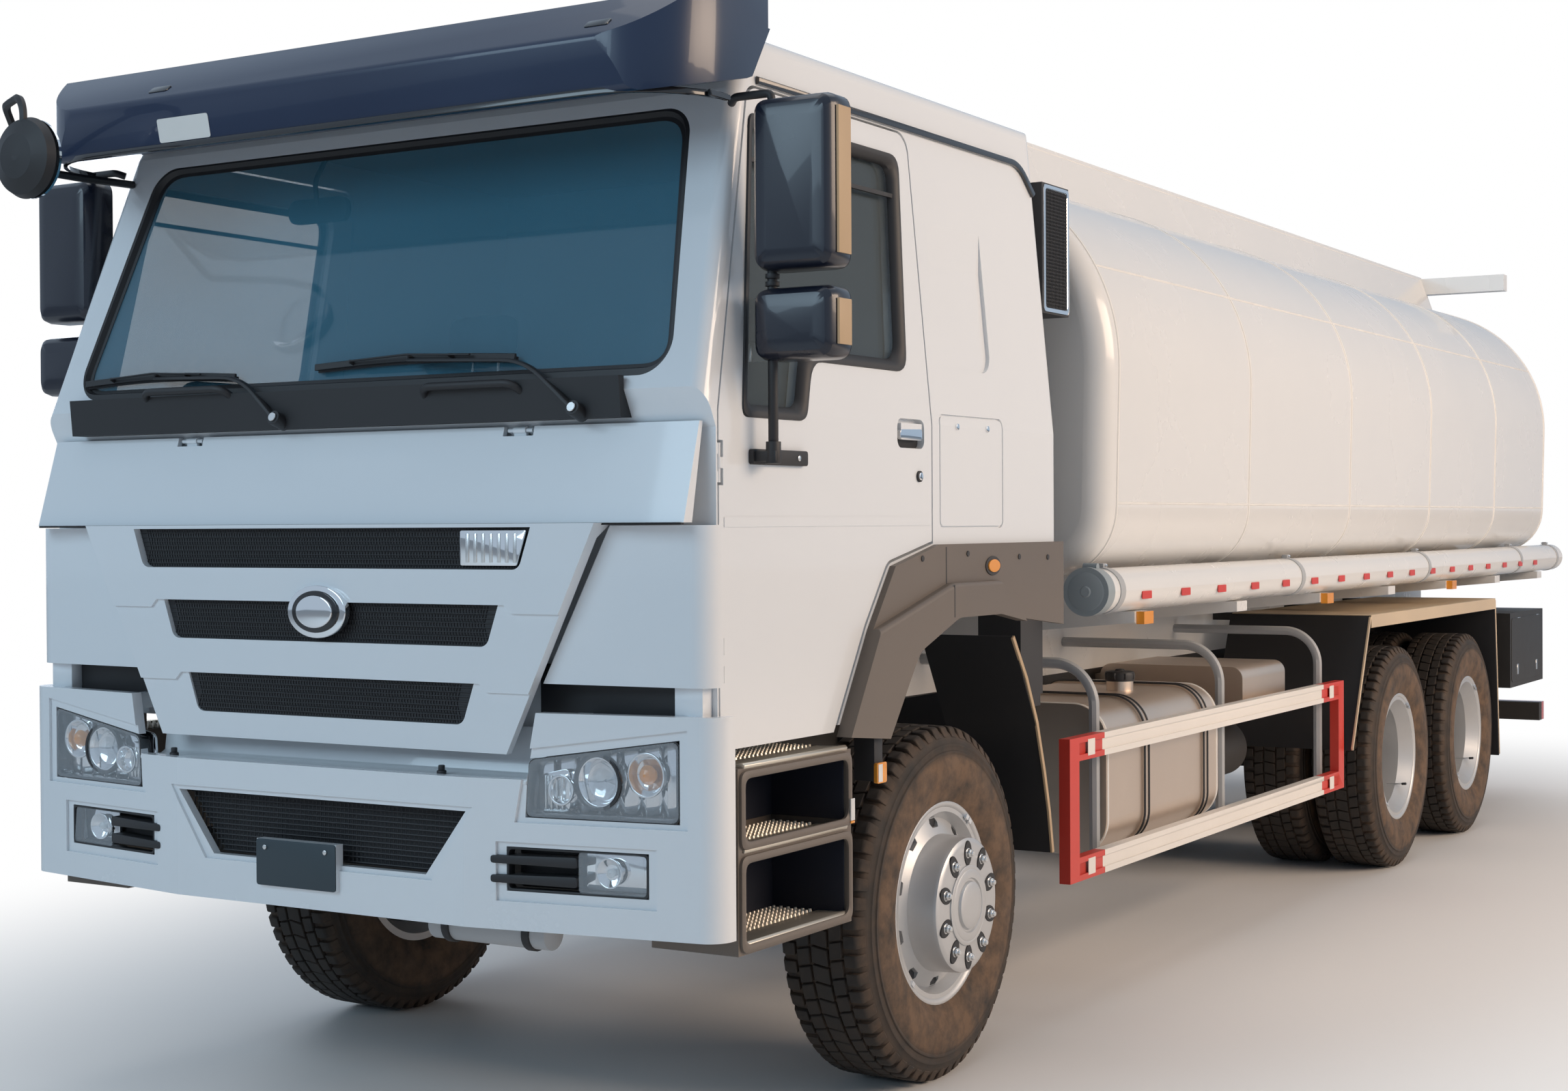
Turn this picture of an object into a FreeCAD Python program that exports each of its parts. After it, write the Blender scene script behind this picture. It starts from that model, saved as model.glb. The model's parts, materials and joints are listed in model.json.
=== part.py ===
"""A three-axle tanker truck: forward-control cab, oval tank, tandem drive axles.

X points to the truck's left, Y to its rear and Z up.  The origin lies on the ground,
on the centre line, midway between the front mirror and the rear hose tube caps.
Every place in the sheet is measured from the front axle, and front_axle_y moves
the whole truck to that origin.
"""
import FreeCAD, Part
import math
import os

import Sketcher

doc = FreeCAD.newDocument("TankerTruck")
sheet = doc.addObject("Spreadsheet::Sheet", "Sizes")

SIZES = [
    # chassis stations, along the truck from the front axle
    ("front_axle_y", -3310), ("wheelbase", 4800), ("bogie_spacing", 1350),
    # running clearances
    ("seat_gap", 0.3), ("panel_gap", 7), ("pin_gap", 0.3), ("over", 40),
    # tyres and wheels
    ("tyre_radius", 538), ("tyre_width", 312), ("tread_width", 244), ("tyre_facets", 44),
    ("bulge_share", 0.42), ("rim_radius", 300), ("rim_width", 246), ("rim_wall", 24),
    ("rim_well_radius", 240), ("front_track_half", 1020), ("dual_centre", 915), ("dual_pitch", 342),
    ("spindle_radius", 45), ("hub_radius", 118), ("hub_cap_radius", 88), ("hub_cap_reach", 62),
    ("disc_wall", 14), ("hand_hole", 26), ("hand_hole_circle", 228), ("drum_radius", 212),
    ("drum_wall", 20), ("drum_width", 150), ("front_disc_out", 122), ("rear_disc_out", 8),
    # frame
    ("rail_outer", 425), ("rail_height", 300), ("rail_flange", 80), ("rail_wall", 8),
    ("rail_top", 1060), ("frame_front", -1120), ("frame_overhang", 1810), ("cross_width", 110),
    ("cross_depth", 160), ("cross_count", 7),
    ("tow_half", 70), ("tow_out", 75), ("tow_wall", 40), ("tow_radius", 24), ("tow_low", 890),
    # front axle and steering
    ("kingpin_x", 830), ("kingpin_radius", 24), ("eye_radius", 52), ("eye_height", 130),
    ("ear_height", 42), ("beam_height", 92), ("beam_width", 100), ("beam_drop", 130),
    ("knuckle_wall", 36),
    # springs
    ("leaf_width", 90), ("leaf_pack", 78), ("front_leaf_half", 820), ("front_leaf_x", 395),
    ("front_leaf_rise", 190), ("bogie_leaf_x", 500), ("bogie_leaf_pack", 150), ("bogie_leaf_rise", 110),
    # drive axles
    ("axle_tube_radius", 88), ("banjo_radius", 235), ("shaft_radius", 60),
    # engine
    ("engine_front", -380), ("engine_rear", 880), ("engine_half", 300), ("engine_low", 620),
    ("engine_top", 1370), ("gearbox_rear", 1560), ("gearbox_half", 210), ("gearbox_low", 640),
    ("gearbox_top", 1120),
    # tank
    ("tank_front", 1150), ("tank_overhang", 190), ("tank_half", 1232), ("tank_low_half", 1200),
    ("tank_low", 1500), ("tank_flank", 1264), ("crown_rise", 444), ("crown_radius", 2000),
    ("shoulder_radius", 750), ("low_corner_radius", 250), ("knuckle_radius", 90),
    ("coaming_foot", 550), ("coaming_top_half", 455), ("coaming_rise", 17), ("coaming_wall", 22),
    ("coaming_inset", 40), ("coaming_depth", 258),
    ("lamp_bar_reach", 970), ("lamp_bar_drop", 93), ("lamp_bar_height", 100), ("lamp_bar_depth", 90),
    ("manhole_lead", 1850), ("manhole_trail", 2050), ("manhole_radius", 250),
    ("manhole_drop", 58), ("lid_wall", 26), ("lid_lip", 18), ("lid_hinge_radius", 14),
    # ladder at the rear end of the tank
    ("ladder_half", 210), ("ladder_gap", 130), ("ladder_low", 1250), ("ladder_rail", 36),
    ("ladder_rung", 13), ("ladder_pitch", 280), ("ladder_rungs", 7),
    # tank subframe
    ("bearer_width", 80), ("bearer_height", 200), ("bearer_front", 1000), ("bearer_out", 50),
    ("bolster_width", 120), ("bolster_count", 7), ("bolster_first", 1400), ("bolster_last", 270),
    ("bolster_half", 980), ("bolster_tip", 1212), ("bolster_tip_wall", 40),
    # hose tubes
    ("tube_x", 1161), ("tube_z", 1452), ("tube_radius", 79), ("tube_wall", 5),
    ("tube_front", 1080), ("tube_out", 324), ("tube_lid_depth", 60), ("tube_lid_wall", 6),
    # side guards
    ("guard_x", 1205), ("guard_wall", 40), ("guard_front", 837), ("guard_gap", 20),
    ("guard_low", 476), ("guard_top", 964), ("guard_rail", 80), ("guard_groove", 9),
    ("guard_arm", 40), ("hoop_lead", 60), ("hoop_lag", 80), ("hoop_end", 85), ("hoop_radius", 20),
    ("hoop_x", 1110), ("hoop_z", 1190), ("hoop_bend", 150),
    # fuel tank, air tanks, battery box
    ("fuel_front", 1330), ("fuel_gap", 370), ("fuel_inner", 470), ("fuel_outer", 1130),
    ("fuel_low", 500), ("fuel_top", 1040), ("fuel_corner", 130), ("strap_wall", 7),
    ("strap_width", 46), ("filler_radius", 52), ("filler_height", 55), ("filler_x", 900),
    ("small_length", 550), ("small_gap", 535), ("small_low", 852), ("small_top", 1085),
    ("small_outer", 1105), ("small_corner", 50),
    ("air_tank_radius", 125), ("air_tank_length", 800), ("air_tank_gap", 515),
    ("air_tank_x", 800), ("air_tank_z", 690),
    ("battery_front", 1330), ("battery_gap", 320), ("battery_outer", 1080), ("battery_low", 560),
    ("battery_top", 1000),
    # mudguards
    ("guard_plate_top", 1245), ("guard_plate_wall", 12), ("guard_plate_lead", 550),
    ("guard_plate_trail", 530), ("guard_plate_inner", 560), ("guard_plate_outer", 1240),
    ("flap_lead", 295), ("flap_front_z", 642), ("flap_trail", 95), ("flap_rear_z", 360),
    ("front_flap_sink", 160), ("front_flap_reach", 170), ("front_flap_top_y", 420),
    ("front_flap_top_z", 1330), ("front_flap_low_y", 723), ("front_flap_low_z", 598),
    ("front_flap_wall", 14), ("front_flap_bulge", 62),
    # rear end
    ("box_gap", 370), ("box_length", 850), ("box_outer", 1240),
    ("box_low", 720), ("box_top", 1150), ("underrun_half", 1180), ("underrun_low", 450),
    ("underrun_height", 110), ("underrun_out", 120), ("underrun_wall", 70),
    ("tail_lamp_width", 380), ("tail_lamp_wall", 60),
    # cab shell
    ("cab_half", 1195), ("cab_lean", 85), ("belt", 1985), ("gutter_rise", 900), ("cab_wall", 58),
    ("cab_front_low", -1335), ("firewall_top", 1940), ("cab_low", 1140), ("cab_rear", 768),
    ("roof_rise", 115), ("screen_low_y", -1385), ("screen_low", 2040), ("screen_top_y", -1100),
    ("screen_drop", 45), ("roof_front_y", -1010), ("arch_low_y", -640), ("arch_top_y", -330),
    ("arch_top", 1430), ("pillar_round", 40), ("floor_wall", 60),
    # pressings in the sleeper's sides
    ("blind_front", -70), ("blind_rear", 295), ("blind_low", 2160), ("blind_drop", 85),
    ("blind_depth", 12), ("blind_corner", 60), ("locker_front", -98), ("locker_rear", 345),
    ("locker_low", 1677), ("locker_top", 2020), ("locker_gap", 7), ("locker_corner", 25),
    # doors
    ("door_front", -1322), ("door_rear", -150), ("door_low", 1122), ("door_drop", 35),
    ("sill_rear_y", -745), ("sill_knee_y", -566), ("sill_knee", 1410), ("sill_brow_y", -430),
    ("sill_brow", 1585), ("sill_end", 1640), ("door_corner", 60),
    ("window_low", 2150), ("window_dip", 1985), ("window_dip_rear", -900), ("window_drop", 85),
    ("window_front_low", -1195), ("window_front_top", -1040), ("window_rear_low", -300),
    ("window_rear_top", -235), ("window_corner", 55), ("glass_wall", 8),
    ("handle_front", -365), ("handle_rear", -196), ("handle_low", 1912), ("handle_high", 1998),
    ("handle_depth", 24), ("grip_height", 26),
    # windscreen
    ("glass_border", 110), ("glass_top_border", 125), ("glass_low", 2075), ("glass_drop", 40),
    ("glass_corner", 90),
    # visor
    ("visor_inset", 30), ("visor_back_y", -1020), ("visor_rise", 85), ("visor_brow_y", -1330),
    ("visor_brow_rise", 50), ("visor_nose_y", -1500), ("visor_nose_drop", 80), ("visor_lip_drop", 225),
    ("visor_lip_y", -1470), ("visor_under_drop", 150), ("visor_under_y", -1130), ("visor_corner", 260),
    ("visor_round", 22),
    # front cover and grille
    ("cover_inset", 29), ("cover_top", 1955), ("cover_top_y", -1365), ("cover_top_wall", 15),
    ("cover_break", 1700),
    ("cover_break_y", -1440), ("shield_top_half", 920), ("shield_low_half", 625),
    ("shield_low", 1100), ("shield_y", -1478), ("cover_wall", 38), ("slot_height", 110),
    ("slot_one_half", 719), ("slot_one_top", 1690), ("slot_two_half", 607), ("slot_two_top", 1488),
    ("slot_three_half", 519), ("slot_three_top", 1281), ("slot_corner", 30), ("mesh_wall", 10),
    ("louvre_step", 8), ("louvre_ear", 45), ("louvre_drop", 22),
    # corner panels
    ("corner_proud", 20), ("corner_low", 1285), ("corner_front_y", -1400), ("corner_round", 60),
    # cowl
    ("cowl_low", 1962), ("cowl_right_gap", 135), ("cowl_left_gap", 245), ("cowl_y", -1400),
    # bumper
    ("bumper_proud", 49), ("bumper_front", -1510), ("bumper_side_y", -1330), ("bumper_low", 650),
    ("bumper_top", 1213), ("bumper_wall", 34), ("bumper_sweep_y", -1402), ("bumper_mid_top", 1040),
    ("lamp_step", 5), ("intake_half", 520), ("intake_low_half", 385), ("intake_top", 950),
    ("intake_low", 775), ("lamp_width", 435), ("lamp_edge", 114), ("lamp_low", 942),
    ("lamp_top", 1154), ("fog_width", 404), ("fog_edge", 200), ("fog_low", 750), ("fog_top", 865),
    ("bumper_round", 66), ("bumper_frame", 26), ("bumper_relief", 9),
    ("plate_right", -200), ("plate_left", 90), ("plate_low", 706), ("plate_top", 834),
    ("plate_wall", 12),
    # steps
    ("step_proud", 30), ("step_depth", 265), ("step_front", -1290), ("step_rear", -705),
    ("step_low", 600), ("step_top", 1075), ("step_box_top", 860), ("step_wall", 20),
    # arch cladding
    ("clad_wall", 20), ("clad_rear_low", 1356), ("clad_top", 1630),
    ("clad_arch_front", -503), ("clad_arch_low", 1085), ("clad_arch_knee_y", -320),
    ("clad_arch_knee", 1320), ("clad_arch_top_y", -60), ("clad_arch_top", 1410),
    ("flare_width", 105), ("flare_wall", 28), ("flare_rear_y", 420),
    # mirrors
    ("mirror_gap", 17), ("mirror_width", 248), ("mirror_y", -1150), ("mirror_depth", 110),
    ("mirror_low", 2340), ("mirror_top", 2785), ("wide_low", 2110), ("wide_top", 2300),
    ("mirror_tube", 14), ("mirror_foot", 1875), ("mirror_round", 40),
    ("front_mirror_x", -850), ("front_mirror_y", -1750), ("front_mirror_z", 2740),
    ("front_mirror_radius", 115), ("front_mirror_inset", 115), ("front_mirror_base_y", -1133.3),
    ("front_mirror_base_z", 2760), ("front_mirror_tube", 12), ("front_mirror_bend", 60),
    ("front_mirror_depth", 70),
    # inside the cab
    ("dash_low", 1440), ("dash_top", 1990), ("dash_rear", -930),
    ("dash_gap", 155), ("wheel_x", 560), ("wheel_y", -702), ("wheel_z", 1912),
    ("steer_radius", 235), ("steer_tube", 15), ("steer_facets", 24), ("seat_width", 520),
    ("seat_x", 560),
    ("seat_front", -520), ("seat_rear", -20), ("seat_low", 1490.3), ("seat_top", 1750),
    ("seat_back_top", 2420), ("seat_back_wall", 140), ("bunk_front", 80), ("bunk_top", 1840),
    # air intake
    ("snorkel_front", 830), ("snorkel_rear", 1050), ("snorkel_inset", 80), ("snorkel_width", 255),
    ("snorkel_low", 2400), ("snorkel_top", 2840), ("duct_low", 1100), ("duct_width", 215),
    # marker lamps
    ("marker_width", 90), ("marker_height", 45), ("marker_wall", 30), ("marker_step", 2),
    # hinge lines
    ("tilt_y", -1100), ("tilt_z", 815), ("tilt_radius", 30), ("tilt_ear", 40), ("tilt_ear_x", 455),
    ("hinge_pin", 6), ("hinge_barrel", 10), ("hinge_long", 100), ("door_hinge_low", 1300),
    ("door_hinge_high", 1800), ("cover_hinge_x", 600),
]

for row, (alias, value) in enumerate(SIZES, start=1):
    sheet.set("A%d" % row, alias)
    sheet.set("B%d" % row, str(value))
    sheet.setAlias("B%d" % row, alias)
doc.recompute()


class Size:
    """A length that knows its number and the sheet formula that gives it."""

    def __init__(self, text, number):
        self.text = text
        self.number = number

    def __add__(self, other):
        return combine(self, "+", other, self.number + number_of(other))

    def __radd__(self, other):
        return combine(other, "+", self, number_of(other) + self.number)

    def __sub__(self, other):
        return combine(self, "-", other, self.number - number_of(other))

    def __rsub__(self, other):
        return combine(other, "-", self, number_of(other) - self.number)

    def __mul__(self, share):
        return combine(self, "*", share, self.number * number_of(share))

    __rmul__ = __mul__

    def __truediv__(self, share):
        return combine(self, "/", share, self.number / number_of(share))

    def __neg__(self):
        return Size("(0 - %s)" % self.text, -self.number)


def number_of(value):
    return value.number if isinstance(value, Size) else float(value)


def min_of(one, other):
    return one if number_of(one) <= number_of(other) else other


def max_of(one, other):
    return one if number_of(one) > number_of(other) else other


def text_of(value):
    return value.text if isinstance(value, Size) else repr(value)


def combine(left, sign, right, number):
    return Size("(%s %s %s)" % (text_of(left), sign, text_of(right)), number)


class SheetSizes:
    """Gives each named cell of the sheet as a Size."""

    def __getattr__(self, alias):
        return Size("Sizes." + alias, float(sheet.get(alias)))


S = SheetSizes()

# Places that follow from the sizes. The cab's heights hang from its gutter and its
# fittings stand off its sides. The tank's heights hang from its crown. Behind the cab
# the frame, tank, guards and boxes follow the rear axles.
S.cab_top_half = S.cab_half - S.cab_lean
S.glass_low_half = S.cab_half - S.glass_border
S.glass_top_half = S.cab_top_half - S.glass_top_border
S.visor_half = S.cab_half - S.visor_inset
S.cover_half = S.cab_half - S.cover_inset
S.corner_half = S.cab_half + S.corner_proud
S.cowl_right = S.cowl_right_gap - S.cab_half
S.cowl_left = S.cab_half - S.cowl_left_gap
S.bumper_half = S.cab_half + S.bumper_proud
S.lamp_outer = S.bumper_half - S.lamp_edge
S.lamp_inner = S.lamp_outer - S.lamp_width
S.fog_outer = S.bumper_half - S.fog_edge
S.fog_inner = S.fog_outer - S.fog_width
S.bumper_mid_half = S.lamp_inner + S.lamp_step
S.step_outer = S.cab_half + S.step_proud
S.step_inner = S.step_outer - S.step_depth
S.dash_half = S.cab_half - S.dash_gap
S.snorkel_outer = S.cab_half - S.snorkel_inset
S.snorkel_inner = S.snorkel_outer - S.snorkel_width
S.duct_inner = S.snorkel_outer - S.duct_width
S.front_mirror_base_x = S.front_mirror_inset - S.cab_half
S.front_flap_outer = S.front_track_half + S.front_flap_reach
S.front_flap_inner = S.front_track_half - S.front_flap_sink
S.gutter = S.belt + S.gutter_rise
S.cab_roof = S.gutter + S.roof_rise
S.screen_top = S.gutter - S.screen_drop
S.glass_top = S.screen_top - S.glass_drop
S.door_top = S.gutter - S.door_drop
S.window_top = S.door_top - S.window_drop
S.blind_top = S.gutter - S.blind_drop
S.visor_top = S.cab_roof + S.visor_rise
S.visor_brow = S.cab_roof + S.visor_brow_rise
S.visor_nose = S.cab_roof - S.visor_nose_drop
S.visor_lip = S.cab_roof - S.visor_lip_drop
S.visor_under = S.cab_roof - S.visor_under_drop
S.tank_shoulder = S.tank_low + S.tank_flank
S.tank_peak = S.tank_shoulder + S.crown_rise
S.frame_rear = S.wheelbase + S.bogie_spacing + S.frame_overhang
S.tow_y = S.frame_rear + S.tow_out
S.underrun_y = S.frame_rear + S.underrun_out
S.tank_rear = S.frame_rear + S.tank_overhang
S.bearer_rear = S.tank_rear + S.bearer_out
S.tube_rear = S.tank_rear + S.tube_out
S.manhole_front_y = S.tank_front + S.manhole_lead
S.manhole_rear_y = S.tank_rear - S.manhole_trail
S.bolster_pitch = (S.tank_rear - S.bolster_last - S.bolster_first) / (S.bolster_count - 1)
S.guard_plate_front = S.wheelbase - S.guard_plate_lead
S.guard_plate_rear = S.wheelbase + S.bogie_spacing + S.guard_plate_trail
S.flap_front_y = S.guard_plate_front - S.flap_lead
S.flap_rear_y = S.guard_plate_rear + S.flap_trail
S.box_front = S.guard_plate_rear + S.box_gap
S.box_rear = S.box_front + S.box_length
S.guard_rear = S.flap_front_y - S.guard_gap
S.small_rear = S.guard_rear - S.small_gap
S.small_front = S.small_rear - S.small_length
S.fuel_rear = S.small_front - S.fuel_gap
S.hoop_first = S.fuel_front - S.hoop_lead
S.hoop_second = S.fuel_rear + S.hoop_lag
S.hoop_third = S.guard_rear - S.hoop_end
S.air_tank_rear = S.guard_rear - S.air_tank_gap
S.air_tank_front = S.air_tank_rear - S.air_tank_length
S.battery_rear = S.air_tank_front - S.battery_gap
S.coaming_top = S.tank_peak + S.coaming_rise
S.coaming_low = S.tank_peak - S.coaming_depth
S.coaming_front = S.tank_front + S.coaming_inset
S.coaming_rear = S.tank_rear - S.coaming_inset
S.lamp_bar_low = S.tank_peak - S.lamp_bar_drop
S.manhole_top = S.tank_peak - S.manhole_drop
S.mirror_inner = S.cab_half + S.mirror_gap
S.mirror_outer = S.mirror_inner + S.mirror_width


def value(name):
    return getattr(S, name).number


NODES = []
CUTS = []


def bind(thing, prop, size):
    if isinstance(size, Size):
        thing.setExpression(prop, size.text)
    else:
        thing.setExpression(prop, repr(size))


def move(thing, x=0, y=0, z=0):
    for letter, size in zip("xyz", (x, y, z)):
        bind(thing, "Placement.Base." + letter, size)


def node(thing, label):
    """Names a finished sub-part, so that it is checked and written out."""
    thing.Label = label
    NODES.append(thing)
    return thing


def body(name, x=0, y=0, z=0):
    """A new body, its origin at the front axle's station unless moved from there."""
    made = doc.addObject("PartDesign::Body", name)
    move(made, x, S.front_axle_y + y, z)
    return made


PLANES = {"XY": "XY_Plane", "XZ": "XZ_Plane", "YZ": "YZ_Plane"}


def origin_part(made, role):
    return [part for part in made.Origin.OriginFeatures if part.Role == role][0]


def new_sketch(made, plane, at):
    """A sketch on one of the body's planes, moved to the station at along its normal."""
    sketch = made.newObject("Sketcher::SketchObject", made.Name + "_sketch")
    sketch.AttachmentSupport = [(origin_part(made, PLANES[plane]), "")]
    sketch.MapMode = "FlatFace"
    if isinstance(at, Size):
        bind(sketch, "AttachmentOffset.Base.z", -at if plane == "XZ" else at)
    return sketch


def corner_of(entry):
    x, y = entry[0], entry[1]
    radius = entry[2] if len(entry) > 2 else None
    return x, y, radius


def add_outline(sketch, corners):
    """Draws a closed outline: each corner is (x, y) or, rounded, (x, y, radius)."""
    corners = [corner_of(entry) for entry in corners]
    points = [FreeCAD.Vector(number_of(x), number_of(y), 0) for x, y, radius in corners]
    count = len(corners)
    ends = []
    for index, (x, y, radius) in enumerate(corners):
        here, before, after = points[index], points[index - 1], points[(index + 1) % count]
        if radius is None:
            ends.append((here, here, None))
            continue
        into = (before - here).normalize()
        away = (after - here).normalize()
        half = math.acos(max(-1.0, min(1.0, into.dot(away)))) / 2
        reach = number_of(radius) / math.tan(half)
        start, stop = here + into * reach, here + away * reach
        centre = here + (into + away).normalize() * (number_of(radius) / math.sin(half))
        ends.append((start, stop, centre))
    first = sketch.GeometryCount
    for index in range(count):
        sketch.addGeometry(Part.LineSegment(ends[index][1], ends[(index + 1) % count][0]), False)
    rules = []
    sizes = []
    for index, (x, y, radius) in enumerate(corners):
        line_in, line_out = first + (index - 1) % count, first + index
        start, stop, centre = ends[index]
        if centre is None:
            rules.append(Sketcher.Constraint("Coincident", line_in, 2, line_out, 1))
            held = (line_out, 1)
        else:
            turn = (start - centre).cross(stop - centre).z
            low, high = (start, stop) if turn > 0 else (stop, start)
            angle_low = math.atan2(low.y - centre.y, low.x - centre.x)
            angle_high = math.atan2(high.y - centre.y, high.x - centre.x)
            circle = Part.Circle(centre, FreeCAD.Vector(0, 0, 1), number_of(radius))
            arc = sketch.addGeometry(Part.ArcOfCircle(circle, angle_low, angle_high), False)
            at_start, at_stop = (1, 2) if turn > 0 else (2, 1)
            rules.append(Sketcher.Constraint("Tangent", line_in, 2, arc, at_start))
            rules.append(Sketcher.Constraint("Tangent", line_out, 1, arc, at_stop))
            point = sketch.addGeometry(Part.Point(points[index]), True)
            rules.append(Sketcher.Constraint("PointOnObject", point, 1, line_in))
            rules.append(Sketcher.Constraint("PointOnObject", point, 1, line_out))
            held = (point, 1)
            sizes.append((("Radius", arc, number_of(radius)), radius))
        sizes.append((("DistanceX", -1, 1, held[0], held[1], number_of(x)), x))
        sizes.append((("DistanceY", -1, 1, held[0], held[1], number_of(y)), y))
    sketch.addConstraint(rules)
    for arguments, size in sizes:
        made = sketch.addConstraint(Sketcher.Constraint(*arguments))
        if isinstance(size, Size):
            sketch.setExpression("Constraints[%d]" % made, size.text)


def add_circle(sketch, x, y, radius):
    centre = FreeCAD.Vector(number_of(x), number_of(y), 0)
    ring = sketch.addGeometry(Part.Circle(centre, FreeCAD.Vector(0, 0, 1), number_of(radius)), False)
    for arguments, size in ((("Radius", ring, number_of(radius)), radius),
                            (("DistanceX", -1, 1, ring, 3, number_of(x)), x),
                            (("DistanceY", -1, 1, ring, 3, number_of(y)), y)):
        made = sketch.addConstraint(Sketcher.Constraint(*arguments))
        if isinstance(size, Size):
            sketch.setExpression("Constraints[%d]" % made, size.text)


def extrude(made, kind, sketch, plane, start, stop):
    """Pads or pockets a sketch from the station start to the station stop."""
    feature = made.newObject("PartDesign::" + kind, made.Name + "_" + kind.lower())
    feature.Profile = sketch
    bind(feature, "Length", stop - start)
    upwards = plane != "XZ"
    feature.Reversed = (not upwards) if kind == "Pad" else upwards
    if kind == "Pocket":
        CUTS.append(feature)
    return feature


def pad(made, plane, corners, start, stop):
    sketch = new_sketch(made, plane, start)
    add_outline(sketch, corners)
    return extrude(made, "Pad", sketch, plane, start, stop)


def pad_circle(made, plane, x, y, radius, start, stop):
    sketch = new_sketch(made, plane, start)
    add_circle(sketch, x, y, radius)
    return extrude(made, "Pad", sketch, plane, start, stop)


def pocket(made, plane, corners, start, stop):
    sketch = new_sketch(made, plane, start)
    add_outline(sketch, corners)
    return extrude(made, "Pocket", sketch, plane, start, stop)


def pocket_circle(made, plane, x, y, radius, start, stop):
    sketch = new_sketch(made, plane, start)
    add_circle(sketch, x, y, radius)
    return extrude(made, "Pocket", sketch, plane, start, stop)


def trim(made, plane, corners, start, stop, low, high):
    """Cuts away all that lies outside an outline, out to the box from low to high."""
    sketch = new_sketch(made, plane, start)
    add_outline(sketch, [(low[0], low[1]), (high[0], low[1]), (high[0], high[1]), (low[0], high[1])])
    add_outline(sketch, corners)
    return extrude(made, "Pocket", sketch, plane, start, stop)


def revolve(made, plane, corners, axis, at=None):
    sketch = new_sketch(made, plane, at)
    add_outline(sketch, corners)
    feature = made.newObject("PartDesign::Revolution", made.Name + "_turned")
    feature.Profile = sketch
    feature.ReferenceAxis = (sketch, [axis])
    feature.Angle = 360.0
    return feature


def mirrored(made, features, role="YZ_Plane"):
    feature = made.newObject("PartDesign::Mirrored", made.Name + "_mirrored")
    feature.Originals = features
    feature.MirrorPlane = (origin_part(made, role), [""])
    made.Tip = feature
    return feature


def row_of(made, features, role, pitch, count):
    feature = made.newObject("PartDesign::LinearPattern", made.Name + "_row")
    feature.Originals = features
    feature.Direction = (origin_part(made, role), [""])
    feature.Mode = "Spacing"
    bind(feature, "Offset", pitch)
    bind(feature, "Occurrences", count)
    made.Tip = feature
    return feature


def ring_of(made, features, role, count):
    feature = made.newObject("PartDesign::PolarPattern", made.Name + "_ring")
    feature.Originals = features
    feature.Axis = (origin_part(made, role), [""])
    feature.Angle = 360.0
    feature.Occurrences = count
    made.Tip = feature
    return feature


def round_edges(made, radius, test):
    """Rounds the edges of the body's last shape whose middle point passes the test."""
    doc.recompute()
    last = made.Tip
    names = []
    for index, edge in enumerate(last.Shape.Edges, start=1):
        middle = edge.valueAt((edge.FirstParameter + edge.LastParameter) / 2)
        direction = edge.tangentAt((edge.FirstParameter + edge.LastParameter) / 2)
        if test(middle, direction):
            names.append("Edge%d" % index)
    feature = made.newObject("PartDesign::Fillet", made.Name + "_rounded")
    feature.Base = (last, names)
    bind(feature, "Radius", radius)
    return feature


def other_side(thing, name):
    """The same sub-part on the truck's right."""
    copy = doc.addObject("Part::Mirroring", name)
    copy.Source = thing
    copy.Base = (0, 0, 0)
    copy.Normal = (1, 0, 0)
    return copy


def both_sides(thing, name):
    pair = doc.addObject("Part::Compound", name)
    pair.Links = [thing, other_side(thing, name + "_right")]
    return pair


def group(things, name):
    made = doc.addObject("Part::Compound", name)
    made.Links = things
    return made


def cut(base, tool, name):
    made = doc.addObject("Part::Cut", name)
    made.Base = base
    made.Tool = tool
    return made


def common(base, tool, name):
    made = doc.addObject("Part::Common", name)
    made.Base = base
    made.Tool = tool
    return made


def box(name, x, y, z):
    """A box from three (low, high) pairs, its y measured from the front axle."""
    made = doc.addObject("Part::Box", name)
    for prop, pair in (("Length", x), ("Width", y), ("Height", z)):
        bind(made, prop, pair[1] - pair[0])
    move(made, x[0], S.front_axle_y + y[0], z[0])
    return made


def round_bar(name, axis, radius, start, stop, a, b):
    """A cylinder along X, Y or Z; a and b are its two other coordinates, in X, Y, Z order."""
    made = doc.addObject("Part::Cylinder", name)
    bind(made, "Radius", radius)
    bind(made, "Height", stop - start)
    spin = {"X": FreeCAD.Rotation(FreeCAD.Vector(0, 1, 0), 90),
            "Y": FreeCAD.Rotation(FreeCAD.Vector(1, 0, 0), -90),
            "Z": FreeCAD.Rotation()}[axis]
    made.Placement = FreeCAD.Placement(FreeCAD.Vector(0, 0, 0), spin)
    place = {"X": (start, S.front_axle_y + a, b), "Y": (a, S.front_axle_y + start, b),
             "Z": (a, S.front_axle_y + b, start)}[axis]
    move(made, *place)
    return made


def fuse(things, name):
    made = doc.addObject("Part::MultiFuse", name)
    made.Shapes = things
    made.Refine = True
    return made


# Wheels and tyres.  Each is turned about its own X axis, +X pointing outwards.

def faceted_ring(outline, facets):
    """A solid ring of flat facets about X, from a closed outline of (across, radius) points."""
    rows = []
    for turn in (2 * math.pi * index / facets for index in range(facets)):
        rows.append([FreeCAD.Vector(across, radius * math.sin(turn), -radius * math.cos(turn))
                     for across, radius in outline])
    faces = []
    for row, following in zip(rows, rows[1:] + rows[:1]):
        for low, high in zip(range(len(outline)), list(range(1, len(outline))) + [0]):
            corners = [row[low], row[high], following[high], following[low]]
            faces.append(Part.Face(Part.makePolygon(corners + corners[:1])))
    return Part.makeSolid(Part.makeShell(faces))


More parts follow.
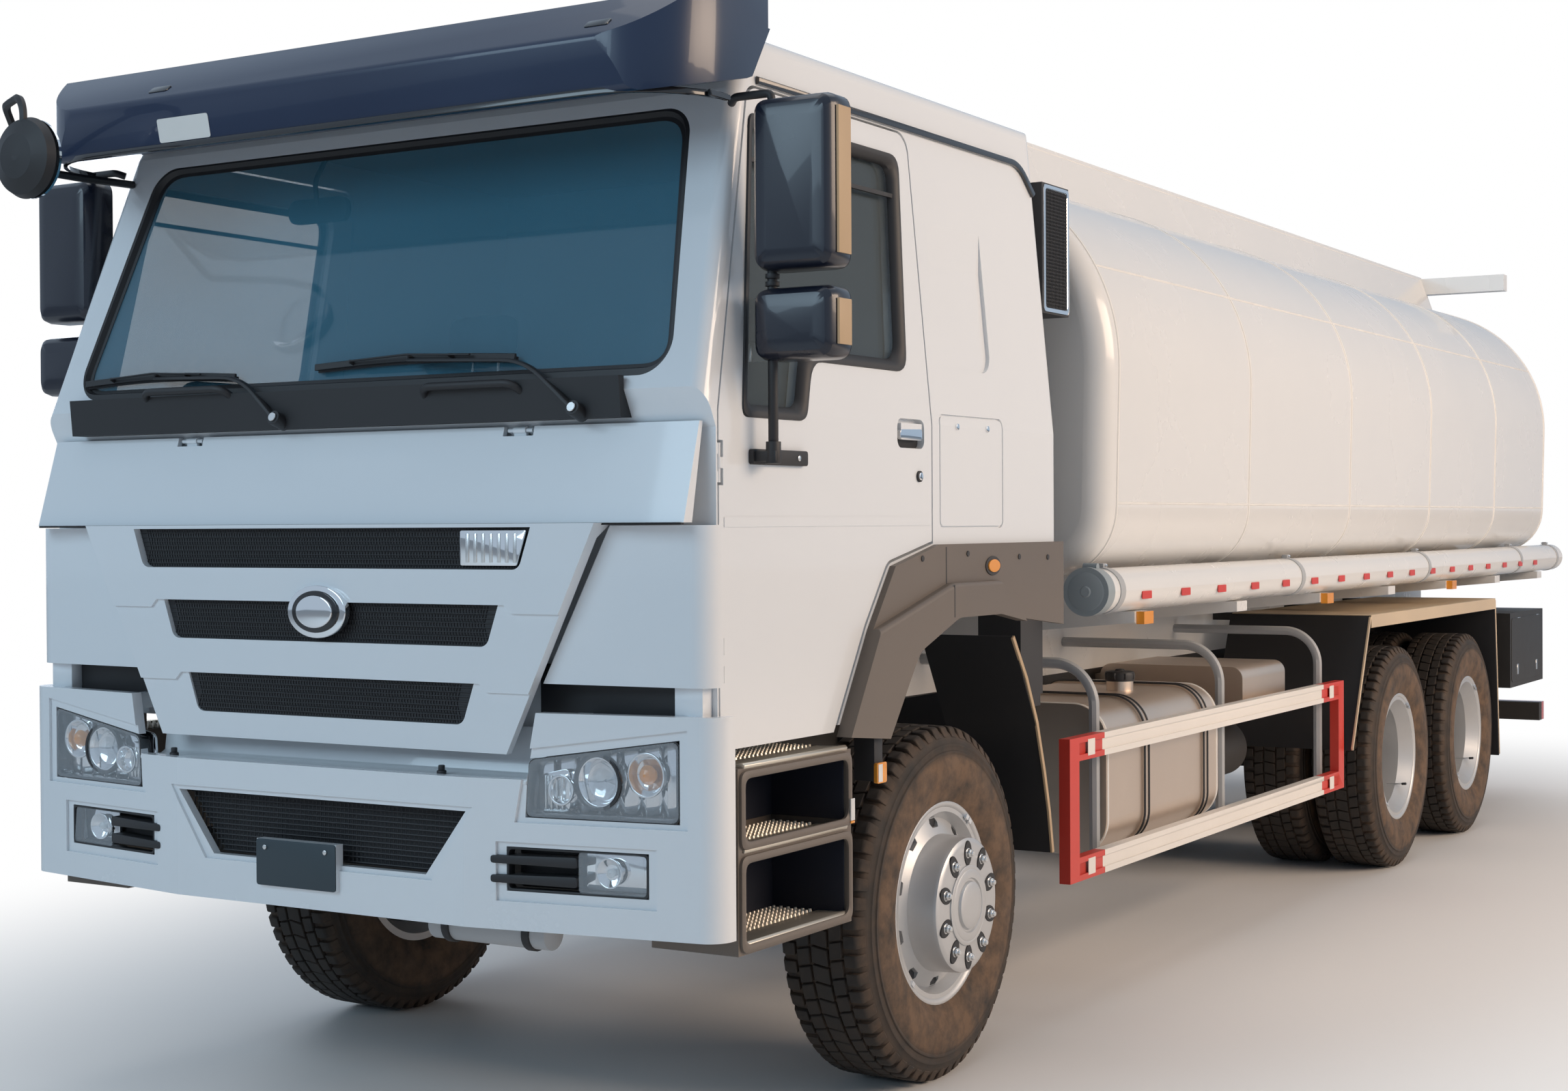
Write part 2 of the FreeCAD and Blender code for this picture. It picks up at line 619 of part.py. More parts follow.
def tyre(name, x, y):
    """One tyre, faceted all round, seated on its rim, its tread touching the ground."""
    facets = int(value("tyre_facets"))
    half, tread, rim = value("tyre_width") / 2, value("tread_width") / 2, value("rim_width") / 2
    outer, seat = value("tyre_radius"), value("rim_radius")
    bulge = seat + (outer - seat) * value("bulge_share")
    bore = (seat + value("seat_gap")) / math.cos(math.pi / facets)
    made = doc.addObject("Part::Feature", name)
    made.Shape = faceted_ring([(-rim, bore), (-half, bulge), (-tread, outer), (tread, outer),
                               (half, bulge), (rim, bore)], facets)
    move(made, x, S.front_axle_y + y, S.tyre_radius)
    return made


def rim_section(centre):
    """The barrel of a rim: a flat seat outside, a well inside."""
    lip = S.rim_width / 2
    inner = S.rim_radius - S.rim_wall
    return [(centre - lip, S.rim_radius), (centre - lip, inner),
            (centre - lip * 0.5, S.rim_well_radius),
            (centre + lip * 0.5, S.rim_well_radius), (centre + lip, inner),
            (centre + lip, S.rim_radius)]


def hub_and_drum(made, face, back, cap):
    """Hub with a blind bore for the spindle, and the brake drum behind the disc."""
    bore = S.spindle_radius + S.pin_gap
    revolve(made, "XZ", [
        (back, bore), (back, S.hub_radius), (face, S.hub_radius), (face, S.hub_cap_radius),
        (cap, S.hub_cap_radius * 0.94), (cap, 0), (face - S.disc_wall, 0), (face - S.disc_wall, bore)],
        "H_Axis")
    revolve(made, "XZ", [
        (face - S.disc_wall * 2 - S.drum_width, S.drum_radius - S.drum_wall),
        (face - S.disc_wall * 2 - S.drum_width, S.drum_radius),
        (face - S.disc_wall, S.drum_radius), (face - S.disc_wall, S.hub_radius - S.disc_wall),
        (face - S.disc_wall * 2, S.hub_radius - S.disc_wall),
        (face - S.disc_wall * 2, S.drum_radius - S.drum_wall)], "H_Axis")


def front_wheel(name):
    made = body(name, S.front_track_half, 0, S.tyre_radius)
    revolve(made, "XZ", rim_section(Size("0", 0)), "H_Axis")
    face = S.front_disc_out
    inner = S.rim_radius - S.rim_wall / 2
    revolve(made, "XZ", [
        (face - S.disc_wall, S.hub_radius * 0.8), (face, S.hub_radius * 0.8),
        (face, S.drum_radius * 0.92), (face * 0.62, inner), (face * 0.62 - S.disc_wall, inner),
        (face - S.disc_wall, S.drum_radius * 0.88)], "H_Axis")
    hub_and_drum(made, face, face - S.drum_width * 1.2, face + S.hub_cap_reach)
    low, half = S.hand_hole_circle, S.hand_hole * 0.7
    hole = pocket(made, "YZ", [
        (-half, low), (half, low), (half * 1.4, low + S.hand_hole / 2), (half, low + S.hand_hole),
        (-half, low + S.hand_hole), (-half * 1.4, low + S.hand_hole / 2)],
        S.front_disc_out * 0.4, S.front_disc_out + S.over)
    ring_of(made, [hole], "X_Axis", 10)
    return made


def rear_wheels(name, y):
    """Two rims back to back, bolted to one hub and turning as one."""
    made = body(name, S.dual_centre, y, S.tyre_radius)
    half = S.dual_pitch / 2
    for side in (1, -1):
        revolve(made, "XZ", rim_section(side * half), "H_Axis")
        face = side * S.rear_disc_out
        well = side * (half - S.rim_width * 0.2)
        revolve(made, "XZ", [
            (face, S.hub_radius * 0.8), (face + side * S.disc_wall, S.hub_radius * 0.8),
            (face + side * S.disc_wall, S.drum_radius * 0.9),
            (well + side * S.disc_wall, S.rim_well_radius + S.disc_wall),
            (well, S.rim_well_radius + S.disc_wall),
            (face, S.drum_radius * 0.96)], "H_Axis")
    bore = S.spindle_radius + S.pin_gap
    cap = half
    revolve(made, "XZ", [
        (-half, bore), (-half, S.hub_radius), (S.rear_disc_out + S.disc_wall, S.hub_radius),
        (cap, S.hub_cap_radius * 1.15), (cap, 0), (cap - S.disc_wall * 2, 0),
        (cap - S.disc_wall * 2, bore)], "H_Axis")
    return made


front_left = front_wheel("wheel_front_left")
node(front_left, "wheel_front_left")
node(other_side(front_left, "wheel_front_right"), "wheel_front_right")
tyre_left = tyre("tyre_front_left", S.front_track_half, 0)
node(tyre_left, "tyre_front_left")
node(other_side(tyre_left, "tyre_front_right"), "tyre_front_right")

for axle, station in (("second", S.wheelbase), ("third", S.wheelbase + S.bogie_spacing)):
    left = rear_wheels("wheels_%s_left" % axle, station)
    node(left, "wheels_%s_left" % axle)
    node(other_side(left, "wheels_%s_right" % axle), "wheels_%s_right" % axle)
    pair = group([tyre("tyre_%s_outer" % axle, S.dual_centre + S.dual_pitch / 2, station),
                  tyre("tyre_%s_inner" % axle, S.dual_centre - S.dual_pitch / 2, station)],
                 "tyres_%s_left" % axle)
    node(pair, "tyres_%s_left" % axle)
    node(other_side(pair, "tyres_%s_right" % axle), "tyres_%s_right" % axle)


# Frame: two channel rails, open towards each other, and cross members between them.

bogie_mid = S.wheelbase + S.bogie_spacing / 2
bogie_low = S.tyre_radius + S.axle_tube_radius + S.seat_gap
bogie_spring_top = bogie_low + S.bogie_leaf_rise * 0.4 + S.bogie_leaf_pack
beam_top = S.tyre_radius - S.beam_drop + S.beam_height / 2
hanger_low = beam_top + S.front_leaf_rise

frame = body("frame")
rail_low = S.rail_top - S.rail_height
inner = S.rail_outer - S.rail_flange
rail = pad(frame, "XZ", [
    (S.rail_outer, rail_low), (S.rail_outer, S.rail_top), (inner, S.rail_top),
    (inner, S.rail_top - S.rail_wall), (S.rail_outer - S.rail_wall, S.rail_top - S.rail_wall),
    (S.rail_outer - S.rail_wall, rail_low + S.rail_wall), (inner, rail_low + S.rail_wall),
    (inner, rail_low)], S.frame_front, S.frame_rear)
mirrored(frame, [rail])
span = S.rail_outer - S.rail_wall
cross_low = S.rail_top - S.rail_height / 2 - S.cross_depth / 2
cross = pad(frame, "XZ", [(-span, cross_low), (span, cross_low), (span, cross_low + S.cross_depth),
                          (-span, cross_low + S.cross_depth)],
            S.gearbox_rear + S.cross_width, S.gearbox_rear + S.cross_width * 2)
row_of(frame, [cross], "Y_Axis",
       (S.frame_rear - S.gearbox_rear - S.cross_width * 3) / (S.cross_count - 1),
       S.cross_count)
pad(frame, "XY", [(-S.tow_half, S.frame_rear - S.cross_width * 1.5),
                  (S.tow_half, S.frame_rear - S.cross_width * 1.5),
                  (S.tow_half, S.tow_y + S.tow_radius * 2, S.tow_radius),
                  (-S.tow_half, S.tow_y + S.tow_radius * 2, S.tow_radius)],
    S.tow_low, S.tow_low + S.tow_wall)
pocket_circle(frame, "XY", 0, S.tow_y, S.tow_radius, S.tow_low - S.over,
              S.tow_low + S.tow_wall + S.over)
pad(frame, "XZ", [
    (-S.rail_outer * 2.1, rail_low - S.cross_depth), (S.rail_outer * 2.1, rail_low - S.cross_depth),
    (S.rail_outer * 2.1, rail_low), (-S.rail_outer * 2.1, rail_low)],
    S.frame_front, S.frame_front + S.cross_width)
for side in (1, -1):
    outer_pair = (side * S.rail_outer, side * (S.rail_outer + S.leaf_width * 1.5))
    low_x, high_x = outer_pair if side > 0 else outer_pair[::-1]
    saddle = bogie_spring_top + S.seat_gap
    pad(frame, "XZ", [(low_x, saddle), (high_x, saddle), (high_x, rail_low + S.cross_depth),
                      (low_x, rail_low + S.cross_depth)],
        bogie_mid - S.cross_width, bogie_mid + S.cross_width)
    leaf_in = side * (S.front_leaf_x - S.leaf_width / 2)
    leaf_out = side * (S.front_leaf_x + S.leaf_width / 2)
    low_x, high_x = (leaf_in, leaf_out) if side > 0 else (leaf_out, leaf_in)
    for start in (-S.front_leaf_half - S.seat_gap - S.leaf_width, S.front_leaf_half + S.seat_gap):
        pad(frame, "XZ", [(low_x, hanger_low), (high_x, hanger_low), (high_x, rail_low),
                          (low_x, rail_low)],
            start, start + S.leaf_width)
    pin_low, pin_high = side * S.rail_outer, side * (S.tilt_ear_x + S.tilt_ear + S.panel_gap)
    pad_circle(frame, "YZ", S.tilt_y, S.tilt_z, S.tilt_radius, min_of(pin_low, pin_high),
               max_of(pin_low, pin_high))
node(frame, "frame")

# Engine and gearbox, closed under the cab: one plain block between the rails.

engine = body("engine")
pad(engine, "XZ", [(-S.engine_half, S.engine_low), (S.engine_half, S.engine_low),
                   (S.engine_half, S.engine_top), (-S.engine_half, S.engine_top)],
    S.engine_front, S.engine_rear)
pad(engine, "XZ", [(-S.gearbox_half, S.gearbox_low), (S.gearbox_half, S.gearbox_low),
                   (S.gearbox_half, S.gearbox_top), (-S.gearbox_half, S.gearbox_top)],
    S.engine_rear, S.gearbox_rear)
mount_low = S.rail_top - S.rail_height / 2
mount_half = S.rail_outer - S.rail_wall - S.seat_gap
for share in (0.1, 0.75):
    start = S.engine_front + (S.engine_rear - S.engine_front) * share
    pad(engine, "XZ", [(-mount_half, mount_low), (mount_half, mount_low),
                       (mount_half, mount_low + S.guard_arm),
                       (-mount_half, mount_low + S.guard_arm)], start, start + S.cross_width)
node(engine, "engine")

# Front axle: a dropped beam that ends in an eye for each kingpin.

beam = body("front_axle")
eye_low = S.tyre_radius - S.eye_height / 2
beam_low = S.tyre_radius - S.beam_drop - S.beam_height / 2
tip = S.kingpin_x - S.eye_radius * 0.6
half_section = [
    (tip, S.tyre_radius - S.beam_height / 2), (tip, S.tyre_radius + S.beam_height / 2),
    (S.kingpin_x - S.eye_radius * 3, S.tyre_radius + S.beam_height / 2),
    (S.front_leaf_x + S.leaf_width, beam_low + S.beam_height)]
left_section = [(-x, z) for x, z in reversed(half_section)]
pad(beam, "XZ", [(S.front_leaf_x + S.leaf_width, beam_low)] + half_section + left_section
    + [(-S.front_leaf_x - S.leaf_width, beam_low)], -S.beam_width / 2, S.beam_width / 2)
for side in (1, -1):
    pad_circle(beam, "XY", side * S.kingpin_x, 0, S.eye_radius, eye_low, eye_low + S.eye_height)
    pocket_circle(beam, "XY", side * S.kingpin_x, 0, S.kingpin_radius + S.pin_gap,
                  eye_low - S.over, eye_low + S.eye_height + S.over)
node(beam, "front_axle")

# Steering knuckle: two ears and the kingpin about the eye, and the spindle for the wheel.

knuckle = body("knuckle_left", S.kingpin_x, 0, S.tyre_radius)
ear_low = -S.eye_height / 2 - S.pin_gap
ear_high = S.eye_height / 2 + S.pin_gap
reach = S.eye_radius + S.panel_gap
for low, high in ((ear_low - S.ear_height, ear_low), (ear_high, ear_high + S.ear_height)):
    pad_circle(knuckle, "XY", 0, 0, S.eye_radius, low, high)
    pad(knuckle, "XY", [(0, -S.eye_radius), (reach + S.knuckle_wall, -S.eye_radius),
                        (reach + S.knuckle_wall, S.eye_radius), (0, S.eye_radius)], low, high)
pad(knuckle, "XZ", [(reach, ear_low - S.ear_height), (reach + S.knuckle_wall, ear_low - S.ear_height),
                    (reach + S.knuckle_wall, ear_high + S.ear_height),
                    (reach, ear_high + S.ear_height)],
    -S.eye_radius, S.eye_radius)
pad_circle(knuckle, "XY", 0, 0, S.kingpin_radius, ear_low - S.ear_height, ear_high + S.ear_height)
spindle_end = S.front_track_half - S.kingpin_x + S.front_disc_out - S.disc_wall * 2 - S.panel_gap
pad_circle(knuckle, "YZ", 0, 0, S.spindle_radius, reach, spindle_end)
node(knuckle, "knuckle_left")
node(other_side(knuckle, "knuckle_right"), "knuckle_right")

# Leaf springs: the front packs on the beam, the bogie packs over the trunnion.

def leaf_pack(name, x, y, low, half, rise, pack, up):
    """A bowed pack, hung at its ends (up = 1) or resting on its middle (up = -1)."""
    made = body(name, x, y)
    tip = half * 0.985
    if up > 0:
        corners = [(-half, low + rise + pack * 0.5), (-half, low + rise), (0, low, half * 2.2),
                   (half, low + rise), (half, low + rise + pack * 0.5), (0, low + pack, half * 2.2)]
    else:
        corners = [(-half, low), (0, low + rise, half * 2.2), (half, low),
                   (tip, low + pack * 0.3), (0, low + rise + pack, half * 1.4),
                   (-tip, low + pack * 0.3)]
    pad(made, "YZ", corners, -S.leaf_width / 2, S.leaf_width / 2)
    for seat in ([0] if up > 0 else [S.bogie_spacing / 2, -S.bogie_spacing / 2]):
        pad(made, "YZ", [(seat - S.leaf_width / 2, low), (seat + S.leaf_width / 2, low),
                         (seat + S.leaf_width / 2, low + pack * 0.9),
                         (seat - S.leaf_width / 2, low + pack * 0.9)],
            -S.leaf_width / 2, S.leaf_width / 2)
    return made


front_pack = leaf_pack("front_leaves", S.front_leaf_x, 0, beam_top + S.seat_gap, S.front_leaf_half,
                       S.front_leaf_rise, S.leaf_pack, 1)
bogie_pack = leaf_pack("bogie_leaves", S.bogie_leaf_x, bogie_mid, bogie_low,
                       S.bogie_spacing / 2 + S.leaf_width / 2, S.bogie_leaf_rise * 0.4,
                       S.bogie_leaf_pack, -1)
springs = group([both_sides(front_pack, "front_springs"), both_sides(bogie_pack, "bogie_springs")],
                "leaf_springs")
node(springs, "leaf_springs")

# Drive axles: tubes with a round housing in the middle and a spindle at each end.

axles = []
for axle, station in (("second", S.wheelbase), ("third", S.wheelbase + S.bogie_spacing)):
    housing = body("axle_" + axle, 0, station, S.tyre_radius)
    tube_end = S.dual_centre - S.dual_pitch / 2 - S.panel_gap
    spindle = S.dual_centre + S.dual_pitch / 2 - S.disc_wall * 2 - S.panel_gap
    ball = S.banjo_radius
    profile = [(-spindle, 0), (-spindle, S.spindle_radius), (-tube_end, S.spindle_radius),
               (-tube_end, S.axle_tube_radius), (-ball, S.axle_tube_radius),
               (-ball * 0.55, ball), (ball * 0.55, ball), (ball, S.axle_tube_radius),
               (tube_end, S.axle_tube_radius), (tube_end, S.spindle_radius),
               (spindle, S.spindle_radius), (spindle, 0)]
    revolve(housing, "XZ", profile, "H_Axis")
    axles.append(housing)


def propshafts():
    """Slanted shaft from the gearbox to the second axle, and a short one to the third."""
    high = value("gearbox_low") + value("shaft_radius") * 1.7
    low = value("tyre_radius")
    ball, gap = value("banjo_radius") * 0.9, value("seat_gap")
    start = FreeCAD.Vector(0, value("gearbox_rear") + gap, high)
    stop = FreeCAD.Vector(0, value("wheelbase") - ball, low)
    flange = value("shaft_radius") * 0.5
    shapes = [Part.makeCylinder(value("shaft_radius"), (stop - start).Length - flange * 2,
                                start + (stop - start).normalize() * flange, stop - start)]
    shapes.append(Part.makeCylinder(value("shaft_radius") * 1.2, flange * 1.5, start,
                                    FreeCAD.Vector(0, 1, 0)))
    shapes.append(Part.makeCylinder(value("shaft_radius") * 1.2, flange * 1.5, stop,
                                    FreeCAD.Vector(0, -1, 0)))
    front = shapes[0].fuse(shapes[1:])
    rear_start = FreeCAD.Vector(0, value("wheelbase") + ball, low)
    rear = Part.makeCylinder(value("shaft_radius"), value("bogie_spacing") - 2 * ball, rear_start,
                             FreeCAD.Vector(0, 1, 0))
    shape = Part.makeCompound([front, rear])
    shape.translate(FreeCAD.Vector(0, value("front_axle_y"), 0))
    return shape


shafts = doc.addObject("Part::Feature", "propshafts")
shafts.Shape = propshafts()
node(fuse(axles + [shafts], "drive_line"), "drive_axles")

# Tank: one long shell of tangent arcs with rounded ends.

def tank_section(grow=0):
    return [(0, S.tank_peak + grow, S.crown_radius),
            (-S.tank_half - grow, S.tank_shoulder, S.shoulder_radius),
            (-S.tank_low_half - grow, S.tank_low - grow, S.low_corner_radius),
            (S.tank_low_half + grow, S.tank_low - grow, S.low_corner_radius),
            (S.tank_half + grow, S.tank_shoulder, S.shoulder_radius)]


tank = body("tank")
pad(tank, "XZ", tank_section(), S.tank_front, S.tank_rear)
round_edges(tank, S.knuckle_radius,
            lambda middle, way: min(abs(middle.y - S.tank_front.number),
                                    abs(middle.y - S.tank_rear.number)) < 1)
node(tank, "tank")

# Coaming: the raised rim along the tank's crown, with the rear lamp bar.

coaming = body("coaming_block")
pad(coaming, "XZ", [(-S.coaming_foot, S.coaming_low), (S.coaming_foot, S.coaming_low),
                    (S.coaming_top_half, S.coaming_top), (-S.coaming_top_half, S.coaming_top)],
    S.coaming_front, S.coaming_rear)
wall = S.coaming_wall
pocket(coaming, "XZ",
       [(-S.coaming_foot + wall, S.coaming_low - S.over),
        (S.coaming_foot - wall, S.coaming_low - S.over),
                       (S.coaming_top_half - wall, S.coaming_top + S.over),
                       (-S.coaming_top_half + wall, S.coaming_top + S.over)],
       S.coaming_front + wall, S.coaming_rear - wall)
pad(coaming, "XZ", [(-S.lamp_bar_reach, S.lamp_bar_low), (S.lamp_bar_reach, S.lamp_bar_low),
                    (S.lamp_bar_reach, S.lamp_bar_low + S.lamp_bar_height),
                    (-S.lamp_bar_reach, S.lamp_bar_low + S.lamp_bar_height)],
    S.coaming_rear - wall, S.coaming_rear - wall + S.lamp_bar_depth)
collars = []
for name, station in (("front", S.manhole_front_y), ("rear", S.manhole_rear_y)):
    collars.append(round_bar("collar_" + name, "Z", S.manhole_radius, S.coaming_low,
                             S.manhole_top, 0, station))
crown_block = body("crown_block")
pad(crown_block, "XZ", tank_section(), S.tank_front, S.tank_rear)
node(cut(group([coaming] + collars, "crown_fittings"), crown_block, "coaming"), "coaming")


def manhole_lid(name, station):
    """A lid that lies on its collar and swings up about the hinge behind it."""
    made = body(name, 0, station)
    low = S.manhole_top + S.seat_gap
    pad_circle(made, "XY", 0, 0, S.manhole_radius + S.lid_lip, low, low + S.lid_wall)
    ear = S.manhole_radius + S.lid_lip + S.lid_hinge_radius
    pad(made, "XY", [(-S.lid_wall * 2, 0), (S.lid_wall * 2, 0), (S.lid_wall * 2, ear),
                     (-S.lid_wall * 2, ear)], low, low + S.lid_wall)
    pad_circle(made, "YZ", ear, low + S.lid_hinge_radius, S.lid_hinge_radius, -S.lid_wall * 2.5,
               S.lid_wall * 2.5)
    return made


node(manhole_lid("manhole_lid_front", S.manhole_front_y), "manhole_lid_front")
node(manhole_lid("manhole_lid_rear", S.manhole_rear_y), "manhole_lid_rear")

# Ladder up the rear end of the tank, on four short arms.

ladder = body("ladder")
ladder_y = S.tank_rear + S.ladder_gap
ladder_top = S.tank_shoulder
for side in (1, -1):
    inner_x, outer_x = side * S.ladder_half, side * (S.ladder_half + S.ladder_rail)
    pad(ladder, "XY", [(inner_x, ladder_y), (outer_x, ladder_y), (outer_x, ladder_y + S.ladder_rail),
                       (inner_x, ladder_y + S.ladder_rail)], S.ladder_low, ladder_top)
    for height in (S.tank_low + S.low_corner_radius, S.tank_shoulder - S.ladder_pitch):
        pad(ladder, "XY", [(inner_x, S.tank_rear + S.seat_gap), (outer_x, S.tank_rear + S.seat_gap),
                           (outer_x, ladder_y), (inner_x, ladder_y)], height, height + S.ladder_rail)
rung = pad_circle(ladder, "YZ", ladder_y + S.ladder_rail / 2, S.ladder_low + S.ladder_pitch / 4,
                  S.ladder_rung,
                  -S.ladder_half, S.ladder_half)
row_of(ladder, [rung], "Z_Axis",
       (ladder_top - S.ladder_low - S.ladder_pitch / 2) / (S.ladder_rungs - 1),
       S.ladder_rungs)
node(ladder, "ladder")

# Tank subframe: two bearers on the rails and tapered bolsters under tank and tubes.

subframe = body("tank_subframe")
bearer = pad(subframe, "XZ", [
    (S.rail_outer - S.bearer_width, S.rail_top), (S.rail_outer, S.rail_top),
    (S.rail_outer, S.rail_top + S.bearer_height),
    (S.rail_outer - S.bearer_width, S.rail_top + S.bearer_height)],
    S.bearer_front, S.bearer_rear)
mirrored(subframe, [bearer])
bolster_low = S.rail_top + S.bearer_height
tube_seat = S.tube_z - S.tube_radius - S.seat_gap
right = [(S.rail_outer, bolster_low), (S.bolster_tip, tube_seat - S.bolster_tip_wall),
         (S.bolster_tip, tube_seat),
         (S.tube_x - S.tube_radius, tube_seat), (S.bolster_half, S.tank_low - S.seat_gap)]
bolster = pad(subframe, "XZ", right + [(-x, z) for x, z in reversed(right)],
              S.bolster_first, S.bolster_first + S.bolster_width)
row_of(subframe, [bolster], "Y_Axis", S.bolster_pitch, S.bolster_count)
node(subframe, "tank_subframe")

# Hose tubes along both sides, closed at the rear, with a hinged lid at the front.

tube = body("hose_tube", S.tube_x, 0, S.tube_z)
tube_mouth = S.tube_front + S.tube_lid_depth
pad_circle(tube, "XZ", 0, 0, S.tube_radius, tube_mouth, S.tube_rear)
pocket_circle(tube, "XZ", 0, 0, S.tube_radius - S.tube_wall, tube_mouth - S.over,
              S.tube_rear - S.tube_wall)
node(both_sides(tube, "hose_tubes"), "hose_tubes")

lid = body("tube_lid_left", S.tube_x, 0, S.tube_z)
pad_circle(lid, "XZ", 0, 0, S.tube_radius + S.tube_lid_wall, S.tube_front, tube_mouth - S.seat_gap)
pad_circle(lid, "YZ", tube_mouth - S.lid_hinge_radius, S.tube_radius + S.tube_lid_wall,
           S.lid_hinge_radius, -S.lid_wall, S.lid_wall)
node(lid, "tube_lid_left")
node(other_side(lid, "tube_lid_right"), "tube_lid_right")

# Side guards: two rails and two posts a side, on arms from the frame.

guard = body("side_guard")
guard_inner = S.guard_x - S.guard_wall
pad(guard, "YZ", [(S.guard_front, S.guard_low), (S.guard_rear, S.guard_low),
                  (S.guard_rear, S.guard_top), (S.guard_front, S.guard_top)], guard_inner, S.guard_x)
pocket(guard, "YZ", [(S.guard_front + S.guard_rail, S.guard_low + S.guard_rail),
                     (S.guard_rear - S.guard_rail, S.guard_low + S.guard_rail),
                     (S.guard_rear - S.guard_rail, S.guard_top - S.guard_rail),
                     (S.guard_front + S.guard_rail, S.guard_top - S.guard_rail)],
       guard_inner - S.over, S.guard_x + S.over)
for low in (S.guard_low, S.guard_top - S.guard_rail):
    pocket(guard, "YZ", [
        (S.guard_front + S.guard_rail, low + S.guard_rail / 4),
        (S.guard_rear - S.guard_rail, low + S.guard_rail / 4),
        (S.guard_rear - S.guard_rail, low + S.guard_rail * 0.75),
        (S.guard_front + S.guard_rail, low + S.guard_rail * 0.75)],
           S.guard_x - S.guard_groove, S.guard_x + S.over)


def tube_along(points, radius, bend, sides):
    """A tube of few sides along straight runs that are joined by tangent arcs of one radius."""
    edges = []
    start = points[0]
    for before, here, after in zip(points, points[1:], points[2:]):
        into = (before - here).normalize()
        away = (after - here).normalize()
        half = into.getAngle(away) / 2
        reach = bend / math.tan(half)
        centre = here + (into + away).normalize() * (bend / math.sin(half))
        arc_start, arc_stop = here + into * reach, here + away * reach
        arc_middle = centre + (here - centre).normalize() * bend
        edges.append(Part.LineSegment(start, arc_start).toShape())
        edges.append(Part.Arc(arc_start, arc_middle, arc_stop).toShape())
        start = arc_stop
    edges.append(Part.LineSegment(start, points[-1]).toShape())
    spin = FreeCAD.Rotation(FreeCAD.Vector(0, 0, 1), points[1] - points[0])
    ring = [points[0] + spin.multVec(FreeCAD.Vector(radius * math.cos(turn), radius * math.sin(turn),
                                                    0))
            for turn in (2 * math.pi * index / sides for index in range(sides + 1))]
    return Part.Wire(edges).makePipeShell([Part.makePolygon(ring)], True, False)


def hoops():
    """The bent tubes that carry the side guard, each from the frame out and down behind it."""
    radius, height = value("hoop_radius"), value("hoop_z")
    shapes = []
    for name in ("hoop_first", "hoop_second", "hoop_third"):
        station = value(name)
        points = [FreeCAD.Vector(value("rail_outer") + value("seat_gap"), station, height),
                  FreeCAD.Vector(value("hoop_x"), station, height),
                  FreeCAD.Vector(value("hoop_x"), station,
                                 value("guard_low") + value("guard_rail") / 2)]
        shapes.append(tube_along(points, radius, value("hoop_bend"), 8))
        for low in (value("guard_low"), value("guard_top") - value("guard_rail")):
            block = Part.makeBox(value("guard_x") - value("guard_wall") / 2 - value("hoop_x"), radius,
                                 radius)
            block.translate(FreeCAD.Vector(value("hoop_x"), station - radius / 2,
                                           low + value("guard_rail") / 2 - radius / 2))
            shapes.append(block)
    shape = shapes[0].fuse(shapes[1:])
    shape.translate(FreeCAD.Vector(0, value("front_axle_y"), 0))
    return shape


arms = doc.addObject("Part::Feature", "guard_hoops")
arms.Shape = hoops()
node(both_sides(fuse([guard, arms], "guard_on_hoops"), "side_guards"), "side_guards")

# Fuel tank, air tanks and battery box on the rails' flanks.

fuel = body("main_tank")
pad(fuel, "XZ", [(S.fuel_inner, S.fuel_low, S.fuel_corner / 2),
                 (S.fuel_outer, S.fuel_low, S.fuel_corner),
                 (S.fuel_outer, S.fuel_top, S.fuel_corner),
                 (S.fuel_inner, S.fuel_top, S.fuel_corner / 2)],
    S.fuel_front, S.fuel_rear)
strap = S.strap_wall
for station in (0.3, 0.84):
    start = S.fuel_front + (S.fuel_rear - S.fuel_front) * station
    pad(fuel, "XZ", [
        (S.fuel_inner - strap, S.fuel_low - strap, S.fuel_corner / 2),
        (S.fuel_outer + strap, S.fuel_low - strap, S.fuel_corner),
        (S.fuel_outer + strap, S.fuel_top + strap, S.fuel_corner),
        (S.fuel_inner - strap, S.fuel_top + strap, S.fuel_corner / 2)],
        start, start + S.strap_width)
pad_circle(fuel, "XY", S.filler_x, S.fuel_front + (S.fuel_rear - S.fuel_front) * 0.6, S.filler_radius,
           S.fuel_top - S.strap_wall, S.fuel_top + S.filler_height)
for station in (0.14, 0.78):
    start = S.fuel_front + (S.fuel_rear - S.fuel_front) * station
    pad(fuel, "XZ", [(S.rail_outer + S.seat_gap, rail_low), (S.fuel_inner + S.fuel_corner, rail_low),
                     (S.fuel_inner + S.fuel_corner, S.rail_top - S.rail_wall * 4),
                     (S.rail_outer + S.seat_gap, S.rail_top - S.rail_wall * 4)],
        start, start + S.bearer_width)
small = body("second_tank")
pad(small, "XZ", [
    (S.fuel_inner, S.small_low, S.small_corner), (S.small_outer, S.small_low, S.small_corner),
    (S.small_outer, S.small_top, S.small_corner), (S.fuel_inner, S.small_top, S.small_corner)],
    S.small_front, S.small_rear)
pad(small, "XZ", [
    (S.rail_outer + S.seat_gap, S.small_low + S.small_corner),
    (S.fuel_inner + S.small_corner, S.small_low + S.small_corner),
    (S.fuel_inner + S.small_corner, S.small_top - S.small_corner),
    (S.rail_outer + S.seat_gap, S.small_top - S.small_corner)],
    S.small_front + S.small_corner, S.small_rear - S.small_corner)
node(group([fuel, small], "fuel_tanks"), "fuel_tank")

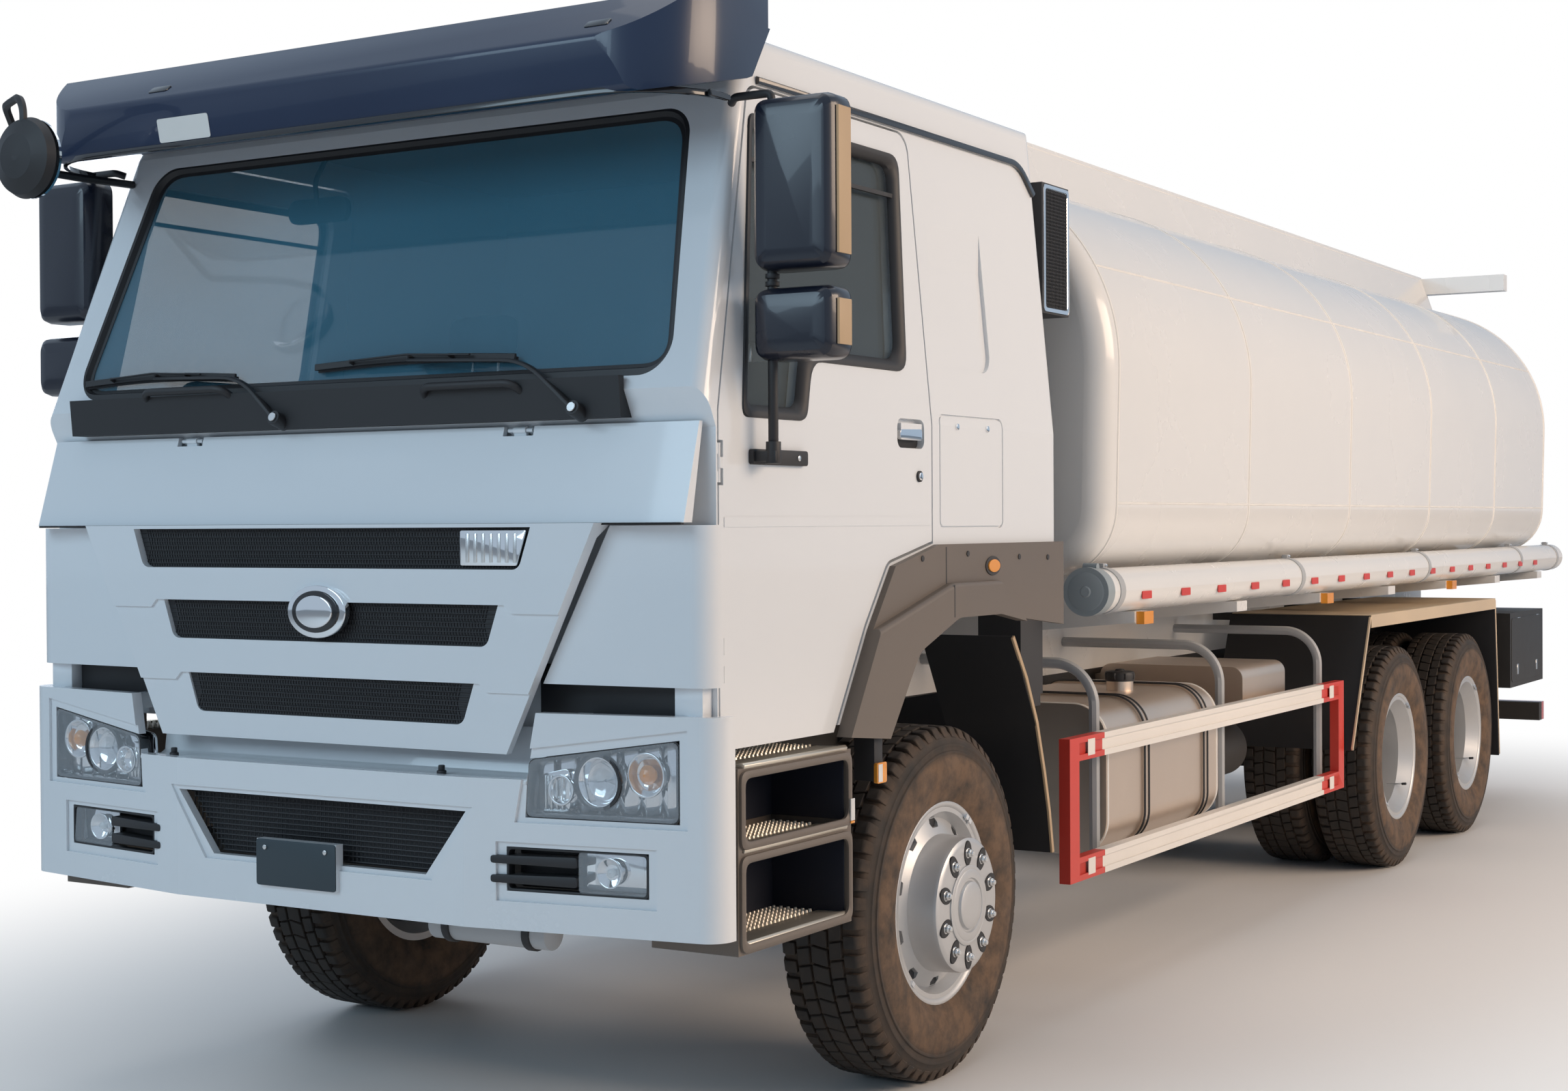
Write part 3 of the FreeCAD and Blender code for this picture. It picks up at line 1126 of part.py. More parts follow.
air = round_bar("air_tank", "Y", S.air_tank_radius, S.air_tank_front, S.air_tank_rear,
                S.air_tank_x, S.air_tank_z)
air_arm = box("air_tank_arm", (S.rail_outer + S.seat_gap, S.air_tank_x),
              (S.air_tank_front + S.bearer_width, S.air_tank_front + S.bearer_width * 2),
              (S.air_tank_z, S.air_tank_z + S.air_tank_radius))
air_arm_rear = box("air_tank_arm_rear", (S.rail_outer + S.seat_gap, S.air_tank_x),
                   (S.air_tank_rear - S.bearer_width * 2, S.air_tank_rear - S.bearer_width),
                   (S.air_tank_z, S.air_tank_z + S.air_tank_radius))
node(fuse([air, air_arm, air_arm_rear], "air_tank_left"), "air_tanks")

battery = body("battery_box")
pad(battery, "XZ", [(-S.rail_outer - S.seat_gap, S.battery_low),
                    (-S.rail_outer - S.seat_gap, S.battery_top),
                    (-S.battery_outer, S.battery_top), (-S.battery_outer, S.battery_low)],
    S.battery_front, S.battery_rear)
node(battery, "battery_box")

# Mudguards: a long plate with two flaps over the rear wheels, a flap behind each front wheel.

rear_guard = body("rear_mudguard")
plate = S.guard_plate_wall
pad(rear_guard, "YZ", [
    (S.flap_front_y, S.flap_front_z), (S.flap_front_y + plate, S.flap_front_z),
    (S.guard_plate_front + plate, S.guard_plate_top - plate),
    (S.guard_plate_rear - plate, S.guard_plate_top - plate),
    (S.flap_rear_y - plate, S.flap_rear_z), (S.flap_rear_y, S.flap_rear_z),
    (S.guard_plate_rear, S.guard_plate_top), (S.guard_plate_front, S.guard_plate_top)],
    S.guard_plate_inner, S.guard_plate_outer)
for station in (0.05, 0.5, 0.93):
    start = S.guard_plate_front + (S.guard_plate_rear - S.guard_plate_front) * station
    pad(rear_guard, "XZ",
        [(S.rail_outer + S.seat_gap, S.guard_plate_top - plate * 3),
         (S.guard_plate_inner + plate, S.guard_plate_top - plate * 3),
                           (S.guard_plate_inner + plate, S.guard_plate_top),
                           (S.rail_outer + S.seat_gap, S.guard_plate_top)],
        start, start + S.guard_arm)
front_guard = body("front_mudguard")
sheet_wall = S.front_flap_wall
lift = (S.front_flap_top_z + S.front_flap_low_z) / 2
bulge_y = (S.front_flap_top_y + S.front_flap_low_y) / 2 + S.front_flap_bulge
bend = S.front_flap_bulge * 8
pad(front_guard, "YZ", [
    (S.front_flap_low_y, S.front_flap_low_z), (S.front_flap_low_y + sheet_wall, S.front_flap_low_z),
    (bulge_y + sheet_wall, lift, bend + sheet_wall),
    (S.front_flap_top_y + sheet_wall, S.front_flap_top_z),
    (S.front_flap_top_y, S.front_flap_top_z), (bulge_y, lift, bend)],
    S.front_flap_inner, S.front_flap_outer)
pad(front_guard, "YZ", [
    (bulge_y, lift), (bulge_y, lift - S.guard_arm), (bulge_y + S.guard_arm * 1.5, lift - S.guard_arm),
    (bulge_y + S.guard_arm * 1.5, lift)], S.rail_outer + S.seat_gap, S.front_flap_inner + sheet_wall)
node(group([both_sides(rear_guard, "rear_mudguards"), both_sides(front_guard, "front_mudguards")],
           "mudguard_set"), "mudguards")

# Rear end: closed equipment boxes, the underrun bar and the tail lamps.

rear_box = body("equipment_box")
pad(rear_box, "XZ", [(S.rail_outer + S.seat_gap, S.box_low), (S.box_outer, S.box_low),
                     (S.box_outer, S.box_top),
                     (S.rail_outer + S.seat_gap, S.box_top)], S.box_front, S.box_rear)
node(both_sides(rear_box, "equipment_boxes"), "equipment_boxes")

underrun = body("underrun_bar")
pad(underrun, "XZ", [(-S.underrun_half, S.underrun_low), (S.underrun_half, S.underrun_low),
                     (S.underrun_half, S.underrun_low + S.underrun_height),
                     (-S.underrun_half, S.underrun_low + S.underrun_height)],
    S.underrun_y, S.underrun_y + S.underrun_wall)
for side in (1, -1):
    pad(underrun, "YZ", [(S.frame_rear + S.seat_gap, S.rail_top),
                         (S.frame_rear + S.seat_gap, S.rail_top - S.rail_height),
                         (S.underrun_y, S.underrun_low),
                         (S.underrun_y + S.underrun_wall, S.underrun_low),
                         (S.underrun_y + S.underrun_wall, S.rail_top)],
        side * S.rail_outer - S.bearer_width / 2, side * S.rail_outer + S.bearer_width / 2)
node(underrun, "underrun_bar")

lamps = []
lamp_y = S.underrun_y + S.underrun_wall + S.seat_gap
for side in (1, -1):
    inner_x = S.underrun_half - S.tail_lamp_width
    pair = (inner_x, S.underrun_half) if side > 0 else (-S.underrun_half, -inner_x)
    lamps.append(box("tail_lamp_%s" % ("left" if side > 0 else "right"), pair,
                     (lamp_y, lamp_y + S.tail_lamp_wall),
                     (S.underrun_low, S.underrun_low + S.underrun_height)))
node(group(lamps, "tail_lamp_pair"), "tail_lamps")

markers = []
for index in range(3):
    station = (S.bolster_first + S.bolster_pitch * S.marker_step * index
               + (S.bolster_width - S.marker_width) / 2)
    markers.append(box("marker_%d" % (index + 1),
                       (S.bolster_tip + S.seat_gap, S.bolster_tip + S.seat_gap + S.marker_wall),
                       (station, station + S.marker_width),
                       (tube_seat - S.marker_height - S.seat_gap, tube_seat - S.seat_gap)))
node(both_sides(group(markers, "marker_row"), "marker_rows"), "marker_lamps")

# Cab shell: a hollow box with a raked screen, its sides leaning in above the belt.

def cab_profile(inset, floor):
    """Side view of the cab, drawn smaller all round by inset."""
    return [
        (S.cab_front_low + inset, S.firewall_top), (S.cab_front_low + inset, S.cab_low + floor),
        (S.arch_low_y + floor * 0.4, S.cab_low + floor),
        (S.arch_top_y + floor * 0.2, S.arch_top + floor), (S.cab_rear - inset, S.arch_top + floor),
        (S.cab_rear - inset, S.cab_roof - inset), (S.roof_front_y + inset * 0.5, S.cab_roof - inset),
        (S.screen_top_y + inset, S.screen_top), (S.screen_low_y + inset, S.screen_low)]


def lean_cut(made, half, top_half, start, stop):
    """Takes the wedge above the belt off both sides."""
    lean = (half - top_half) / (S.gutter - S.belt)
    high = S.cab_roof + S.over
    wedge = pocket(made, "XZ", [(half, S.belt), (half + S.over, S.belt), (half + S.over, high),
                                (half - (high - S.belt) * lean_share(half, top_half), high)], start,
                                stop)
    return mirrored(made, [wedge])


def lean_share(half, top_half):
    return (half - top_half) / (S.gutter - S.belt)


cab_outer = body("cab_outer")
pad(cab_outer, "YZ", cab_profile(Size("0", 0), Size("0", 0)), -S.cab_half, S.cab_half)
lean_cut(cab_outer, S.cab_half, S.cab_top_half, S.screen_low_y - S.over, S.cab_rear + S.over)


def on_lean(point):
    """Whether a point lies on a leaning side of the cab, clear of the screen's foot."""
    side = S.cab_half.number - (point.z - S.belt.number) * number_of(lean_share(S.cab_half,
        S.cab_top_half))
    return point.z > S.screen_low.number and abs(abs(point.x) - side) < 1


round_edges(cab_outer, S.pillar_round, lambda middle, direction: on_lean(middle))
cab_cavity = body("cab_cavity")
inner_half = S.cab_half - S.cab_wall
inner_top = S.cab_top_half - S.cab_wall
pad(cab_cavity, "YZ", cab_profile(S.cab_wall, S.floor_wall), -inner_half, inner_half)
lean_cut(cab_cavity, inner_half, inner_top, S.screen_low_y - S.over, S.cab_rear + S.over)

def door_outline(gap):
    """The door's edge, or with a gap the hole that it shuts in."""
    return [
        (S.door_front - gap, S.door_low - gap), (S.sill_rear_y + gap, S.door_low - gap),
        (S.sill_knee_y + gap, S.sill_knee - gap, S.door_corner),
        (S.sill_brow_y + gap, S.sill_brow - gap, S.door_corner), (S.door_rear + gap, S.sill_end - gap),
        (S.door_rear + gap, S.door_top + gap, S.door_corner),
        (S.screen_top_y + S.cab_wall - gap, S.door_top + gap, S.door_corner),
        (S.door_front - gap, S.belt)]


WINDOW = [
    (S.window_front_low, S.window_dip, S.window_corner * 0.6),
    (S.window_dip_rear, S.window_dip, S.window_corner * 0.6),
    (S.window_dip_rear + S.window_corner, S.window_low),
    (S.window_rear_low, S.window_low, S.window_corner),
    (S.window_rear_top, S.window_top, S.window_corner),
    (S.window_front_top, S.window_top, S.window_corner * 0.6)]


def side_strip(outer, top_outer, inner, top_inner, low, high):
    """Section of the cab's side wall, upright below the belt and leaning in above it."""
    out_high = outer - (high - S.belt) * lean_share(outer, top_outer)
    in_high = inner - (high - S.belt) * lean_share(inner, top_inner)
    return [(inner, low), (outer, low), (outer, S.belt), (out_high, high), (in_high, high),
            (inner, S.belt)]


door_pin_x = S.cab_half - S.hinge_pin
door_pin_y = S.door_front + S.hinge_pin
cover_pin_y = S.cover_top_y + S.cover_top_wall / 2
cover_pin_z = S.cover_top - S.hinge_barrel

opening = body("door_opening")
pad(opening, "YZ", door_outline(S.panel_gap), inner_top - S.over, S.cab_half + S.over)
opening_band = body("door_band")
pad(opening_band, "XZ",
    side_strip(S.cab_half + S.over, S.cab_top_half + S.over, inner_half - S.seat_gap,
                                   inner_top - S.seat_gap, S.door_low - S.over, S.door_top + S.over),
    S.door_front - S.over, S.door_rear + S.over)
door_hole = common(opening, opening_band, "door_hole")
screen_hole = body("screen_hole")
SCREEN = [(-S.glass_low_half, S.glass_low, S.glass_corner),
          (S.glass_low_half, S.glass_low, S.glass_corner),
          (S.glass_top_half, S.glass_top, S.glass_corner),
          (-S.glass_top_half, S.glass_top, S.glass_corner)]
pad(screen_hole, "XZ", SCREEN, S.screen_low_y - S.over, S.roof_front_y + S.cab_wall)


def side_pressing(name, outline, hollow, depth):
    """What a pressing takes off the left side of the sleeper, all of one depth; hollow may be None."""
    shape = body(name)
    pad(shape, "YZ", outline, inner_half, S.cab_half + S.over)
    if hollow:
        pocket(shape, "YZ", hollow, inner_half, S.cab_half + S.over)
    band = body(name + "_band")
    high = S.gutter
    pad(band, "XZ", side_strip(S.cab_half + S.over, S.cab_top_half + S.over, S.cab_half - depth,
                               S.cab_top_half - depth, S.locker_low - S.over, high),
        S.locker_front - S.over, S.locker_rear + S.over)
    return common(shape, band, name + "_cut")


def rounded(front, rear, low, high, radius):
    return [(front, low, radius), (rear, low, radius), (rear, high, radius), (front, high, radius)]


blind = side_pressing(
    "blind_window", rounded(S.blind_front, S.blind_rear, S.blind_low, S.blind_top, S.blind_corner),
    None,
    S.blind_depth)
gap = S.locker_gap
locker = side_pressing(
    "locker_lid", rounded(S.locker_front, S.locker_rear, S.locker_low, S.locker_top, S.locker_corner),
    rounded(S.locker_front + gap, S.locker_rear - gap, S.locker_low + gap, S.locker_top - gap,
            S.locker_corner - gap),
    gap)
openings = [both_sides(made, made.Name + "_pair") for made in (door_hole, blind, locker)]
opened = cut(cut(cab_outer, cab_cavity, "cab_skin"), fuse(openings + [screen_hole], "cab_holes"),
             "cab_opened")

# What the shell carries: two ears on the tilt pins, and the door and cover hinge pins.

fittings = body("cab_fittings")
ear_high = S.cab_low + S.floor_wall / 2
for side in (1, -1):
    ear = (S.tilt_ear_x, S.tilt_ear_x + S.tilt_ear) if side > 0 else (-S.tilt_ear_x - S.tilt_ear,
        -S.tilt_ear_x)
    pad_circle(fittings, "YZ", S.tilt_y, S.tilt_z, S.tilt_radius * 1.5, *ear)
    pad(fittings, "YZ", [(S.tilt_y - S.tilt_radius * 1.5, S.tilt_z),
                         (S.tilt_y + S.tilt_radius * 1.5, S.tilt_z),
                         (S.tilt_y + S.tilt_radius * 2.5, ear_high),
                         (S.tilt_y - S.tilt_radius * 2.5, ear_high)], *ear)
    pocket_circle(fittings, "YZ", S.tilt_y, S.tilt_z, S.tilt_radius + S.pin_gap, ear[0] - S.over,
                  ear[1] + S.over)
    pin_x, tab_in = side * door_pin_x, side * (door_pin_x - S.cab_wall / 2)
    for low in (S.door_hinge_low, S.door_hinge_high):
        pad_circle(fittings, "XY", pin_x, door_pin_y, S.hinge_pin, low, low + S.hinge_long)
        for start in (low, low + S.hinge_long * 0.72):
            pad(fittings, "XY", [
                (tab_in, S.cab_front_low), (pin_x + side * S.hinge_pin / 2, S.cab_front_low),
                (pin_x + side * S.hinge_pin / 2, door_pin_y), (pin_x - side * S.hinge_pin, door_pin_y)],
                start, start + S.hinge_long * 0.28)
    middle = side * S.cover_hinge_x
    pad_circle(fittings, "YZ", cover_pin_y, cover_pin_z, S.hinge_pin, middle - S.hinge_long * 0.4,
               middle + S.hinge_long * 0.4)
    for start in (middle - S.hinge_long * 0.4, middle + S.hinge_long * 0.25):
        pad(fittings, "YZ", [
            (cover_pin_y, cover_pin_z - S.hinge_pin / 2),
            (S.cab_front_low + S.cab_wall / 2, cover_pin_z - S.over),
            (S.cab_front_low + S.cab_wall / 2, cover_pin_z - S.hinge_barrel),
            (cover_pin_y, cover_pin_z + S.hinge_pin / 2)],
            start, start + S.hinge_long * 0.15)
node(fuse([opened, fittings], "cab_with_fittings"), "cab_shell")

door = body("door_left")
pad(door, "XZ", side_strip(S.cab_half, S.cab_top_half, inner_half, inner_top, S.door_low - S.over,
                           S.door_top + S.over),
    S.door_front - S.over, S.door_rear + S.over)
trim(door, "YZ", door_outline(Size("0", 0)), inner_top - S.over, S.cab_half + S.over,
     (S.door_front - S.over * 2, S.door_low - S.over * 2),
     (S.door_rear + S.over * 2, S.door_top + S.over * 2))
pocket(door, "YZ", WINDOW, inner_top - S.over, S.cab_half + S.over)
for low in (S.door_hinge_low, S.door_hinge_high):
    reach = S.hinge_barrel * 1.4
    pocket(door, "XY", [
        (door_pin_x - S.cab_wall / 2 - S.panel_gap, S.door_front - S.over),
        (S.cab_half + S.over, S.door_front - S.over),
        (S.cab_half + S.over, door_pin_y + reach),
        (door_pin_x - S.cab_wall / 2 - S.panel_gap, door_pin_y + reach)],
        low - S.panel_gap, low + S.hinge_long + S.panel_gap)
    pad_circle(door, "XY", door_pin_x, door_pin_y, S.hinge_barrel, low + S.hinge_long * 0.36,
               low + S.hinge_long * 0.64)
    pad(door, "XY", [(door_pin_x - S.hinge_barrel, door_pin_y), (door_pin_x + S.hinge_pin, door_pin_y),
                     (door_pin_x + S.hinge_pin, door_pin_y + reach * 1.5),
                     (door_pin_x - S.hinge_barrel, door_pin_y + reach * 1.5)],
        low + S.hinge_long * 0.36, low + S.hinge_long * 0.64)
    pocket_circle(door, "XY", door_pin_x, door_pin_y, S.hinge_pin + S.pin_gap, low, low + S.hinge_long)
pocket(door, "YZ", rounded(S.handle_front, S.handle_rear, S.handle_low, S.handle_high, S.grip_height),
       S.cab_half - S.handle_depth, S.cab_half + S.over)
grip_high = S.handle_high - S.grip_height / 2
pad(door, "YZ", [
    (S.handle_front + S.grip_height, grip_high - S.grip_height),
    (S.handle_rear - S.grip_height / 2, grip_high - S.grip_height),
    (S.handle_rear - S.grip_height / 2, grip_high), (S.handle_front + S.grip_height, grip_high)],
    S.cab_half - S.handle_depth, S.cab_half - S.seat_gap * 5)
node(door, "door_left")
node(other_side(door, "door_right"), "door_right")

pane = body("door_glass_left")
mid_half = S.cab_half - S.cab_wall / 2
mid_top = S.cab_top_half - S.cab_wall / 2
pad(pane, "XZ", side_strip(mid_half, mid_top, mid_half - S.glass_wall, mid_top - S.glass_wall,
                           S.door_low, S.door_top),
    S.door_front, S.door_rear)
trim(pane, "YZ", WINDOW, inner_top - S.over, S.cab_half + S.over,
     (S.door_front - S.over, S.door_low - S.over), (S.door_rear + S.over, S.door_top + S.over))
node(pane, "door_glass_left")
node(other_side(pane, "door_glass_right"), "door_glass_right")

screen = body("windscreen")
low_y = S.screen_low_y + S.cab_wall / 3
pad(screen, "YZ", [(low_y, S.screen_low), (low_y + S.glass_wall, S.screen_low),
                   (S.screen_top_y + S.cab_wall / 3 + S.glass_wall, S.screen_top),
                   (S.screen_top_y + S.cab_wall / 3, S.screen_top)],
    -S.glass_low_half - S.over, S.glass_low_half + S.over)
trim(screen, "XZ", SCREEN, S.screen_low_y - S.over, S.roof_front_y + S.cab_wall,
     (-S.glass_low_half - S.over * 2, S.screen_low - S.over),
     (S.glass_low_half + S.over * 2, S.screen_top + S.over))
node(screen, "windscreen")

# Visor over the windscreen.

visor = body("visor")
pad(visor, "YZ", [
    (S.visor_back_y, S.visor_top), (S.visor_brow_y, S.visor_brow), (S.visor_nose_y, S.visor_nose),
    (S.visor_lip_y, S.visor_lip), (S.visor_under_y, S.visor_under),
    (S.screen_top_y - S.seat_gap * 2, S.screen_top + S.over / 2),
    (S.roof_front_y - S.seat_gap, S.cab_roof),
    (S.visor_back_y, S.cab_roof + S.seat_gap)],
    -S.visor_half, S.visor_half)
trim(visor, "XY", [(-S.visor_half, S.visor_back_y + S.over),
                   (-S.visor_half, S.visor_nose_y - S.seat_gap, S.visor_corner),
                   (S.visor_half, S.visor_nose_y - S.seat_gap, S.visor_corner),
                   (S.visor_half, S.visor_back_y + S.over)],
     S.visor_lip - S.over, S.visor_top + S.over,
     (-S.visor_half - S.over, S.visor_nose_y - S.over),
     (S.visor_half + S.over, S.visor_back_y + S.over * 2))
round_edges(visor, S.visor_round, lambda middle, direction: (
    abs(direction.x) > 0.99
    and min(abs(middle.z - S.visor_nose.number), abs(middle.z - S.visor_lip.number)) < 1))
node(visor, "visor")

# Front cover: the upper panel and the grille shield, one lid hinged under the windscreen.

cover = body("front_cover")
thick = S.cover_wall
step = S.cover_break - S.seat_gap
pad(cover, "YZ", [
    (S.cover_top_y, S.cover_top), (S.cover_break_y, S.cover_break), (S.shield_y, step),
    (S.shield_y, S.shield_low), (S.shield_y + thick, S.shield_low),
    (S.shield_y + thick, S.cover_break - thick), (S.cover_break_y + thick, S.cover_break),
    (S.cover_top_y + S.cover_top_wall, S.cover_top)], -S.cover_half, S.cover_half)
trim(cover, "XZ", [
    (-S.cover_half, S.cover_top), (-S.cover_half, step), (-S.shield_top_half, step),
    (-S.shield_low_half, S.shield_low),
    (S.shield_low_half, S.shield_low), (S.shield_top_half, step), (S.cover_half, step),
    (S.cover_half, S.cover_top)],
    S.shield_y - S.over, S.cover_top_y + thick + S.over,
    (-S.cover_half - S.over, S.shield_low - S.over), (S.cover_half + S.over, S.cover_top + S.over))
SLOTS = ((S.slot_one_half, S.slot_one_top), (S.slot_two_half, S.slot_two_top),
         (S.slot_three_half, S.slot_three_top))


def shield_half(height):
    """Half the shield's width at a height, along its slanted sides."""
    share = (step - height) / (step - S.shield_low)
    return S.shield_top_half - (S.shield_top_half - S.shield_low_half) * share


for depth, (half, top) in enumerate(SLOTS[1:], start=1):
    ear = half + S.louvre_ear
    outer = top - S.louvre_drop
    pocket(cover, "XZ", [
        (-shield_half(outer) - S.over, outer), (-ear, outer), (-ear + S.louvre_drop, top),
        (ear - S.louvre_drop, top),
        (ear, outer), (shield_half(outer) + S.over, outer),
        (shield_half(outer) + S.over, S.shield_low - S.over),
        (-shield_half(outer) - S.over, S.shield_low - S.over)],
        S.shield_y - S.over, S.shield_y + S.louvre_step * depth)
for half, top in SLOTS:
    low = top - S.slot_height
    taper = S.slot_height * 0.35
    pocket(cover, "XZ", [(-half, top), (-half + taper, low, S.slot_corner),
                         (half - taper, low, S.slot_corner), (half, top)],
           S.shield_y - S.over, S.shield_y + thick + S.over)
for side in (1, -1):
    middle = side * S.cover_hinge_x
    pocket(cover, "XZ", [
        (middle - S.hinge_long / 2, cover_pin_z - S.hinge_barrel * 1.5),
        (middle + S.hinge_long / 2, cover_pin_z - S.hinge_barrel * 1.5),
        (middle + S.hinge_long / 2, S.cover_top + S.over),
        (middle - S.hinge_long / 2, S.cover_top + S.over)],
        S.cover_break_y - S.over, S.cab_front_low)
    pad_circle(cover, "YZ", cover_pin_y, cover_pin_z, S.hinge_barrel, middle - S.hinge_long / 5,
               middle + S.hinge_long / 5)
    pad(cover, "YZ", [
        (cover_pin_y - S.hinge_barrel / 2, cover_pin_z - S.hinge_barrel * 2),
        (cover_pin_y + S.hinge_barrel / 2, cover_pin_z - S.hinge_barrel * 2),
        (cover_pin_y + S.hinge_barrel / 2, cover_pin_z),
        (cover_pin_y - S.hinge_barrel / 2, cover_pin_z)],
        middle - S.hinge_long / 5, middle + S.hinge_long / 5)
    pocket_circle(cover, "YZ", cover_pin_y, cover_pin_z, S.hinge_pin + S.pin_gap,
                  middle - S.hinge_long / 2, middle + S.hinge_long / 2)
node(cover, "front_cover")

meshes = []
for index, (half, top) in enumerate(SLOTS):
    low = top - S.slot_height
    taper = S.slot_height * 0.35
    screen_mesh = body("mesh_%d" % (index + 1))
    edge = S.seat_gap
    pad(screen_mesh, "XZ", [
        (-half + edge * 2, top - edge), (-half + taper + edge, low + edge, S.slot_corner),
        (half - taper - edge, low + edge, S.slot_corner), (half - edge * 2, top - edge)],
        S.shield_y + thick * 0.6, S.shield_y + thick * 0.6 + S.mesh_wall)
    meshes.append(screen_mesh)
node(group(meshes, "mesh_set"), "grille_mesh")

# Corner panels beside the grille shield, wrapping round to the doors.

corner = body("corner_panel")
corner_back = S.cab_front_low - S.seat_gap
corner_share = (step - S.corner_low) / (step - S.shield_low)
corner_foot = S.shield_top_half - (S.shield_top_half - S.shield_low_half) * corner_share
pad(corner, "XY", [
    (S.shield_low_half, S.shield_y + S.over), (S.corner_half, S.corner_front_y, S.corner_round),
    (S.corner_half, corner_back), (S.shield_low_half, corner_back)],
    S.corner_low, step - S.panel_gap)
trim(corner, "XZ", [
    (S.shield_top_half + S.panel_gap, step - S.panel_gap),
    (S.corner_half + S.over / 2, step - S.panel_gap),
    (S.corner_half + S.over / 2, S.corner_low), (corner_foot + S.panel_gap, S.corner_low)],
    S.shield_y - S.over, S.door_front + S.over,
    (S.shield_low_half - S.over, S.corner_low - S.over), (S.corner_half + S.over, step + S.over))
node(both_sides(corner, "corner_panel_pair"), "corner_panels")

# Cowl under the windscreen, with the wiper arms' seats.

cowl = body("cowl")
cowl_foot = S.cowl_low + S.panel_gap
foot_share = (S.screen_low_y - S.cab_front_low) / (S.screen_low - S.firewall_top)
cowl_back = S.cab_front_low + (cowl_foot - S.firewall_top) * foot_share
pad(cowl, "YZ", [
    (S.cowl_y, cowl_foot), (cowl_back - S.seat_gap * 2, cowl_foot),
    (S.screen_low_y - S.seat_gap * 2, S.screen_low), (S.screen_low_y - S.seat_gap * 2, S.glass_low),
    (S.cowl_y - S.over / 4, S.glass_low)], S.cowl_right, S.cowl_left)
node(cowl, "cowl")

# Bumper: a swept shell with lamp pockets and the lower intake.

bumper = body("bumper_shell")


def bumper_plan(inset):
    """Plan view of the bumper, straight in the middle and swept back to the sides."""
    return [
        (-S.bumper_half + inset, S.bumper_side_y),
        (-S.bumper_half + inset, S.bumper_sweep_y + inset, S.bumper_round),
        (-S.intake_half, S.bumper_front + inset), (S.intake_half, S.bumper_front + inset),
        (S.bumper_half - inset, S.bumper_sweep_y + inset, S.bumper_round),
        (S.bumper_half - inset, S.bumper_side_y)]


pad(bumper, "XY", bumper_plan(Size("0", 0)), S.bumper_low, S.bumper_top)
pocket(bumper, "XY", [
    (-S.bumper_half + S.bumper_wall, S.bumper_side_y + S.over),
    (-S.bumper_half + S.bumper_wall, S.bumper_sweep_y + S.bumper_wall, S.bumper_round - S.bumper_wall),
    (-S.intake_half, S.bumper_front + S.bumper_wall), (S.intake_half, S.bumper_front + S.bumper_wall),
    (S.bumper_half - S.bumper_wall, S.bumper_sweep_y + S.bumper_wall, S.bumper_round - S.bumper_wall),
    (S.bumper_half - S.bumper_wall, S.bumper_side_y + S.over)],
    S.bumper_low + S.bumper_wall, S.bumper_top + S.over)
pocket(bumper, "XZ", [
    (-S.bumper_mid_half, S.bumper_mid_top), (S.bumper_mid_half, S.bumper_mid_top),
    (S.bumper_mid_half + S.over, S.bumper_top + S.over),
    (-S.bumper_mid_half - S.over, S.bumper_top + S.over)],
    S.bumper_front - S.over, S.bumper_side_y + S.over)
pocket(bumper, "XZ", [
    (-S.intake_half, S.intake_top), (-S.intake_low_half, S.intake_low),
    (S.intake_low_half, S.intake_low),
    (S.intake_half, S.intake_top)], S.bumper_front - S.over,
    S.bumper_front + S.bumper_wall + S.over / 2)
LAMP = [(S.lamp_inner, S.lamp_low), (S.lamp_outer, S.lamp_low), (S.lamp_outer, S.lamp_top),
        (S.lamp_inner + S.over / 4, S.lamp_top - S.over * 1.5)]
FOG = [(S.fog_inner, S.fog_low), (S.fog_outer, S.fog_low), (S.fog_outer, S.fog_top),
       (S.fog_inner, S.fog_top)]
for outline in (LAMP, FOG):
    for side in (1, -1):
        pocket(bumper, "XZ", [(side * x, z) for x, z in outline], S.bumper_front - S.over,
               S.bumper_side_y)
bracket_x = S.bumper_mid_half + S.over * 2
for side in (1, -1):
    low_x, high_x = (bracket_x, bracket_x + S.over) if side > 0 else (-bracket_x - S.over, -bracket_x)
    pad(bumper, "XZ", [(low_x, S.lamp_top + S.panel_gap), (high_x, S.lamp_top + S.panel_gap),
                       (high_x, S.bumper_top - S.panel_gap), (low_x, S.bumper_top - S.panel_gap)],
        S.bumper_front + S.bumper_wall + S.over / 2, S.cab_front_low - S.seat_gap)
pocket(bumper, "XZ", [
    (-S.intake_half - S.bumper_frame, S.intake_top + S.bumper_frame / 2),
    (-S.intake_low_half - S.bumper_frame, S.intake_low - S.bumper_frame / 2),
    (S.intake_low_half + S.bumper_frame, S.intake_low - S.bumper_frame / 2),
    (S.intake_half + S.bumper_frame, S.intake_top + S.bumper_frame / 2)],
    S.bumper_front - S.over, S.bumper_front + S.bumper_relief)
pad(bumper, "XZ", [(S.plate_right, S.plate_low), (S.plate_left, S.plate_low),
                   (S.plate_left, S.plate_top), (S.plate_right, S.plate_top)],
    S.bumper_front - S.plate_wall, S.bumper_front + S.bumper_relief + S.plate_wall / 2)


def relief(name, outline):
    """What the stepped surround of a lamp takes off the left of the bumper's swept face."""
    made = body(name)
    pad(made, "XY", [
        (S.bumper_half, S.bumper_sweep_y - S.over), (S.bumper_half, S.bumper_sweep_y + S.bumper_relief),
        (S.intake_half, S.bumper_front + S.bumper_relief), (S.intake_half, S.bumper_front - S.over)],
        S.bumper_low, S.bumper_top)
    trim(made, "XZ", outline, S.bumper_front - S.over * 2, S.bumper_side_y,
         (S.intake_half - S.over, S.bumper_low - S.over),
         (S.bumper_half + S.over, S.bumper_top + S.over))
    return both_sides(made, name + "_pair")


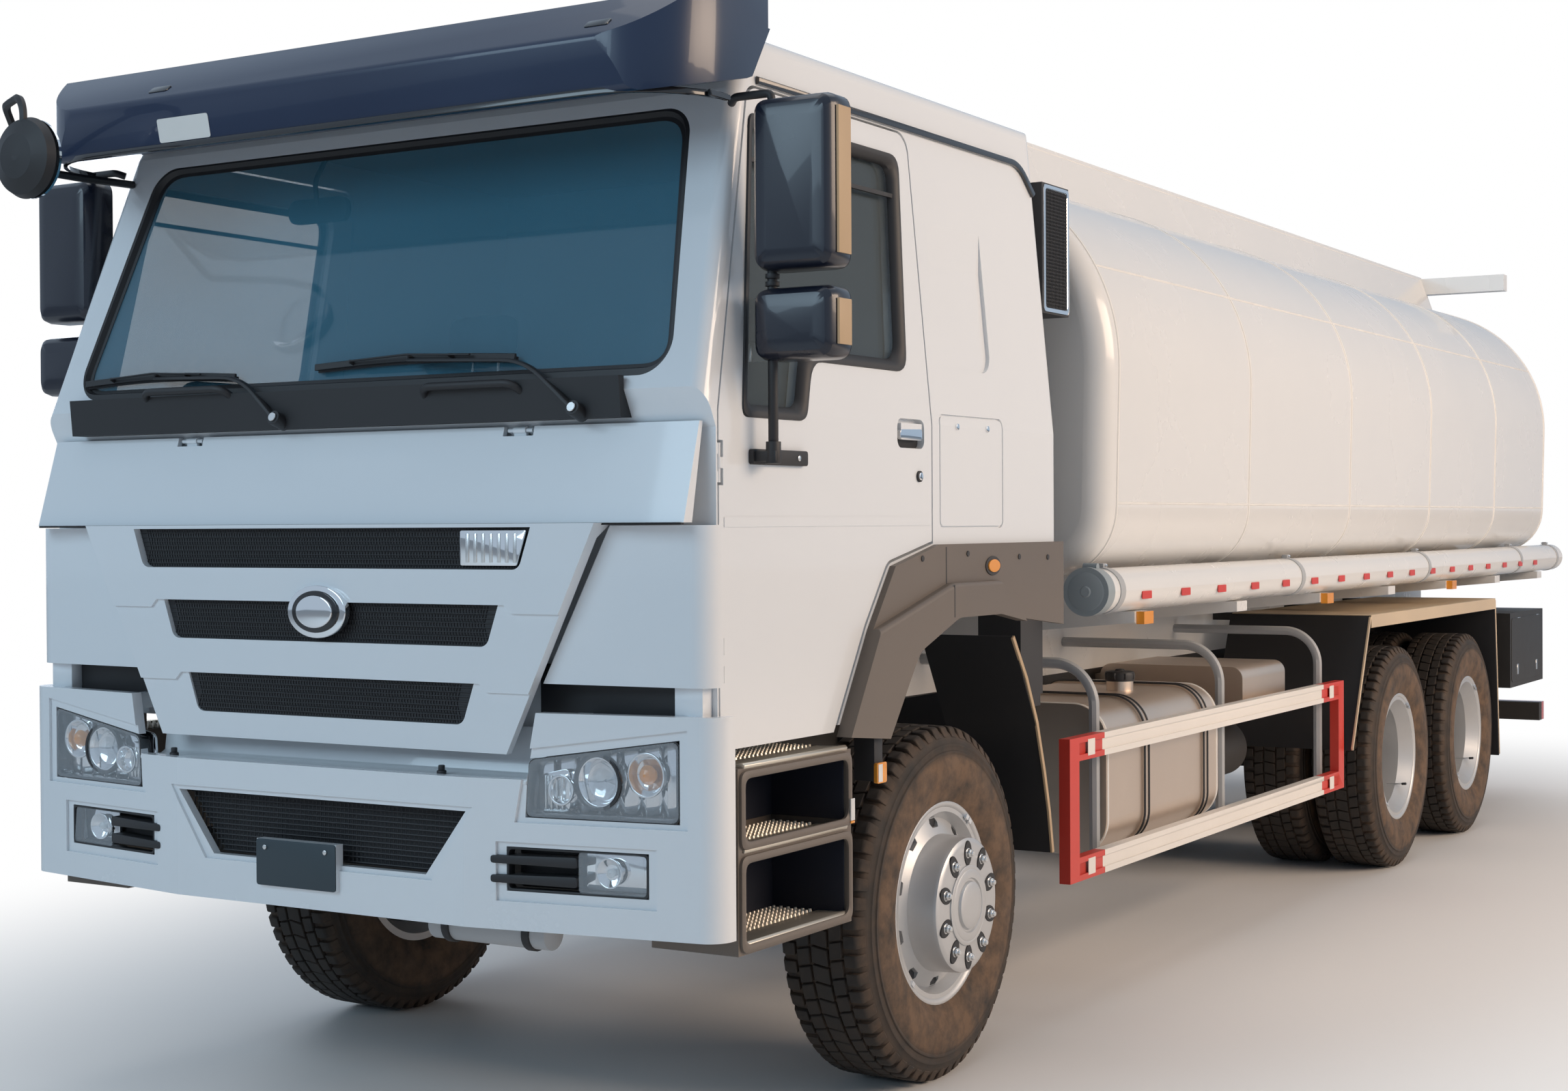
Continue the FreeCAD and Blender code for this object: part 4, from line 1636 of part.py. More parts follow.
frame_wall = S.bumper_frame
LAMP_FRAME = [(S.lamp_inner - frame_wall, S.lamp_low - frame_wall / 2),
              (S.lamp_outer + frame_wall, S.lamp_low - frame_wall / 2),
              (S.lamp_outer + frame_wall, S.lamp_top + frame_wall),
              (S.lamp_inner + S.over / 4, S.lamp_top + frame_wall - S.over * 1.5)]
FOG_FRAME = [(S.fog_inner - frame_wall, S.fog_low - frame_wall),
             (S.fog_outer + frame_wall, S.fog_low - frame_wall),
             (S.fog_outer + frame_wall, S.fog_top + frame_wall / 2),
             (S.fog_inner - frame_wall, S.fog_top + frame_wall / 2)]
node(cut(bumper, fuse([relief("lamp_relief", LAMP_FRAME), relief("fog_relief", FOG_FRAME)],
                      "lamp_reliefs"),
         "stepped_bumper"), "bumper")

lamp_pairs = []
for name, outline in (("headlamp", LAMP), ("fog_lamp", FOG)):
    lamp = body(name)
    pad(lamp, "XY", [
        (S.bumper_half - S.bumper_wall, S.bumper_sweep_y + S.bumper_wall / 2),
        (S.bumper_half - S.bumper_wall, S.bumper_sweep_y + S.bumper_wall),
        (S.intake_half, S.bumper_front + S.bumper_wall),
        (S.intake_half, S.bumper_front + S.bumper_wall / 3)],
        S.bumper_low, S.bumper_top)
    trim(lamp, "XZ", outline, S.bumper_front - S.over, S.bumper_side_y,
         (S.intake_half - S.over, S.bumper_low - S.over),
         (S.bumper_half + S.over, S.bumper_top + S.over))
    lamp_pairs.append(both_sides(lamp, name + "_pair"))
node(group(lamp_pairs, "front_lamp_set"), "front_lamps")

# Steps between bumper and front wheel.

steps = body("step")
wall = S.step_wall
pad(steps, "XZ", [(S.step_inner, S.step_low), (S.step_outer, S.step_low), (S.step_outer, S.step_top),
                  (S.step_inner, S.step_top)],
    S.step_front, S.step_rear)
pocket(steps, "YZ", [(S.step_front + wall, S.step_box_top), (S.step_rear - wall, S.step_box_top),
                     (S.step_rear - wall, S.step_top - wall), (S.step_front + wall, S.step_top - wall)],
       S.step_inner + wall, S.step_outer + S.over)
pocket(steps, "YZ", [(S.step_front + wall, S.step_low + wall), (S.step_rear - wall, S.step_low + wall),
                     (S.step_rear - wall, S.step_box_top - wall),
                     (S.step_front + wall, S.step_box_top - wall)],
       S.step_inner + wall, S.step_outer + S.over)
for station in (S.step_front + wall * 2, S.arch_low_y - wall * 6):
    pad(steps, "XZ", [(S.step_inner, S.step_top), (S.step_inner + wall, S.step_top),
                      (S.step_inner + wall, S.cab_low - S.seat_gap),
                      (S.step_inner, S.cab_low - S.seat_gap)],
        station, station + wall * 2)
node(both_sides(steps, "step_pair"), "steps")

# Wheel arch cladding under the sleeper part.

clad = body("arch_clad")
pad(clad, "YZ", [
    (S.cab_rear, S.clad_rear_low), (S.cab_rear, S.clad_top),
    (S.door_rear + S.panel_gap * 2, S.clad_top),
    (S.sill_brow_y + S.panel_gap * 2, S.sill_brow - S.panel_gap * 2),
    (S.sill_knee_y + S.panel_gap * 2, S.sill_knee - S.panel_gap * 2),
    (S.sill_rear_y + S.panel_gap * 2, S.door_low - S.panel_gap * 2),
    (S.clad_arch_front, S.clad_arch_low),
    (S.clad_arch_knee_y, S.clad_arch_knee, S.over * 3),
    (S.clad_arch_top_y, S.clad_arch_top, S.over * 3),
    (S.cab_rear * 0.3, S.clad_arch_top)],
    S.cab_half + S.seat_gap, S.cab_half + S.clad_wall)
flare_end = S.clad_arch_top - (S.clad_arch_top - S.clad_rear_low) * (S.flare_rear_y / S.cab_rear).number
pad(clad, "YZ", [
    (S.sill_rear_y + S.panel_gap * 2, S.door_low - S.panel_gap * 2),
    (S.clad_arch_front, S.clad_arch_low),
    (S.clad_arch_knee_y, S.clad_arch_knee, S.over * 3),
    (S.clad_arch_top_y, S.clad_arch_top, S.over * 3),
    (S.cab_rear * 0.3, S.clad_arch_top), (S.flare_rear_y, flare_end),
    (S.cab_rear * 0.3, S.clad_arch_top + S.flare_width),
    (S.clad_arch_top_y - S.flare_width / 4, S.clad_arch_top + S.flare_width, S.over * 4),
    (S.sill_knee_y + S.panel_gap * 2, S.sill_knee - S.panel_gap * 2)],
    S.cab_half + S.clad_wall / 2, S.cab_half + S.clad_wall + S.flare_wall)
round_edges(clad, S.flare_wall / 2, lambda middle, direction: (
    abs(middle.x - number_of(S.cab_half + S.clad_wall + S.flare_wall)) < 1
    and middle.z > number_of(S.clad_arch_top + S.flare_width / 2)))
node(both_sides(clad, "arch_cladding_pair"), "arch_cladding")

# Mirrors on the doors.

mirror = body("mirror_left")
back = S.mirror_y + S.mirror_depth / 2
pad(mirror, "XZ", [
    (S.mirror_inner, S.mirror_low, S.mirror_round), (S.mirror_outer, S.mirror_low, S.mirror_round),
    (S.mirror_outer, S.mirror_top, S.mirror_round), (S.mirror_inner, S.mirror_top, S.mirror_round)],
    S.mirror_y - S.mirror_depth / 2, back)
pad(mirror, "XZ", [
    (S.mirror_inner, S.wide_low, S.mirror_round), (S.mirror_outer, S.wide_low, S.mirror_round),
    (S.mirror_outer, S.wide_top, S.mirror_round), (S.mirror_inner, S.wide_top, S.mirror_round)],
    S.mirror_y - S.mirror_depth / 2, back)
arm_x = S.mirror_inner + S.mirror_round
pad_circle(mirror, "XY", arm_x, S.mirror_y, S.mirror_tube, S.mirror_foot, S.mirror_low + S.over)
pad(mirror, "XZ", [(S.cab_half + S.seat_gap, S.mirror_foot - S.mirror_tube * 2),
                   (arm_x + S.mirror_tube, S.mirror_foot - S.mirror_tube * 2),
                   (arm_x + S.mirror_tube, S.mirror_foot + S.mirror_tube),
                   (S.cab_half + S.seat_gap, S.mirror_foot + S.mirror_tube)],
    S.mirror_y - S.mirror_tube, S.window_dip_rear)
node(mirror, "mirror_left")
node(other_side(mirror, "mirror_right"), "mirror_right")

# Front mirror on a bent arm at the right front corner of the cab.

def front_mirror():
    """The dished head on its bent tube, from the pillar out past the visor's end."""
    head = FreeCAD.Vector(value("front_mirror_x"), value("front_mirror_y"), value("front_mirror_z"))
    base = FreeCAD.Vector(value("front_mirror_base_x"), value("front_mirror_base_y"),
                          value("front_mirror_base_z"))
    radius, tube_radius = value("front_mirror_radius"), value("front_mirror_tube")
    out, ahead = head.x - base.x, head.y - base.y
    points = [base, base + FreeCAD.Vector(-out * 0.12, ahead * 0.3, 0),
              base + FreeCAD.Vector(-out * 0.1, ahead * 0.62, 0),
              base + FreeCAD.Vector(out * 0.35, ahead * 0.9, radius * 1.3),
              FreeCAD.Vector(head.x, head.y, head.z + radius * 1.55),
              FreeCAD.Vector(head.x, head.y, head.z + radius * 0.6)]
    arm = tube_along(points, tube_radius, value("front_mirror_bend"), 6)
    depth = value("front_mirror_depth")
    outline = [head + FreeCAD.Vector(radius * share, depth * along, 0)
               for share, along in ((0, -0.5), (0.55, -0.42), (0.92, -0.12), (1, 0.22), (0.94, 0.34),
                                    (0, 0.34))]
    half = Part.Face(Part.makePolygon(outline + outline[:1]))
    bowl = half.revolve(head, FreeCAD.Vector(0, 1, 0), 360)
    shape = bowl.fuse(arm)
    shape.translate(FreeCAD.Vector(0, value("front_axle_y"), 0))
    return shape


mirror_piece = doc.addObject("Part::Feature", "front_mirror")
mirror_piece.Shape = front_mirror()
node(mirror_piece, "front_mirror")

# Inside the cab: dashboard with the steering wheel, two seats and the bunk.

dash = body("dash_panel")
dash_front = S.cab_front_low + S.cab_wall + S.seat_gap
pad(dash, "YZ", [
    (dash_front, S.dash_low), (S.dash_rear - S.over, S.dash_low),
    (S.dash_rear, S.dash_top - S.over * 2),
    (S.dash_rear - S.over * 2, S.dash_top), (dash_front, S.dash_top + S.over / 2)], -S.dash_half,
    S.dash_half)
STEER_RAKE = 35


def raked(name, kind, sizes, down):
    """A primitive on the raked steering column, turned downwards along it or upwards."""
    made = doc.addObject("Part::" + kind, name)
    for prop, size in sizes:
        bind(made, prop, size)
    turn = 180 - STEER_RAKE if down else -STEER_RAKE
    made.Placement = FreeCAD.Placement(FreeCAD.Vector(0, 0, 0),
                                       FreeCAD.Rotation(FreeCAD.Vector(1, 0, 0), turn))
    return made


column_length = (S.wheel_y - S.dash_rear) / math.sin(math.radians(STEER_RAKE)) + S.over
column = raked("steer_column", "Cylinder", (("Radius", S.steer_tube * 1.8), ("Height", column_length)),
               True)
drop = S.steer_tube * 2
move(column, S.wheel_x, S.front_axle_y + S.wheel_y - drop * math.sin(math.radians(STEER_RAKE)),
     S.wheel_z - drop * math.cos(math.radians(STEER_RAKE)))
node(fuse([dash, column], "dash_and_column"), "dashboard")

def facet_prism(name, radius, low, high):
    """A many-sided prism about the steering axis."""
    made = doc.addObject("Part::Prism", name)
    bind(made, "Polygon", S.steer_facets)
    bind(made, "Circumradius", radius)
    bind(made, "Height", high - low)
    made.Placement = FreeCAD.Placement(FreeCAD.Vector(0, 0, 0),
                                       FreeCAD.Rotation(FreeCAD.Vector(1, 0, 0), -STEER_RAKE))
    rise_y, rise_z = math.sin(math.radians(STEER_RAKE)), math.cos(math.radians(STEER_RAKE))
    move(made, S.wheel_x, S.front_axle_y + S.wheel_y + low * rise_y, S.wheel_z + low * rise_z)
    return made


tube = S.steer_tube
ring = cut(fuse([facet_prism("steer_ring", S.steer_radius + tube, -tube * 0.5, tube * 0.5),
                 facet_prism("steer_crown", S.steer_radius + tube * 0.5, -tube, tube)], "steer_rim"),
           facet_prism("steer_bore", S.steer_radius - tube, -tube * 2, tube * 2), "steer_hoop")
hub = raked("steer_hub", "Cylinder", (("Radius", S.steer_tube * 3), ("Height", drop - S.seat_gap)),
            True)
spokes = raked("steer_spokes", "Box", (("Length", S.steer_radius * 2), ("Width", S.steer_tube * 2),
                                       ("Height", S.steer_tube)), False)
for thing, shift in ((hub, 0), (spokes, -S.steer_radius)):
    move(thing, S.wheel_x + shift, S.front_axle_y + S.wheel_y, S.wheel_z)
node(fuse([ring, hub, spokes], "steering"), "steering_wheel")

seat = body("seat")
half = S.seat_width / 2
pad(seat, "YZ", [
    (S.seat_front, S.seat_low), (S.seat_rear, S.seat_low),
    (S.seat_rear + S.seat_back_wall / 2, S.seat_back_top),
    (S.seat_rear - S.seat_back_wall / 2, S.seat_back_top), (S.seat_rear - S.seat_back_wall, S.seat_top),
    (S.seat_front, S.seat_top)], S.seat_x - half, S.seat_x + half)
bunk = box("bunk", (-inner_half + S.over, inner_half - S.over),
           (S.bunk_front + S.seat_back_wall / 2, S.cab_rear - S.cab_wall - S.seat_gap),
           (S.arch_top + S.floor_wall + S.seat_gap, S.bunk_top))
node(group([both_sides(seat, "seat_pair"), bunk], "seats_and_bunk"), "seats")

# Air intake behind the cab's left rear corner.

snorkel = body("air_intake")
pad(snorkel, "XZ", [(S.snorkel_inner, S.snorkel_low), (S.snorkel_outer, S.snorkel_low),
                    (S.snorkel_outer, S.snorkel_top),
                    (S.snorkel_inner, S.snorkel_top)], S.snorkel_front, S.snorkel_rear)
pad(snorkel, "XZ", [(S.duct_inner - S.over, S.duct_low), (S.duct_inner + S.over * 3, S.duct_low),
                    (S.duct_inner + S.over * 3, S.snorkel_low),
                    (S.duct_inner - S.over, S.snorkel_low)], S.snorkel_front + S.over / 2,
                    S.snorkel_rear - S.over / 2)
pad(snorkel, "XZ", [(S.rail_outer + S.seat_gap, S.rail_top - S.rail_height / 2),
                    (S.duct_inner + S.over * 3, S.duct_low - S.over),
                    (S.duct_inner + S.over * 3, S.duct_low + S.over),
                    (S.duct_inner, S.duct_low + S.over),
                    (S.rail_outer + S.seat_gap, S.rail_top - S.rail_wall)],
    S.snorkel_front + S.over, S.snorkel_rear - S.over)
node(snorkel, "air_intake")


def check_and_write():
    """Stops on any failed object, then writes one file for each sub-part."""
    doc.recompute()
    faults = [thing.Name + " " + ",".join(thing.State) for thing in doc.Objects
              if "Invalid" in thing.State or "Error" in thing.State]
    for feature in CUTS:
        before = feature.BaseFeature.Shape.Volume
        if feature.Shape.Volume >= before - 1e-6 * before:
            faults.append(feature.Name + " cuts nothing")
    for thing in NODES:
        if thing.Shape.isNull() or not thing.Shape.isValid() or not thing.Shape.Solids:
            faults.append(thing.Label + " has no valid solid")
    if faults:
        raise RuntimeError("; ".join(faults))
    os.makedirs("parts", exist_ok=True)
    for thing in NODES:
        thing.Shape.exportStep(os.path.join("parts", thing.Label + ".step"))
        print(thing.Label, len(thing.Shape.Solids), "solids")


check_and_write()
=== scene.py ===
# %% [markdown]
# # A tanker truck, dressed for its studio picture
# The truck's frame comes from CAD: axles, wheels, cab shell, doors, tank, bumper.
# This file adds what CAD leaves out: tyre blocks, wheel nuts, lamps, wipers, seams,
# paint and dust. Every piece rides on the CAD body that carries it, so that it
# stays with the cab when the cab tips, and with a door when the door swings.

# %% Load the frame
import json
import math

import bmesh
import bpy
from mathutils import Matrix, Vector


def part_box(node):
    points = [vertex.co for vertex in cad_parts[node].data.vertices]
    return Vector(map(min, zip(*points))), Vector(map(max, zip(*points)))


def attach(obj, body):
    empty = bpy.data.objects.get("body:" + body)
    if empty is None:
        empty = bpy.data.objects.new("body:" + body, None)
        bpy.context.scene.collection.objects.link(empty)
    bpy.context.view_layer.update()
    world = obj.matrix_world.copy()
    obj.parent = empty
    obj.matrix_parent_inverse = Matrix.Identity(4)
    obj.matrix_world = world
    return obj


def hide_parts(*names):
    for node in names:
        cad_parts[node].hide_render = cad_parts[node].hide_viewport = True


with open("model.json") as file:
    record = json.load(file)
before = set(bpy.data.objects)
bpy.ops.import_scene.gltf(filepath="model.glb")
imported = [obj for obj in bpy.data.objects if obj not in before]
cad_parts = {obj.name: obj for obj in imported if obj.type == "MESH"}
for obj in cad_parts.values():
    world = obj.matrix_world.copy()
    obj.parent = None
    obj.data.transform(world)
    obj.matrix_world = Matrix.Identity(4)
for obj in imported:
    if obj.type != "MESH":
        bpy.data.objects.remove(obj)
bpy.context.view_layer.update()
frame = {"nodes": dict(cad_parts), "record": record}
record = frame["record"]
FRONT_AXLE = sum(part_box("front_axle")[i].y for i in (0, 1)) / 2
SIDES = (("left", 1), ("right", -1))
print("front axle at y =", round(FRONT_AXLE, 3), "of", len(frame["nodes"]), "nodes")


def at(x, y, z):
    """A place measured from the front axle's station, as the workshop does."""
    return Vector((x, y + FRONT_AXLE, z))

# %% [markdown]
# ## Camera
# The viewpoint was solved from the picture: wheel centres lie on one straight line,
# tyres touch the ground, and both cab corners are the same height. A position, three
# angles and a focal length are all it takes. The matrix is built from the viewing
# direction, so that each number below keeps its plain meaning.

# %% Camera
EYE = at(4.1928, -6.0117, 1.6980)
HEADING, PITCH, ROLL = 0.5395, -0.0104, -0.0058
LENS_MM = 50.78

forward = Vector((-math.sin(HEADING) * math.cos(PITCH), math.cos(HEADING) * math.cos(PITCH),
    math.sin(PITCH)))
level_right = Vector((math.cos(HEADING), math.sin(HEADING), 0))
level_up = level_right.cross(forward)
right = level_right * math.cos(ROLL) + level_up * math.sin(ROLL)
up = level_up * math.cos(ROLL) - level_right * math.sin(ROLL)
camera_data = bpy.data.cameras.new("camera")
camera_data.lens = LENS_MM
camera_data.sensor_width = 36.0
camera_data.clip_end = 200.0
camera = bpy.data.objects.new("camera", camera_data)
bpy.context.scene.collection.objects.link(camera)
turned = Matrix((right, up, -forward)).transposed().to_4x4()
camera.matrix_world = Matrix.Translation(EYE) @ turned
bpy.context.scene.camera = camera
print("camera looks along", [round(v, 3) for v in forward])

# %% [markdown]
# ## Studio
# White paint needs something to mirror, or it looks like paper. Two large soft lamps
# light the front and the left side, one hangs above, and a weaker one fills in from
# behind. Rays that meet the backdrop straight on or through glass find it white, a
# reflection finds it about half as bright, and all else gets a faint blue sky light.
#
# A world and a finish are networks of nodes. Adding a node, setting its inputs and
# joining its sockets takes a line each, so a few helpers do it in one: an input that
# is given another node's output is joined to it, and any other value is typed in.

# %% Node helpers
def feed(tree, socket, value):
    """A socket is joined to another node's output, or gets a plain value."""
    if hasattr(value, "is_output"):
        tree.links.new(value, socket)
    else:
        socket.default_value = value


def add_node(tree, kind, settings=None, **inputs):
    """A node with its inputs fed by name, where _ stands for a space."""
    made = tree.nodes.new(kind)
    for key, value in (settings or {}).items():
        setattr(made, key, value)
    for label, value in inputs.items():
        feed(tree, made.inputs[label.replace("_", " ")], value)
    return made


def number_node(tree, operation, a, b, clamp=False):
    """The result of a maths node over two sockets or numbers."""
    made = tree.nodes.new("ShaderNodeMath")
    made.operation, made.use_clamp = operation, clamp
    feed(tree, made.inputs[0], a)
    feed(tree, made.inputs[1], b)
    return made.outputs[0]


def vector_node(tree, operation, a, b=None):
    """The result of a vector maths node; SCALE takes a number second, LENGTH nothing."""
    made = tree.nodes.new("ShaderNodeVectorMath")
    made.operation = operation
    feed(tree, made.inputs[0], a)
    if b is not None:
        feed(tree, made.inputs["Scale"] if operation == "SCALE" else made.inputs[1], b)
    return made.outputs["Value" if operation == "LENGTH" else "Vector"]


def colour_mix(tree, factor, a, b):
    """The mix of two colours, each one plain or a socket."""
    full = [c if hasattr(c, "is_output") else tuple(c) + (1,) for c in (a, b)]
    mix = add_node(tree, "ShaderNodeMix", {"data_type": "RGBA"}, Factor=factor, A=full[0], B=full[1])
    return mix.outputs["Result"]


print("node helpers ready")

# %% Floor, world and lamps
def soft_lamp(name, place, target, width, height, watts, colour):
    """A rectangular area lamp at a place, aimed at a target."""
    data = bpy.data.lights.new(name, "AREA")
    data.shape = "RECTANGLE"
    data.size, data.size_y = width, height
    data.energy = watts
    data.color = colour
    lamp = bpy.data.objects.new(name, data)
    bpy.context.scene.collection.objects.link(lamp)
    lamp.location = place
    lamp.rotation_euler = (Vector(target) - Vector(place)).to_track_quat("-Z", "Y").to_euler()


soft_lamp("lamp_front", at(-2.5, -11.0, 6.5), at(0, 0, 1.5), 7.0, 5.0, 400, (0.62, 0.84, 1.0))
soft_lamp("lamp_side", at(12.0, 4.0, 6.0), at(0, 4.6, 1.5), 10.0, 5.0, 1150, (1.0, 0.77, 0.58))
soft_lamp("lamp_top", at(0.0, 3.0, 13.0), at(0, 3.0, 0), 10.0, 14.0, 340, (1.0, 0.95, 0.90))
soft_lamp("lamp_fill", at(-10.0, 9.0, 5.0), at(0, 4.0, 1.5), 8.0, 4.0, 260, (0.92, 0.95, 1.0))

SKY_BLUE, WHITE = (0.66, 0.80, 0.97), (1, 1, 1)
SKY_LIGHT, MIRRORED_SHARE = 0.26, 0.5
world = bpy.data.worlds.new("studio")
bpy.context.scene.world = world
world.use_nodes = True
tree = world.node_tree
rays = tree.nodes.new("ShaderNodeLightPath").outputs
seen = number_node(tree, "MAXIMUM", rays["Is Camera Ray"], rays["Is Transmission Ray"])
mirrored = number_node(tree, "MULTIPLY", rays["Is Glossy Ray"], MIRRORED_SHARE)
strength = add_node(tree, "ShaderNodeMapRange", Value=number_node(tree, "MAXIMUM", seen, mirrored),
    To_Min=SKY_LIGHT, To_Max=1.0)
background = tree.nodes["Background"]
feed(tree, background.inputs["Color"], colour_mix(tree, rays["Is Camera Ray"], SKY_BLUE, WHITE))
feed(tree, background.inputs["Strength"], strength.outputs[0])

FLOOR_HALF = 60
POOL_SHRINK = (0.50, 0.26, 0)
POOL_FROM, POOL_TO = 1.05, 2.30
floor_mesh = bpy.data.meshes.new("floor")
floor_mesh.from_pydata([(x * FLOOR_HALF, y * FLOOR_HALF, 0)
    for x, y in ((-1, -1), (1, -1), (1, 1), (-1, 1))], [], [(0, 1, 2, 3)])
floor = bpy.data.objects.new("floor", floor_mesh)
bpy.context.scene.collection.objects.link(floor)
floor_paint = bpy.data.materials.new("floor_paint")
floor_paint.use_nodes = True
floor_mesh.materials.append(floor_paint)
tree = floor_paint.node_tree
shader = tree.nodes["Principled BSDF"]
shader.inputs["Base Color"].default_value = (0.86, 0.86, 0.86, 1)
shader.inputs["Roughness"].default_value = 0.7
# The floor's own shade shows in an oval pool under the truck, and fades to plain white.
oval = vector_node(tree, "MULTIPLY", tree.nodes.new("ShaderNodeTexCoord").outputs["Object"], POOL_SHRINK)
fade = add_node(tree, "ShaderNodeMapRange", {"interpolation_type": "SMOOTHSTEP"},
    Value=vector_node(tree, "LENGTH", oval), From_Min=POOL_FROM, From_Max=POOL_TO)
camera_ray = tree.nodes.new("ShaderNodeLightPath").outputs["Is Camera Ray"]
blend = add_node(tree, "ShaderNodeMixShader",
    Fac=number_node(tree, "MULTIPLY", fade.outputs[0], camera_ray))
feed(tree, blend.inputs[1], shader.outputs[0])
feed(tree, blend.inputs[2], tree.nodes.new("ShaderNodeEmission").outputs[0])
feed(tree, tree.nodes["Material Output"].inputs["Surface"], blend.outputs[0])
bpy.context.scene.view_settings.view_transform = "Standard"
print("studio ready:", len(bpy.data.lights), "lamps")

# %% [markdown]
# ## Finishes
# One builder makes every painted, moulded or cast finish. A real surface is never one
# flat colour: it drifts a little over a hand's width, its gloss is uneven, and dust
# gathers low down. Object coordinates are metres on the truck here, so the dust line
# is a height above the road.

# %% Finish builder
DUST_FULL = 0.15


def finish(name, colour, rough=0.4, metal=0.0, coat=0.0, drift=0.06, drift_scale=1.6, grain=0.0,
        grain_scale=900.0, dust=0.0, dust_top=1.2, dust_colour=(0.30, 0.245, 0.19), stretch=None):
    """A Principled finish with slow colour drift, uneven gloss, fine grain and road dust."""
    made = bpy.data.materials.new(name)
    made.use_nodes = True
    tree = made.node_tree
    shade = tree.nodes["Principled BSDF"].inputs
    shade["Metallic"].default_value = metal
    shade["Coat Weight"].default_value = coat
    shade["Coat Roughness"].default_value = 0.04
    place = tree.nodes.new("ShaderNodeTexCoord").outputs["Object"]
    slow = add_node(tree, "ShaderNodeTexNoise", Scale=drift_scale, Detail=5.0, Vector=place).outputs["Fac"]
    base = colour_mix(tree, slow, [c * (1 - drift) for c in colour],
        [min(1.0, c * (1 + drift)) for c in colour])
    gloss = add_node(tree, "ShaderNodeMapRange", Value=slow, To_Min=max(0.02, rough * 0.8),
        To_Max=min(1.0, rough * 1.25)).outputs[0]
    if dust:
        height = add_node(tree, "ShaderNodeSeparateXYZ", Vector=place).outputs["Z"]
        low = add_node(tree, "ShaderNodeMapRange", Value=height, From_Min=dust_top, From_Max=DUST_FULL,
            To_Min=0.0, To_Max=dust)
        clump = add_node(tree, "ShaderNodeTexNoise", Scale=9.0, Detail=8.0, Roughness=0.7, Vector=place)
        cover = number_node(tree, "MULTIPLY", low.outputs[0], clump.outputs["Fac"])
        base = colour_mix(tree, cover, base, dust_colour)
        gloss = number_node(tree, "ADD", gloss, cover, clamp=True)
    feed(tree, shade["Base Color"], base)
    feed(tree, shade["Roughness"], gloss)
    if grain:
        if stretch:
            place = add_node(tree, "ShaderNodeMapping", Vector=place, Scale=stretch).outputs[0]
        fine = add_node(tree, "ShaderNodeTexNoise", Scale=grain_scale, Detail=2.0, Vector=place)
        bump = add_node(tree, "ShaderNodeBump", Strength=grain, Distance=0.001, Height=fine.outputs["Fac"])
        feed(tree, shade["Normal"], bump.outputs[0])
    return made


cab_white = finish("cab_white", (0.80, 0.83, 0.86), rough=0.22, coat=0.6, drift=0.015, grain=0.02,
    grain_scale=120, dust=0.14, dust_top=1.3)
tank_white = finish("tank_white", (0.80, 0.80, 0.79), rough=0.26, coat=0.45, drift=0.02, grain=0.03,
    grain_scale=60, dust=0.1, dust_top=1.7)
navy_gloss = finish("navy_gloss", (0.006, 0.020, 0.060), rough=0.30, coat=0.35, drift=0.1)
black_moulding = finish("black_moulding", (0.018, 0.018, 0.020), rough=0.5, drift=0.15, grain=0.25,
    grain_scale=1400)
black_gloss = finish("black_gloss", (0.010, 0.010, 0.012), rough=0.15, coat=0.5, drift=0.1)
grey_cladding = finish("grey_cladding", (0.15, 0.125, 0.105), rough=0.42, drift=0.08, grain=0.3,
    grain_scale=1100, dust=0.25, dust_top=1.6)
chassis_black = finish("chassis_black", (0.020, 0.019, 0.018), rough=0.48, drift=0.2, grain=0.15,
    grain_scale=300, dust=0.30, dust_top=1.3, dust_colour=(0.11, 0.09, 0.07))
wheel_silver = finish("wheel_silver", (0.56, 0.57, 0.58), rough=0.3, metal=0.55, coat=0.2, drift=0.05,
    dust=0.35, dust_top=1.1, dust_colour=(0.36, 0.32, 0.27))
bright_steel = finish("bright_steel", (0.72, 0.72, 0.71), rough=0.24, metal=1.0, drift=0.04, grain=0.05)
brushed_sheet = finish("brushed_sheet", (0.70, 0.58, 0.48), rough=0.34, metal=0.9, drift=0.06, grain=0.12,
    grain_scale=40, stretch=(1.0, 30.0, 1.0), dust=0.15)
spring_steel = finish("spring_steel", (0.07, 0.06, 0.05), rough=0.55, metal=0.5, drift=0.25, dust=0.4)
rough_casting = finish("rough_casting", (0.11, 0.11, 0.11), rough=0.62, metal=0.3, drift=0.2, grain=0.5,
    grain_scale=260)
chrome = finish("chrome", (0.86, 0.87, 0.88), rough=0.06, metal=1.0, drift=0.01)
dark_trim = finish("dark_trim", (0.035, 0.036, 0.040), rough=0.6, drift=0.1, grain=0.4, grain_scale=1500)
navy_black = finish("navy_black", (0.0085, 0.012, 0.024), rough=0.28, coat=0.3, drift=0.15, grain=0.02)
# This tan on the outer edges of dark mouldings is a painted highlight.
tan_edge = finish("tan_edge", (0.50, 0.36, 0.22), rough=0.45, drift=0.1)
hoop_grey = finish("hoop_grey", (0.42, 0.44, 0.46), rough=0.4, drift=0.08, dust=0.2)
guard_red = finish("guard_red", (0.62, 0.045, 0.030), rough=0.35, drift=0.10, dust=0.15)
guard_white = finish("guard_white", (0.82, 0.79, 0.75), rough=0.35, drift=0.06, dust=0.15)
seat_cloth = finish("seat_cloth", (0.055, 0.058, 0.066), rough=0.9, drift=0.2, drift_scale=9, grain=0.5,
    grain_scale=1400)
seat_edge = finish("seat_edge", (0.16, 0.15, 0.15), rough=0.8, drift=0.2, drift_scale=9, grain=0.4,
    grain_scale=1400)
sheet_weld = finish("sheet_weld", (0.80, 0.79, 0.77), rough=0.45, drift=0.12, drift_scale=8)
# Pale top plates; where this colour runs down the flaps' edges it is a painted highlight.
tan_plate = finish("tan_plate", (0.66, 0.52, 0.36), rough=0.45, metal=0.2, drift=0.12, dust=0.1)
